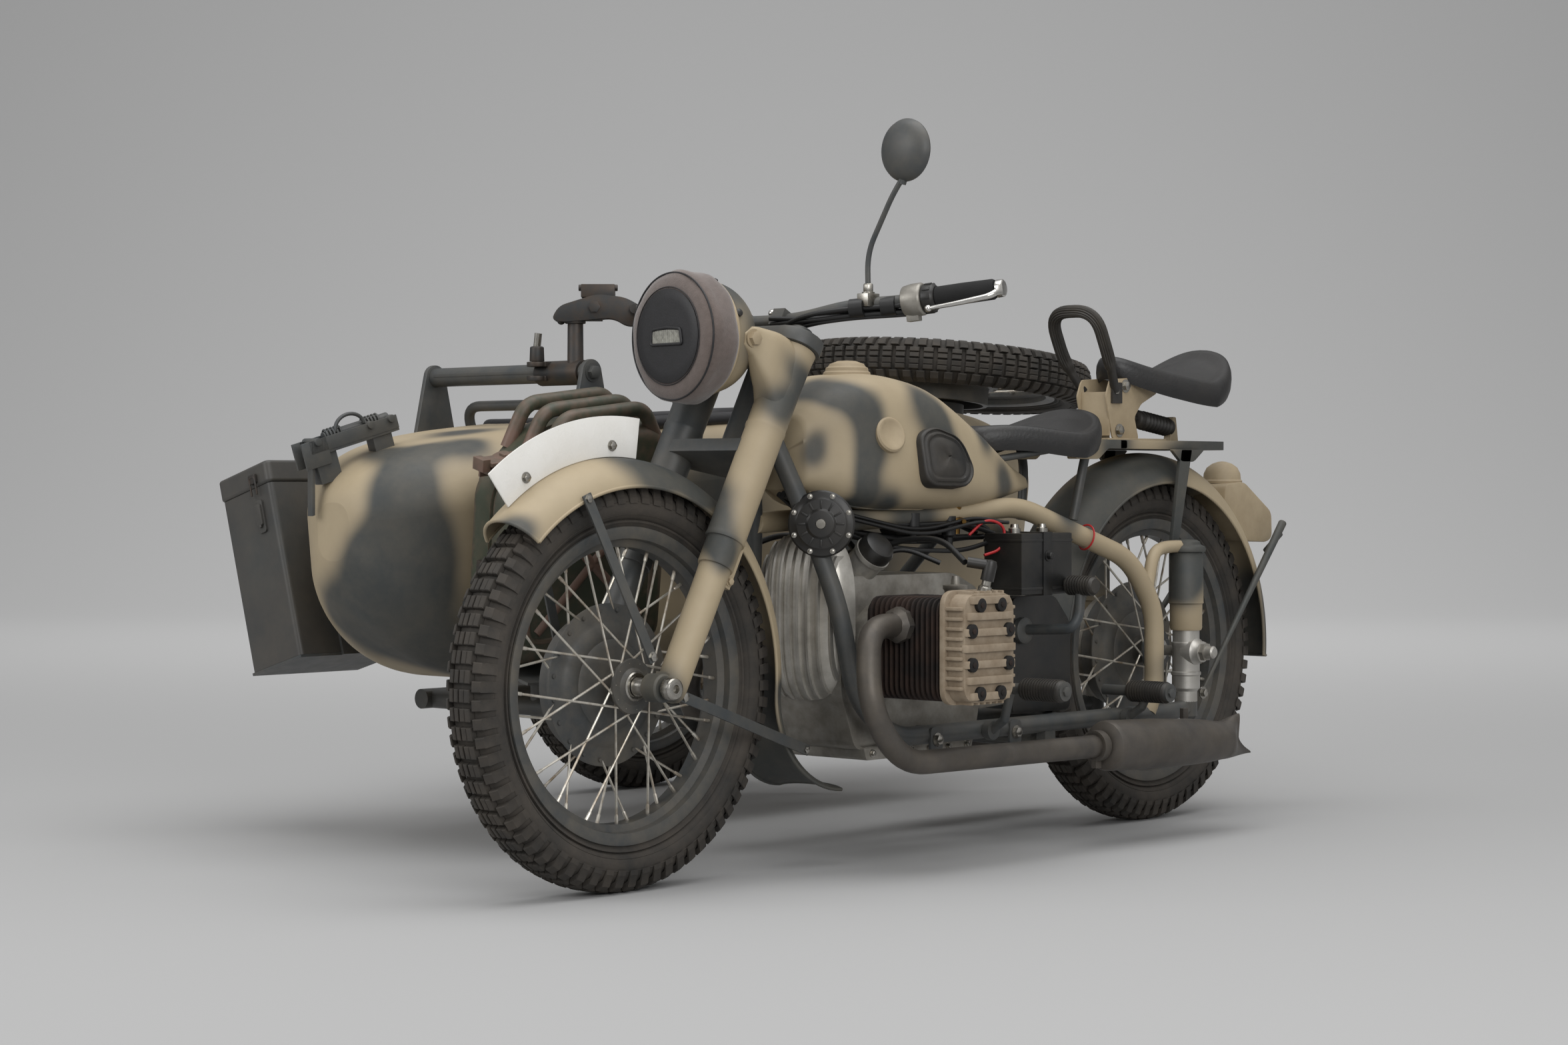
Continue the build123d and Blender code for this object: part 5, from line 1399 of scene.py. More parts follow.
@dataclass
class Engine:
    """The flat twin with its gearbox, carburettors and exhausts."""

    bank_z: float = 380.0
    banks: tuple[tuple[int, float, str], ...] = ((1, -165.0, "left"), (-1, -126.0, "right"))

    def build(self) -> None:
        """Make the engine from the case outwards."""
        self.case()
        self.cylinders()
        self.heads()
        self.plugs()
        self.carburettors()
        self.exhausts()
        self.small_parts()

    def case(self) -> None:
        """Crankcase with its ribbed front cover, sump and gearbox."""
        shape = Shape()
        side = rounded_outline(((-262, 300), (-225, 200), (90, 200), (110, 240), (110, 470), (40, 500),
                                (-262, 500)), 18, 4)
        shape.plate(side, -86, 172)
        shape.plate(rounded_outline(((-205, 182), (80, 182), (86, 206), (-212, 206)), 6), -94, 188)
        gear = rounded_outline(((110, 250), (300, 262), (300, 430), (250, 462), (110, 462)), 26, 5)
        shape.plate(gear, -72, 144)
        for bank, y, _ in self.banks:
            shape.turned(((84, 74), (112, 70)), (0, y, self.bank_z), X_DIR * bank, 48)
        make("engine_castings", shape, Paints.ALLOY, ["engine_case"], bevel=3)
        self.front_cover()
        bolts = Shape()
        for y in np.linspace(-190, 66, 6):
            bolts.bolt((94, y, 194), X_DIR, 4.5, 5, 7)
        make("engine_case_bolts", bolts, Paints.STEEL)

    def front_cover(self) -> None:
        """The tall domed cover on the case's front, with upright ribs."""
        wide, tall, middle, face, dome = 98.0, 146.0, 428.0, -250.0, 46.0

        def height(x: float, z: float) -> float:
            """How far the dome stands out over a place on the cover."""
            return dome * math.sqrt(max(1 - (abs(x) / wide) ** 3 - (abs(z) / tall) ** 3, 0.0))

        cover, rows = Shape(), []
        for d in np.linspace(1, 0, 18) ** 0.6:
            ring = []
            for a in full_turn(72):
                x = math.copysign(wide * d * abs(cos(a)) ** (2 / 3), cos(a))
                z = math.copysign(tall * d * abs(sin(a)) ** (2 / 3), sin(a))
                ring.append((x, face - height(x, z), middle + z))
            rows.append(ring)
        cover.grid([[(x, face + 12, z) for x, _, z in rows[0]]] + rows, wrap_cols=True)
        for x in np.linspace(-80, 80, 9):
            reach = tall * (0.93 - (abs(x) / wide) ** 3) ** (1 / 3)
            strips = []
            for z in np.linspace(-reach, reach, 30):
                top = face - height(x, z) - 5
                strips.append([(x - 3.6, top + 16, middle + z), (x - 2.4, top, middle + z),
                               (x + 2.4, top, middle + z), (x + 3.6, top + 16, middle + z)])
            cover.grid(strips, wrap_cols=True, cap=True)
        make("engine_front_cover", cover, Paints.CAST, sharp_deg=40)

    def cylinders(self) -> None:
        """Two finned barrels, gone to rust."""
        shape = Shape()
        for bank, y, _ in self.banks:
            at = np.array((0, y, self.bank_z))
            shape.rod(at + X_DIR * bank * 111, at + X_DIR * bank * 288, 52, 48)
            outline = rounded_outline(rectangle(-75, -87, 75, 87), 26, 5)
            for i in range(15):
                fin = outline * (0.9 if i == 0 else 1.0)
                shape.slab(fin, at + X_DIR * (bank * (122 + i * 11.3) - 2.1), Y_DIR, Z_DIR, 4.2)
            shape.block(at + X_DIR * bank * 176 + Z_DIR * 62, (104, 86, 40))
            for x, way in ((176, 1), (200, -1)):
                shape.turned(((0, 27), (50, 26), (57, 32), (65, 32)),
                            at + np.array((bank * x, 0, 40)), Y_DIR * way, 30)
        make("cylinder_barrels", shape, Paints.IRON, ["cylinders"], bevel=0.8)

    def heads(self) -> None:
        """Side-valve heads: a flange with short fins, ribs over the face and eight sunk studs, the shade of
        each stud's well painted as a dark disc.
        """
        for bank, y, name in self.banks:
            shape, wells, studs = Shape(), Shape(), Shape()
            at = np.array((0, y - 6, 384.0))
            out = X_DIR * bank
            for half_y, half_z, corner, low, high in ((75, 96, 30, 290, 301), (66, 91, 34, 298, 336)):
                plate = rounded_outline(rectangle(-half_y, -half_z, half_y, half_z), corner, 6)
                shape.slab(plate, at + out * (low if bank > 0 else high), Y_DIR, Z_DIR, high - low)
            for z in np.linspace(-66, 66, 9):
                shape.block(at + out * 316 + Z_DIR * z, (36, 146, 6))
            for across in np.linspace(-40, 40, 6):
                shape.block(at + out * 316 + Y_DIR * across, (36, 6, 190))
            for z in np.linspace(-80, 80, 7):
                half = 69 - 0.0024 * z * z
                rib = rounded_outline(((-half, 0), (half, 0), (half - 4, 14), (4 - half, 14)), 6, 4)
                shape.slab(rib[:, ::-1], at + out * 329 + Z_DIR * (z - 6.5), out, Y_DIR, 13)
            make("cylinder_head_" + name, shape, Paints.HEAD, ["cylinder_heads"], bevel=2)
            # the wells are not cut: a near-black disc round each stud is painted shade that reads as a hole
            for across, z in ((27, 72), (49, 29), (48, -27), (27, -76)):
                for side in (1, -1):
                    spot = at + Y_DIR * across * side + Z_DIR * z
                    wells.turned(((334, 12), (342.6, 12), (343.4, 11)), spot, out, 22)
                    studs.bolt(spot + out * 343, out, 5, 2.6, 0)
            make("head_stud_well_shade_discs_" + name, wells, Paints.WELL_SHADE, sharp_deg=40)
            make("head_bolts_" + name, studs, Paints.IRON)

    def plugs(self) -> None:
        """Spark plugs in the top of each head, under black caps."""
        white, black = Shape(), Shape()
        for bank, y, _ in self.banks:
            at = np.array((bank * 314.0, y + 6, 470.0))
            out = unit((bank * 0.2, 0.1, 0.97))
            white.turned(((0, 12), (14, 12), (18, 8), (34, 7.4)), at, out, 20)
            black.lathe(((26, 0), (26, 11.5), (52, 11.5), (60, 9), (62, 0)), at, out, 20)
            black.rod(at + out * 52, at + out * 52 + np.array((-bank * 30.0, -24, 6)), 9, 16)
        make("spark_plug_bodies", white, Paints.STEEL)
        make("spark_plug_caps", black, Paints.PLASTIC)

    def carburettors(self) -> None:
        """A carburettor behind each barrel."""
        shape = Shape()
        for bank, y, _ in self.banks:
            at = np.array((bank * 176.0, y + 66, 420.0))
            shape.turned(((0, 32), (8, 32), (10, 23), (56, 23), (60, 30), (88, 30)), at, Y_DIR, 32)
            shape.turned(((-46, 18), (-40, 22), (0, 22), (6, 19), (52, 19), (56, 22), (62, 22), (64, 8),
                          (78, 6)), at + Y_DIR * 34, Z_DIR, 30)
            shape.lathe(((-38, 0), (-38, 21), (-30, 25), (10, 25), (14, 27), (18, 27), (22, 10), (26, 0)),
                        at + np.array((bank * 44, 30, 0)), Z_DIR, 30)
            shape.rod(at + Y_DIR * 34, at + np.array((bank * 44, 30, -12)), 10)
        make("carburettor_castings", shape, Paints.ALLOY, ["carburettors"])

    def exhausts(self) -> None:
        """A pipe from each barrel's front, a long tapered silencer and a notched fishtail."""
        start, end = np.array((0, 277.0, 185.0)), np.array((0, 649.0, 171.0))
        along, long = unit(end - start), float(np.linalg.norm(end - start))
        profile = [(0, 0), (0, 24), (3, 34), (8, 43), (14, 45.5), (20, 46), (150, 46), (260, 44), (330, 40),
                   (long, 36)]
        for bank, y, name in self.banks:
            pipe, x = Shape(), bank * 235.0
            route = [(bank * 200, y - 64, 420), (bank * 204, y - 160, 420), (x, y - 196, 290),
                     (x, y - 112, 190), (x, 300, 185)]
            pipe.tube(route, 20.5, 62, 28)
            pipe.turned(((0, 31), (14, 31), (18, 27), (24, 22)), (bank * 200, y - 72, 420), -Y_DIR, 8)
            pipe.turned(((0, 25), (22, 25)), (x, 254, 186), Y_DIR, 30)
            pipe.lathe(profile, start + X_DIR * x, along, 44)
            rows = []
            for t in np.linspace(0, 1, 12):
                ease = t * t * (3 - 2 * t)
                ring = []
                for a in full_turn(40):
                    rise = sin(a)
                    back, tall = (714, 44) if rise > 0 else (754, 34)
                    tip = np.array((x + 9 * cos(a), 701 + (back - 701) * abs(rise) ** 1.6, 175 + tall * rise))
                    root = end + np.array((x + 36 * cos(a), 0, 36 * rise))
                    place = root * (1 - ease) + tip * ease
                    place[1] = root[1] * (1 - t) + tip[1] * t
                    ring.append(place)
                rows.append(ring)
            inner = [[p + np.array((-2.5 * cos(a), 0, -2.5 * sin(a)))
                      for p, a in zip(ring, full_turn(40))] for ring in rows[::-1]]
            pipe.grid(rows + inner, wrap_cols=True)
            make("exhaust_" + name, pipe, Paints.EXHAUST, ["exhausts"])
            clip = Shape()
            clip.lathe(((-9, 24), (-9, 28), (9, 28), (9, 24)), (x, 262, 186), Y_DIR, 30, closed=True)
            clip.block((x, 262, 154), (10, 16, 16))
            clip.block((bank * 206, 575, 222), (8, 16, 26))
            make("exhaust_clips_" + name, clip, Paints.EXHAUST)

    def small_parts(self) -> None:
        """Kick pedal, distributor and leads around the engine."""
        lever = Shape().tube([(60, 230, 390), (196, 240, 396), (204, 252, 420), (204, 255, 474)], 9.5, 20, 16)
        lever.turned(((0, 24), (26, 24), (30, 18)), (72, 230, 390), X_DIR, 30)
        make("kick_lever", lever, Paints.GREY)
        pedal = Shape()
        pedal.turned(((-32, 13), (-28, 16), (28, 16), (32, 13)), (206, 255, 474), X_DIR, 24)
        for x in np.linspace(-24, 24, 9):
            pedal.lathe(((-1.6, 15), (-1.6, 18), (1.6, 18), (1.6, 15)), (206 + x, 255, 474), X_DIR, 24,
                        closed=True)
        make("kick_pedal_rubber", pedal, Paints.RUBBER)
        foot, cap_at = np.array((40.0, -186, 494)), np.array((104.0, -190, 546))
        out = unit(cap_at - foot)
        body = Shape().lathe(((0, 0), (0, 30), (62, 30), (64, 33), (72, 33), (74, 0)), foot, out, 36)
        make("ignition_body", body, Paints.CAST, sharp_deg=40)
        cap = Shape().turned(((0, 31), (14, 31), (22, 27), (24, 22)), foot + out * 72, out, 36)
        make("distributor_cap", cap, Paints.PLASTIC)
        leads = Shape()
        for bank, y, _ in self.banks:
            plug = np.array((bank * 290.0, y - 14, 526.0))
            leads.tube([(60, -186, 516), (60 + bank * 50, -150, 560), (bank * 210, y + 20, 566), plug], 5.4,
                       44, 12)
            leads.tube([(60, -170, 516), (60 + bank * 36, -120, 550), (bank * 150, y + 90, 520)], 4.4, 40, 12)
        make("spark_leads", leads, Paints.BLACK_WIRE)


@dataclass
class Motorcycle:
    """Tank, saddles and the rear end of the motorcycle."""

    tank_table: tuple[tuple[float, ...], ...] = (
        (-322, 52, 58, 648, 770, 34), (-230, 96, 116, 618, 838, 62), (-60, 108, 138, 612, 838, 74),
        (120, 82, 104, 616, 766, 54), (262, 44, 58, 638, 694, 24), (330, 20, 26, 648, 672, 10))
    rider_z: float = 735.0
    pillion_z: float = 850.0
    rear_fender_r: float = 385.0

    def build(self) -> None:
        """Make the pieces from the tank backwards."""
        self.tank()
        self.cap()
        self.knee_pads()
        self.horn()
        self.battery()
        self.pegs()
        self.saddles()
        self.grab_handle()
        self.fender()
        self.plungers()
        self.tail_lamp()
        self.wires()

    def tank(self) -> None:
        """The drop-shaped tank with its seam and plain badge."""
        shape = Shape().grid(loft_rows(self.tank_table, 0, 9, 72), wrap_cols=True)
        patches = patch_list((0, -262, 827, 36), (63, -262, 817, 34), (98, -231, 794, 34),
                             (111, -204, 754, 32), (116, -200, 707, 28), (110, -218, 661, 26),
                             (80, -230, 627, 26), (68, -307, 712, 26), (90, -160, 620, 34),
                             (111, -60, 800, 44), (128, -30, 745, 40), (128, 0, 700, 34), (71, 200, 654, 40),
                             (60, 130, 740, 34), (-80, -60, 820, 60), (-110, -160, 720, 60), (0, 60, 800, 40))
        make("fuel_tank_sheet", shape, Paints.CAMO, ["fuel_tank"], sharp_deg=60, patches=patches)
        badge = Shape()
        for side in (1, -1):
            out = unit((side * 0.95, -0.17, 0.24))
            badge.lathe(((-9, 0), (-9, 31), (1.5, 31), (4, 28), (4, 24), (2.5, 22), (2.8, 0)),
                        (side * 120, -172, 742), out, 40)
        make("tank_badge_discs", badge, Paints.SAND)
        seam = Shape()
        rows = loft_rows(self.tank_table, 0, 9, 72, closed_ends=False)
        seam.tube([ring[61] * np.array((1.004, 1, 1)) for ring in rows[2:-2]], 1.6, segments=8)
        make("tank_side_seam", seam, Paints.CAMO, patches=patches)
        tap = Shape().turned(((0, 12), (18, 11), (20, 16), (30, 16), (32, 9), (48, 9)), (72, 60, 616), -Z_DIR,
                             24)
        tap.rod((72, 60, 592), (100, 52, 590), 4.5, 12)
        make("fuel_tap_brass", tap, Paints.COPPER)

    def cap(self) -> None:
        """The domed filler cap, stepped in rings."""
        rings = [(-12, 0), (-12, 50), (0, 48), (4, 42), (10, 41), (12, 38), (18, 37), (20, 33), (25, 30),
                 (27, 24), (30, 16), (31, 0)]
        shape = Shape().lathe(rings, (0, -150, 842), Z_DIR, 48)
        for turn in full_turn(20):
            out = around(X_DIR, Y_DIR, turn)
            shape.block(np.array((0, -150, 844)) + out * 41, (5, 5, 7), (out, np.cross(Z_DIR, out), Z_DIR))
        make("filler_cap_alloy", shape, Paints.SAND, ["filler_cap"], bevel=0.5)

    def knee_pads(self) -> None:
        """Rubber knee pads with two raised outlines."""
        shape = Shape()
        for side in (1, -1):
            out = unit((side * 0.985, 0.0, 0.17))
            v = np.cross(out, Y_DIR) if side > 0 else np.cross(Y_DIR, out)
            at = np.array((side * 134.0, -40.0, 704.0))
            base = rounded_outline(((-66, -52), (44, -54), (72, -26), (40, 34), (-34, 54), (-68, 40)), 30, 8)
            rows = []
            for scale, lift in ((1.0, -40), (1.0, 6), (0.975, 10), (0.93, 11), (0.90, 8), (0.86, 8),
                                (0.83, 11), (0.76, 12), (0.72, 9), (0.67, 9), (0.63, 12), (0.3, 13),
                                (0.02, 13)):
                rows.append([at + Y_DIR * u * scale + v * w * scale + out * (lift - 0.0016 * u * u * 0.6)
                             for u, w in base])
            shape.grid(rows, wrap_cols=True)
        piece = make("knee_pad_rubber", shape, Paints.RUBBER, ["knee_pads"], sharp_deg=60)

    def horn(self) -> None:
        """A disc horn with a ring of screws and radial slots."""
        at, out = np.array((92.0, -318.0, 590.0)), unit((0.6, -0.8, 0.0))
        profile = [(-34, 0), (-34, 40), (-28, 46), (-6, 50), (-4, 56), (2, 57), (5, 54), (6, 46), (9, 42),
                   (10, 26), (13, 22), (14, 0)]
        shape = Shape().lathe(profile, at, out, 48)
        u, v, _ = basis(out)
        for turn in full_turn(12):
            arm = around(u, v, turn)
            shape.block(at + out * 10.4 + arm * 33, (13, 3.4, 2.2), (arm, np.cross(out, arm), out))
        make("horn_case", shape, Paints.PLASTIC, ["horn"], bevel=0.5)
        screws = Shape()
        for i in range(8):
            turn = 2 * pi * (i + 0.5) / 8
            screws.bolt(at + out * 4.6 + around(u, v, turn) * 50, out, 3.6, 3, 4.6)
        screws.lathe(((0, 0), (0, 9), (2, 8), (2.6, 0)), at + out * 13.6, out, 24)
        make("horn_screws", screws, Paints.STEEL)

    def battery(self) -> None:
        """The battery in its strapped box behind the engine's left side."""
        shape = Shape().block((128, 200, 514), (86, 148, 110))
        for z in (470, 556):
            shape.block((128, 200, z), (89, 151, 6))
        make("battery_case", shape, Paints.PLASTIC, ["battery_box"], bevel=3)
        strap = Shape().block((128, 200, 514), (91, 26, 114)).bolt((174, 200, 528), X_DIR, 7, 8, 10)
        strap.plate(rounded_outline(((205, 238), (378, 238), (378, 400), (330, 452), (205, 452)), 16, 4), 62,
                    26)
        make("battery_strap_and_cover", strap, Paints.PLASTIC, bevel=1)
        posts = Shape()
        for y in (160, 240):
            posts.turned(((0, 11), (8, 11), (10, 8), (16, 7)), (128, y, 569), Z_DIR, 20)
        make("battery_posts", posts, Paints.STEEL)

    def pegs(self) -> None:
        """Rubber sleeves and bright end bolts on the four pegs."""
        rubber, steel = Shape(), Shape()
        for y, reach, z in ((60, 320, 298), (470, 250, 271)):
            for side in (1, -1):
                at = np.array((side * (reach - 92.0), y, z))
                out = X_DIR * side
                rubber.turned(((0, 17), (3, 19), (85, 19), (88, 17)), at, out, 28)
                for k in np.linspace(8, 80, 13):
                    rubber.lathe(((k - 1.5, 18), (k - 1.5, 20.4), (k + 1.5, 20.4), (k + 1.5, 18)), at, out,
                                 28, closed=True)
                steel.bolt(at + out * 88, out, 9, 7, 15)
                steel.rod(at - out * 60, at + out * 6, 10, 20)
        make("foot_peg_rubbers", rubber, Paints.RUBBER)
        make("foot_peg_steel", steel, Paints.GREY)

    def saddle_mesh(self, y0: float, z: float, long: float, wide: float,
                    rises: tuple[float, float, float]) -> Shape:
        """A dished pan saddle with a deep skirt.

        Args:
            y0: its front.
            z: its underside.
            long: its length.
            wide: its greatest width.
            rises: how far its front and rear rise and its sides droop.

        Returns:
            The saddle.
        """
        front, rear, droop = rises
        outline = []
        for t in full_turn(96):
            c, s = cos(t), sin(t)
            along = 0.5 - 0.5 * c
            half = wide / 2 * min(1.0, 0.46 + 0.54 * (along / 0.6) ** 1.2)
            outline.append((half * math.copysign(abs(s) ** 0.72, s), y0 + long * along))
        outline = np.array(outline)
        middle = np.array((0.0, y0 + long * 0.58))
        rows = []
        for scale, lift in ((0.8, 16), (0.9, 2), (0.965, -8), (0.99, 2), (1.0, 16), (0.995, 26), (0.97, 35),
                            (0.93, 38), (0.86, 36), (0.8, 30), (0.7, 27), (0.5, 22), (0.3, 18), (0.02, 16)):
            ring = []
            for px, py in middle + (outline - middle) * scale:
                along, across = (py - y0) / long, abs(px) / (wide / 2)
                rise = front * max(0.0, 1 - along / 0.35) ** 2 + rear * max(0.0, (along - 0.4) / 0.6) ** 2
                ring.append((px, py, z + lift + rise - droop * across ** 2))
            rows.append(ring)
        return Shape().grid(rows, wrap_cols=True)

    def saddles(self) -> None:
        """Two rubber pan saddles, and the bracket and spring that carry the second."""
        for name, y0, z, long, wide, rises in (("rider", 185, self.rider_z, 312, 272, (-12, 30, 28)),
                                               ("pillion", 606, self.pillion_z, 324, 264, (20, 42, 44))):
            piece = make(name + "_saddle_rubber", self.saddle_mesh(y0, z, long, wide, rises), Paints.SADDLE,
                         [name + "_saddle"], sharp_deg=70)
        irons = Shape()
        for side in (1, -1):
            irons.tube([(side * 30, 210, 700), (side * 92, 330, 722), (side * 100, 440, 744),
                        (side * 40, 480, 756)], 6.5, 30, 12)
            irons.tube([(side * 62, 420, 590), (side * 70, 440, 690), (side * 84, 440, 742)], 9, 30, 14)
        irons.rod((0, 200, 640), (0, 210, 712), 12, 16).rod((-84, 440, 742), (84, 440, 742), 7, 12)
        make("saddle_irons", irons, Paints.GREY, ["saddle_frame"])
        bellows, cheeks, bolts = Shape(), Shape(), Shape()
        rings = [(-14, 0), (-14, 6), (0, 7), (0, 15), (3, 18), (16, 18)]
        for i in range(8):
            rings += [(i * 11.0 + 20, 14), (i * 11.0 + 25, 19), (i * 11.0 + 29, 14)]
        bellows.lathe(rings + [(108, 16), (116, 16), (116, 6), (132, 6), (132, 0)], (0, 700, 785),
                      unit((0, 1, -0.14)), 36)
        make("pillion_spring", bellows, Paints.RUBBER, sharp_deg=60)
        side = rounded_outline(((580, 744), (664, 744), (650, 786), (672, 812), (724, 834), (722, 846),
                                (640, 862), (572, 858), (558, 826)), 7, 4)
        for x in (-36, 32):
            cheeks.plate(side, x, 4)
        cheeks.block((0, 572, 792), (68, 4, 84)).block((0, 640, 742), (100, 190, 6))
        cheeks.plate(rounded_outline(((806, 738), (836, 738), (828, 790), (818, 790)), 4, 3), -8, 16)
        make("pillion_bracket", cheeks, Paints.SAND, ["pillion_frame"], bevel=1.2)
        for y, z in ((585, 838), (620, 846), (600, 760)):
            bolts.bolt((36, y, z), X_DIR, 9, 6, 13)
        make("pillion_bolts", bolts, Paints.STEEL)

    def grab_handle(self) -> None:
        """The ribbed rubber hoop in front of the pillion saddle."""
        hoop = [(-38, 585, 836), (-54, 545, 892), (-54, 498, 986), (54, 498, 986), (54, 545, 892),
                (38, 585, 836)]
        path = rounded_path(hoop, 46, 10)
        shape = Shape()
        rows = []
        for i, spot in enumerate(path):
            ahead = path[min(i + 1, len(path) - 1)] - path[max(i - 1, 0)]
            across = unit(np.array((0.0, 0.85, 0.53)) - unit(ahead) * float(np.array((0.0, 0.85,
                    0.53)) @ unit(ahead)))
            other = np.cross(unit(ahead), across)
            ends = min(i, len(path) - 1 - i)
            size = 8.5 if ends < 4 else 11.5
            rows.append([spot + (size + (0.9 if ends > 5 else 0) * cos(16 * t)) * around(across, other, t)
                         for t in full_turn(96)])
        shape.grid(rows, wrap_cols=True, cap=True)
        for side in (1, -1):
            shape.block((side * 38, 588, 832), (7, 30, 40))
        make("grab_handle_rubber", shape, Paints.RUBBER, ["grab_handle"], sharp_deg=60)

    def fender(self) -> None:
        """The deep rear fender, and the rack over it with struts and flat stays."""
        shape = fender_shape(REAR, self.rear_fender_r, 75, 58, -4, 186)
        patches = patch_list((40, 400, 560, 90), (60, 470, 610, 70), (20, 360, 440, 110), (10, 350, 330, 90),
                             (50, 565, 664, 60), (50, 655, 690, 44), (62, 735, 690, 40), (30, 1085, 420, 70),
                             (20, 1095, 320, 70), (-40, 900, 670, 60))
        make("rear_fender_sheet", shape, Paints.CAMO, ["rear_fender"], sharp_deg=50, patches=patches)
        rack = Shape()
        ring = rounded_outline(rectangle(-85, 500, 85, 905), 40, 8)
        hole = rounded_outline(rectangle(-62, 523, 62, 882), 20, 8)
        rows = [[(x, y, z) for x, y in line] for line, z in rectangle(hole, 724, ring, 741)]
        rack.grid(rows, wrap_rows=True, wrap_cols=True)
        for x in (-28, 28):
            rack.block((x, 703, 733), (22, 362, 14))
        for side in (1, -1):
            foot = rounded_outline(((400, 704), (470, 704), (500, 724), (560, 724), (560, 741), (470, 741),
                                    (440, 716), (400, 712)), 5, 3)
            rack.plate(foot, side * 74 - 11, 22)
            strut = rounded_outline(((722, 724), (758, 724), (712, 536), (690, 536)), 4, 3)
            rack.plate(strut, side * 92 - 4, 8)
            rack.plate(rounded_outline(((690, 724), (800, 724), (764, 700), (722, 700)), 8, 4), side * 92 - 4,
                       8)
            rack.tube([(side * 80, 1100, 578), (side * 110, 768, 246)], 8.5, 0, 12, 3.5)
            rack.tube([(side * 40, 1098, 520), (side * 84, 1086, 556)], 6, 0, 12)
        make("rear_rack_irons", rack, Paints.CAMO, ["rear_rack"], slot="grey_paint", bevel=1.2,
             patches=patch_list((85, 520, 735, 60), (85, 860, 735, 80), (96, 740, 650, 70),
                                (96, 715, 570, 40), (96, 980, 460, 140), (100, 850, 330, 140),
                                (-90, 760, 640, 120), (-96, 980, 440, 200), (-96, 840, 320, 160)))
        bolts = Shape()
        for y in (415, 458):
            bolts.bolt((82, y, 708 if y < 430 else 722), Z_DIR, 7, 5, 10)
        bolts.bolt((115, 768, 250), X_DIR, 8, 7, 12)
        make("rear_rack_bolts", bolts, Paints.STEEL)

    def plungers(self) -> None:
        """Sprung rear slides: bright below, painted sleeves above, and the frame tubes that hold them."""
        alloy, sleeve, tubes = Shape(), Shape(), Shape()
        for side in (1, -1):
            at = np.array((side * 112.0, 715.0, 0.0))
            alloy.turned(((236, 22), (256, 22), (262, 27), (286, 27), (288, 29), (293, 29), (295, 26.5),
                          (342, 26.5), (345, 28), (350, 28), (352, 26), (378, 26)), at, Z_DIR, 40)
            alloy.turned(((0, 27), (22, 26), (26, 22), (36, 20), (38, 12), (60, 12), (63, 9)),
                        (side * 116, 715, 333), X_DIR * side, 32)
            sleeve.lathe(((374, 0), (374, 29), (378, 31), (424, 31.5), (427, 34), (430, 33.5), (522, 33),
                          (526, 30), (528, 30)), at, Z_DIR, 40)
            sleeve.lathe(((526, 0), (526, 37), (531, 38), (536, 36), (540, 28), (545, 27), (549, 20),
                          (550, 0)), at, Z_DIR, 40)
            tubes.tube([(side * 128, 560, 440), (side * 124, 590, 528), (side * 112, 650, 537),
                        (side * 112, 715, 536)], 12, 40, 16)
            tubes.tube([(side * 58, -322, 590), (side * 66, 70, 606), (side * 76, 240, 616),
                        (side * 122, 515, 516), (side * 130, 585, 420), (side * 130, 585, 270),
                        (side * 130, 560, 224)], 18.5, 46, 22)
        make("plunger_castings", alloy, Paints.SILVER, ["plungers"])
        make("plunger_sleeves", sleeve, Paints.CAMO, patches=patch_list((126, 695, 520, 52),
                (120, 690, 470, 44), (130, 740, 548, 30), (-120, 705, 490, 70)))
        make("frame_top_tubes", tubes, Paints.CAMO, patches=patch_list((92, 340, 586, 30),
                (60, -250, 596, 70), (66, -60, 602, 60), (130, 600, 300, 30), (-110, 400, 560, 60),
                (-62, -100, 600, 80)))
        self.frame_tubes()

    def frame_tubes(self) -> None:
        """The rest of the frame: steering head, cradle, cross bars, plunger feet and stand lugs."""
        shape = Shape()
        shape.turned(((-222, 33), (-214, 34), (-206, 30), (-64, 30), (-56, 34), (-50, 33)),
                    fork_point(0, 0, 0), STEER_Z, 40)
        for side in (1, -1):
            cradle = [(side * 18, -380, 765), (side * 62, -322, 600), (side * 102, -286, 450),
                      (side * 116, -258, 290), (side * 130, -180, 222), (side * 130, 640, 222),
                      (side * 112, 715, 222)]
            shape.tube(cradle, 16.5, 50, 22)
            shape.rod((side * 112, 715, 208), (side * 112, 715, 237), 22, 28)
            shape.plate(rounded_outline(rectangle(235, 174, 265, 222), 12, 4), side * 130 - 10, 20)
        for y in (-60, 330):
            shape.rod((-130, y, 222), (130, y, 222), 13, 20)
        shape.rod((-130, 250, 190), (130, 250, 190), 8, 16)
        lugs, bolts = Shape(), Shape()
        for y in (-82, 138):
            lugs.plate(rounded_outline(rectangle(y - 16, 190, y + 16, 236), 10, 4), 143, 6)
            bolts.bolt((149, y, 214), X_DIR, 9, 8, 12)
        make("frame_cradle_tubes", shape, Paints.GREY, ["frame"])
        make("frame_lugs", lugs, Paints.GREY, bevel=1)
        make("frame_lug_bolts", bolts, Paints.STEEL)

    def tail_lamp(self) -> None:
        """Tail lamp box with a domed cap over it."""
        box = Shape()
        side = rounded_outline(((940, 600), (946, 656), (1012, 662), (1112, 600), (1114, 548), (1096, 538),
                                (1010, 542)), 14, 5)
        box.plate(side, -46, 92)
        make("tail_lamp_box", box, Paints.SAND, ["tail_lamp"], bevel=4)
        dome = Shape().lathe(((-4, 0), (-4, 40), (1, 41), (4, 38), (16, 37), (28, 31), (36, 20), (40, 8),
                              (41, 0)), (0, 1000, 662), Z_DIR, 40)
        make("tail_lamp_dome", dome, Paints.SAND)
        lens = Shape().lathe(((0, 0), (0, 24), (3, 22), (4, 0)), (0, 1112, 574), Y_DIR, 30)
        make("tail_lamp_glass", lens, Paints.SPOT)

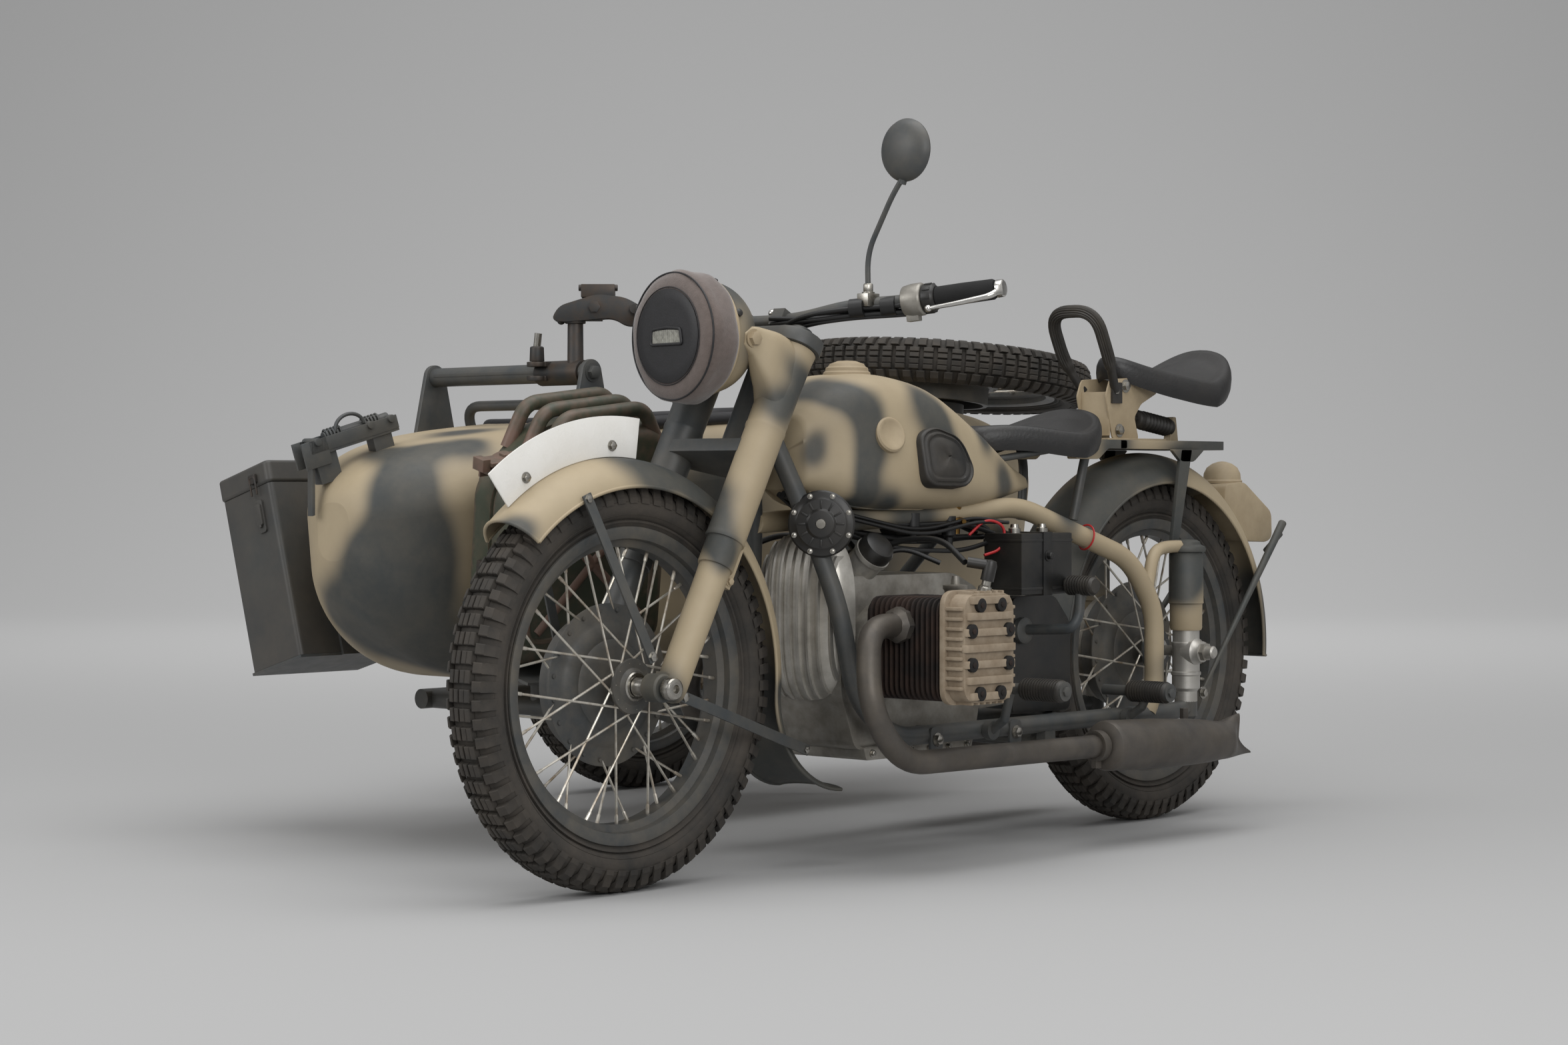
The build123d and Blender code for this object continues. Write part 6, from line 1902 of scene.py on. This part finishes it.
    def wires(self) -> None:
        """Cables that lie along the frame beside the engine."""
        shape = Shape()
        for x, lift in ((88, 8), (96, 0)):
            shape.tube([(x - 26, -300, 612 + lift), (x - 4, -200, 590 + lift), (x, -60, 566 + lift),
                        (x + 6, 90, 590 + lift), (x + 26, 150, 588)], 3.4, 60, 10)
        for x, drop, radius in ((52, 0, 6.0), (66, 14, 4.6), (40, 30, 5.4), (24, 8, 6.4), (8, 34, 5.0),
                                (70, 44, 4.2)):
            shape.tube([(x * 0.6, -330, 640), (x, -230, 612 - drop), (x + 6, -90, 604 - 1.4 * drop),
                        (x + 18, 60, 612 - 1.7 * drop), (x + 22, 150, 574 - 0.4 * drop)], radius, 70, 10)
        for y, z in ((-60, 606), (40, 600)):
            shape.turned(((0, 13), (34, 13), (38, 8), (52, 7)), (74, y, z), -Z_DIR, 20)
        shape.turned(((0, 24), (118, 24), (122, 18)), (20, -60, 586), Y_DIR, 28)
        make("loom_black", shape, Paints.BLACK_WIRE)
        loop = Shape()
        middle, along = np.array((105.0, 395.0, 560.0)), unit((0.2, 0.92, -0.33))
        u, v, _ = basis(along)
        loop.tube([middle + 23 * around(u, v, t) + along * 2 * t for t in np.linspace(0, 2 * pi, 40)], 1.8,
                  segments=8)
        loop.tube([(96, 70, 566), (108, 104, 596), (124, 140, 582), (122, 132, 540), (110, 96, 530)], 2.6, 22,
                  10)
        make("frame_tie_wire", loop, Paints.RED_WIRE)


@dataclass
class Sidecar:
    """The sidecar's tub with everything hung on it."""

    tub_x: float = -720.0
    can_lean: float = radians(15)
    can_yaw: float = radians(7)
    can_pitch: float = radians(7)
    locker_lean: float = radians(16)
    bar_y: float = -280.0
    bar_z: float = 862.0
    post_x: float = -552.0
    spots: tuple[tuple[float, float, float, float], ...] = ((-608, -645, 681, 46), (-590, -655, 626, 52),
                                                            (-600, -662, 557, 60), (-640, -689, 515, 50),
                                                            (-580, -625, 502, 58), (-614, -660, 440, 70),
                                                            (-696, -615, 716, 40), (-620, -575, 722, 36),
                                                            (-570, -520, 722, 36), (-745, -690, 430, 50),
                                                            (-690, -640, 360, 80), (-560, -520, 330, 90),
                                                            (-450, 0, 600, 130), (-455, 420, 480, 150),
                                                            (-470, 760, 640, 130), (-990, 60, 560, 150),
                                                            (-985, 560, 620, 160), (-720, 1010, 770, 140),
                                                            (-700, -430, 750, 60))

    def build(self) -> None:
        """Make the sidecar from the tub outwards."""
        self.tub()
        self.cockpit()
        self.nose_clip()
        self.locker()
        self.can()
        self.mount()
        self.fender()
        self.rail()

    def tub(self) -> None:
        """The pressed tub in camouflage."""
        paint_cad("sidecar_tub", Paints.CAMO, patch_list(*self.spots), 40)

    def cockpit(self) -> None:
        """Padded edge of the cockpit, seat and back cushions in black hide."""
        outline = rounded_outline(rectangle(-205, -215, 205, 430), 118, 12)
        path = [np.array((self.tub_x + x, y, 0)) for x, y in outline]
        table = ((-280, 768), (150, 794), (620, 814))
        for p in path:
            across = abs(p[0] - self.tub_x) / 262
            p[2] = np.interp(p[1], [t[0] for t in table], [t[1] for t in table]) - 3 - 30 * max(0,
                    across - 0.55) ** 1.5
        edge = Shape().tube(path + path[:2], 13, segments=16)
        piece = make("cockpit_edge_hide", edge, Paints.LEATHER, sharp_deg=70)
        cushions = Shape()
        for centre, size, level in (((0, 236), (360, 340), (438, 540)), ((0, 448), (368, 56), (470, 776))):
            half_x, half_y = size[0] / 2, size[1] / 2
            corners = rounded_outline(rectangle(-half_x, -half_y, half_x, half_y), min(half_y, 60) * 0.8, 7)
            rows = []
            for scale, lift in ((0.9, 0), (0.985, 0.05), (1, 0.2), (1, 0.8), (0.985, 0.93), (0.93, 1.0),
                                (0.7, 1.04), (0.3, 1.06), (0.02, 1.06)):
                z = level[0] + (level[1] - level[0]) * min(lift, 1) + (lift - 1 if lift > 1 else 0) * 130
                rows.append([(self.tub_x + centre[0] + x * scale, centre[1] + y * scale, z)
                             for x, y in corners])
            cushions.grid(rows, wrap_cols=True, cap=True)
        piece = make("sidecar_cushions", cushions, Paints.LEATHER, ["sidecar_seat"], sharp_deg=60)

    def nose_clip(self) -> None:
        """The sprung clamp on top of the nose, with a strap down its front."""
        along = unit((0.16, 0.94, 0.28))
        side = unit(np.cross(along, Z_DIR))
        axes = (along, side, np.cross(side, along))
        up = axes[2]
        base = np.array((-762.0, -735.0, 704.0))
        shape = Shape()
        for s in (-1, 1):
            shape.block(base + along * 92 + side * 17 * s + up * 16, (186, 5, 24), axes)
            shape.block(base + along * 10 + side * 17 * s + up * 4, (52, 5, 48), axes)
        shape.block(base + along * 92 + up * 2, (186, 36, 6), axes)
        shape.block(base + along * 30 - up * 26, (44, 26, 54), axes)
        shape.block(base + along * 150 - up * 16, (40, 26, 34), axes)
        shape.block(base - along * 4 - up * 40, (6, 18, 128), (along, side, Z_DIR))
        for k in (16, 128, 172):
            shape.rod(base + along * k - side * 25 + up * 24, base + along * k + side * 25 + up * 24, 7, 16)
        shape.rod(base + along * 40 + up * 26, base + along * 176 + up * 26, 9, 18)
        for first, turns in ((44, 5), (124, 5)):
            coil = [base + along * (first + 7 * t) + up * (26 + 12 * sin(2 * pi * t))
                    + side * 12 * cos(2 * pi * t) for t in np.linspace(0, turns, 18 * turns)]
            shape.tube(coil, 2.2, segments=8)
        hoop = [base + along * (92 + 30 * cos(t)) + up * (30 + 24 * sin(t)) + side * 10
                for t in np.linspace(0, pi, 20)]
        shape.tube(hoop, 3.6, segments=10)
        make("nose_clip_steel", shape, Paints.GREY, bevel=0.8)

    def locker(self) -> None:
        """The side locker: pressed box, lid and one toggle latch."""
        lx = np.array((cos(self.locker_lean), 0.0, sin(self.locker_lean)))
        lz = np.array((-sin(self.locker_lean), 0.0, cos(self.locker_lean)))
        at = np.array((-1028.0, -510.0, 482.0))
        paint_cad("locker", Paints.LOCKER, (), 35)
        paint_cad("locker_lid", Paints.LOCKER, (), 35)
        front = at - Y_DIR * 127 + lx * 34
        plate = Shape()
        plate.slab(rounded_outline(rectangle(-11, 78, 11, 140), 6), front + Y_DIR * 3, lx, lz, 5)
        plate.slab(rounded_outline(rectangle(-8, 92, 8, 132), 4), front - Y_DIR * 1, lx, lz, 5)
        plate.bolt(front - Y_DIR * 4 + lz * 90, -Y_DIR, 3.5, 3, 0)
        make("locker_latch", plate, Paints.LOCKER, bevel=0.8)
        hook = Shape()
        hook.slab(rounded_outline(rectangle(-10, 172, 10, 190), 4), front - Y_DIR * 1, lx, lz, 6)
        loop = [front - Y_DIR * 6 + lx * x + lz * z for x, z in ((-8, 150), (-8, 184), (8, 184), (8, 150))]
        hook.tube(loop, 2.0, 5, 8)
        make("locker_latch_hook", hook, Paints.GUN, body="locker_cover", bevel=0.5)

    def can_axes(self) -> tuple[np.ndarray, np.ndarray, np.ndarray]:
        """The can's own directions: out from the tub, back along it, and up.

        Returns:
            Three unit vectors.
        """
        yaw, pitch, lean = self.can_yaw, self.can_pitch, self.can_lean
        back = np.array((sin(yaw) * cos(pitch), cos(yaw) * cos(pitch), sin(pitch)))
        level = np.array((cos(yaw), -sin(yaw), 0.0))
        up = np.cross(level, back)
        return (level * cos(lean) - up * sin(lean), back, level * sin(lean) + up * cos(lean))

    def can(self) -> None:
        """The pressed fuel can: two shells welded at a flange, three bars, clip spout."""
        cx, cy, cz = self.can_axes()
        at = np.array((-366.0, -470.0, 575.0))
        outline = rounded_outline(((-170, -214), (170, -214), (170, 162), (136, 198), (-66, 198), (-112, 160),
                                   (-170, 96)), 30, 6)
        rows = []
        for x, scale in ((-70, 0.0), (-70, 0.86), (-68, 0.93), (-60, 0.965), (-46, 0.98), (-7, 0.99),
                         (-5, 1.0), (-3, 0.97), (3, 0.97), (5, 1.0), (7, 0.99), (46, 0.98), (60, 0.965),
                         (68, 0.93), (70, 0.86), (70, 0.0)):
            rows.append([at + cx * x + cy * y * scale + cz * z * scale for y, z in outline])
        shape = Shape().grid(rows, wrap_cols=True)
        for face in (-1, 1):
            for tilt in (-1, 1):
                ends = [at + cx * face * 66 + cy * k * 112 * tilt + cz * (k * 112 - 40) for k in (-1, 1)]
                shape.tube(ends, 10, 0, 14)
            ring = rounded_outline(rectangle(-132, -168, 132, 90), 34, 6)
            loop = [at + cx * face * 67 + cy * y + cz * z for y, z in np.vstack((ring, ring[:1]))]
            shape.tube(loop, 6, segments=10)
        for x in (-54, 0, 54):
            route = [(x, -104, 150), (x, -70, 226), (x, 104, 226), (x, 150, 140)]
            shape.tube([at + cx * px + cy * py + cz * pz for px, py, pz in route], 13, 26, 16)
        spout = at + cy * -132 + cz * 108
        shape.lathe(((0, 0), (0, 30), (14, 30), (18, 27), (44, 27), (50, 24), (52, 0)), spout,
                    unit(cz - 0.75 * cy), 32)
        make("fuel_can_shell", shape, Paints.GREEN, ["fuel_can"], sharp_deg=45)
        clip = Shape()
        tip = spout + unit(cz - 0.75 * cy) * 50
        clip.block(tip + cy * 4, (44, 64, 7), (cx, cy, cz))
        clip.block(tip + cy * 30 + cz * 7, (16, 46, 8), (cx, cy, cz))
        for side in (-1, 1):
            clip.block(tip + cx * side * 25 - cz * 16, (5, 40, 34), (cx, cy, cz))
        clip.rod(tip - cx * 32 - cz * 22 - cy * 12, tip + cx * 32 - cz * 22 - cy * 12, 5, 14)
        clip.block(tip - cy * 34 - cz * 2, (30, 16, 22), (cx, cy, cz))
        make("fuel_can_clip", clip, Paints.GREEN, bevel=1.2)
        strap = Shape()
        for y in (-178, 178):
            strap.block(at + cy * y - cz * 60, (40, 8, 54), (cx, cy, cz))
        strap.rod(at - cy * 196 - cz * 60 + cx * 10, at - cy * 170 - cz * 60 + cx * 10, 7, 14)
        make("fuel_can_strap", strap, Paints.GUN, bevel=1)
        bolt = Shape().bolt(at - cy * 196 - cz * 60 + cx * 10, -cy, 9, 9, 12)
        make("fuel_can_strap_bolt", bolt, Paints.STEEL)

    def mount(self) -> None:
        """The cross bar between two plates, with a clamped post and a swivel head."""
        bar, clamp, bolts = Shape(), Shape(), Shape()
        for x, out in ((-948, -1), (-512, 1)):
            top = [(24 * cos(t), self.bar_z + 24 * sin(t)) for t in np.linspace(0.12, pi - 0.12, 14)]
            outline = np.array([(72, 650)] + top + [(-72, 650)])
            bar.plate(outline + np.array((self.bar_y, 0)), x - 5, 10)
            bolts.bolt((x + out * 5, self.bar_y, self.bar_z), X_DIR * out, 13, 10, 18)
        bar.rod((-946, self.bar_y, self.bar_z), (-514, self.bar_y, self.bar_z), 18, 32)
        bar.block((-730, self.bar_y - 17.4, self.bar_z + 3), (400, 4, 7))
        make("cross_bar_paint", bar, Paints.GREY, ["swivel_base"], bevel=1.2)
        make("cross_bar_bolts", bolts, Paints.GREY)
        post = np.array((self.post_x, self.bar_y, self.bar_z))
        clamp.lathe(((-70, 17), (-70, 23), (44, 23), (44, 17)), post - X_DIR * 20, X_DIR, 32, closed=True)
        ears = post - X_DIR * 76
        for z in (-14, 12):
            clamp.turned(((0, 19), (9, 19)), ears + np.array((0, -26, z)), Z_DIR, 20)
            clamp.block(ears + np.array((6, -12, z + 4.5)), (32, 26, 9))
        clamp.turned(((22, 14), (48, 13), (50, 10)), ears - Y_DIR * 26, Z_DIR, 20)
        clamp.lathe(((0, 15), (0, 20), (10, 20), (13, 15), (92, 14.4), (92, 0)), post, Z_DIR, 32)
        make("swivel_clamp_iron", clamp, Paints.GUN, bevel=1)
        stud = Shape().rod(ears + np.array((0, -26, 48)), ears + np.array((4, -26, 74)), 7, 16)
        make("swivel_clamp_stud", stud, Paints.STEEL)
        self.head(post)

    def head(self, post: np.ndarray) -> None:
        """The head that turns on the post.

        Args:
            post: where the post's axis meets the bar's.
        """
        turn = radians(44)
        u = np.array((cos(turn), sin(turn), 0.0))
        v = np.cross(Z_DIR, u)
        base = post + Z_DIR * 92
        head, bright = Shape(), Shape()
        head.turned(((-2, 19), (14, 19), (16, 17)), base, Z_DIR, 30)
        cheek = rounded_outline(((-44, 4), (-30, 30), (40, 52), (92, 46), (128, 26), (122, -4), (96, -8),
                                 (70, 8), (-20, 0)), 14, 5)
        for offset in (-21, 13):
            head.slab(cheek, base + v * offset, u, Z_DIR, -8)
        head.block(base + u * 10 + Z_DIR * 14, (80, 30, 22), (u, v, Z_DIR))
        head.block(base + u * 42 + Z_DIR * 58, (62, 40, 24), (u, v, Z_DIR))
        head.rod(base + u * 6 + Z_DIR * 64 - v * 2, base + u * 78 + Z_DIR * 64 - v * 2, 6, 14)
        make("swivel_head_iron", head, Paints.GUN, ["swivel_head"], body="swivel", bevel=1.6)
        bright.rod(base + u * 110 + Z_DIR * 24 - v * 34, base + u * 110 + Z_DIR * 24 + v * 20, 9, 18)
        bright.bolt(base + u * 36 + Z_DIR * 28 - v * 29, -v, 11, 3, 0)
        bright.lathe(ball(8), base - u * 26 + Z_DIR * 4, Z_DIR, 16)
        make("swivel_head_pins", bright, Paints.GUN, body="swivel")

    def fender(self) -> None:
        """The sidecar wheel's fender, in camouflage."""
        patches = patch_list((-1170, 200, 600, 80), (-1150, 520, 705, 70), (-1180, 760, 560, 90))
        paint_cad("sidecar_fender", Paints.CAMO, patches, 50)

    def rail(self) -> None:
        """The tubular grab rail in front of the cockpit."""
        hoop = [(-895, -210, 715), (-895, -250, 806), (-530, -250, 806), (-530, -210, 715)]
        shape = Shape().tube(hoop, 10, 46, 20)
        for x in (-895, -530):
            shape.turned(((0, 19), (8, 19), (12, 13)), (x, -214, 752), Z_DIR, 24)
        make("grab_rail_paint", shape, Paints.GREY, ["grab_rail"])


def paint_cad(node: str, paint: Paints, patches: Sequence[Patch] = (), sharp_deg: float = 35) -> None:
    """Show a CAD node as it is, in a finish.

    Args:
        node: the node's name.
        paint: its finish.
        patches: sprayed patches, for camouflage.
        sharp_deg: edges bent by more than this stay sharp.
    """
    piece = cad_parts[node]
    piece.data.materials.clear()
    piece.data.materials.append(SHOP.get(paint, patches, node))
    piece.data.polygons.foreach_set("use_smooth", [True] * len(piece.data.polygons))
    piece.data.set_sharp_from_angle(angle=radians(sharp_deg))


@dataclass
class Studio:
    """Plain floor, soft light and the camera at the photo's angle."""

    camera_at: tuple[float, float, float] = (3465.2, -4065.7, 659.1)
    azimuth: float = 42.71
    elevation: float = 0.76
    lens_mm: float = 68.62
    floor_color: str = "#a9a9a9"

    def build(self) -> None:
        """Set the stage, the lights and the camera."""
        self.floor()
        self.lights()
        self.camera()

    def floor(self) -> None:
        """A seamless sweep: floor, round corner and wall behind the outfit."""
        a = radians(self.azimuth)
        back = Vector((-sin(a), cos(a), 0))
        side = Vector((cos(a), sin(a), 0))
        middle = row((-350, 150, 0))
        flat, bend, reach, wall = 9.0, 9.0, 60.0, 16.0
        profile = [(-reach, 0.0), (flat, 0.0)]
        profile += [(flat + bend * sin(t), bend - bend * cos(t)) for t in np.linspace(0.08, pi / 2, 24)]
        profile += [(flat + bend, wall)]
        mesh = bpy.data.meshes.new("studio_sweep")
        verts = [middle + back * d + side * s + Vector((0, 0, h)) for d, h in profile
                 for s in (-reach, reach)]
        faces = [(2 * i, 2 * i + 1, 2 * i + 3, 2 * i + 2) for i in range(len(profile) - 1)]
        mesh.from_pydata(verts, [], faces)
        mesh.polygons.foreach_set("use_smooth", [True] * len(mesh.polygons))
        material = bpy.data.materials.new("painted_studio_sweep")
        material.use_nodes = True
        shader = material.node_tree.nodes["Principled BSDF"]
        shader.inputs["Base Color"].default_value = linear(self.floor_color)
        shader.inputs["Roughness"].default_value = 0.9
        shader.inputs["Specular IOR Level"].default_value = 0.15
        mesh.materials.append(material)
        sweep = bpy.data.objects.new("studio_sweep", mesh)
        bpy.context.scene.collection.objects.link(sweep)

    def lights(self) -> None:
        """One broad overhead bank, a front fill and a dim world."""
        world = bpy.data.worlds.new("studio")
        world.use_nodes = True
        sky = world.node_tree.nodes["Background"]
        sky.inputs["Color"].default_value = linear("#f2f2f2")
        sky.inputs["Strength"].default_value = 0.62
        bpy.context.scene.world = world
        for name, at, target, size, power in (
                ("overhead_bank", (600, -500, 4600), (-350, 100, 300), (5.0, 4.0), 150),
                ("front_fill", (4200, -2600, 2200), (-200, 0, 500), (3.0, 2.0), 80),
                ("left_fill", (-1800, -4600, 2400), (-500, -200, 500), (3.0, 2.0), 55),
                ("wall_wash", (-4200, 4600, 7500), (-8800, 9500, 1500), (7.0, 4.0), 640)):
            lamp = bpy.data.lights.new(name, "AREA")
            lamp.shape = "RECTANGLE"
            lamp.size, lamp.size_y = size
            lamp.energy = power
            piece = bpy.data.objects.new(name, lamp)
            bpy.context.scene.collection.objects.link(piece)
            piece.location = row(at)
            piece.rotation_mode = "QUATERNION"
            piece.rotation_quaternion = (row(target) - row(at)).to_track_quat("-Z", "Y")

    def camera(self) -> None:
        """The camera where the photo was taken from."""
        a, e = radians(self.azimuth), radians(self.elevation)
        ahead = -Vector((sin(a) * cos(e), -cos(a) * cos(e), sin(e)))
        data = bpy.data.cameras.new("photo_camera")
        data.lens = self.lens_mm
        data.sensor_fit = "HORIZONTAL"
        data.sensor_width = 36
        data.clip_start, data.clip_end = 0.1, 100
        camera = bpy.data.objects.new("photo_camera", data)
        bpy.context.scene.collection.objects.link(camera)
        camera.location = row(self.camera_at)
        camera.rotation_mode = "QUATERNION"
        camera.rotation_quaternion = ahead.to_track_quat("-Z", "Y")
        bpy.context.scene.camera = camera
        bpy.context.scene.view_settings.view_transform = "Standard"


def paint_the_rest() -> None:
    """Give the CAD nodes that are shown as they are their finishes."""
    paint_cad("final_drive", Paints.ALLOY)
    for node in ("centre_stand", "sidecar_frame", "spare_carrier", "locker_bracket", "can_bracket",
                 "foot_pegs"):
        paint_cad(node, Paints.GREY)


def main() -> None:
    """Build everything in order."""
    logging.basicConfig(level=logging.INFO)
    for part in (Wheels(), Steering(), Engine(), Motorcycle(), Sidecar(), Studio()):
        LOG.info("building %s", type(part).__name__)
        part.build()
    paint_the_rest()


if __name__ == "__main__":
    main()
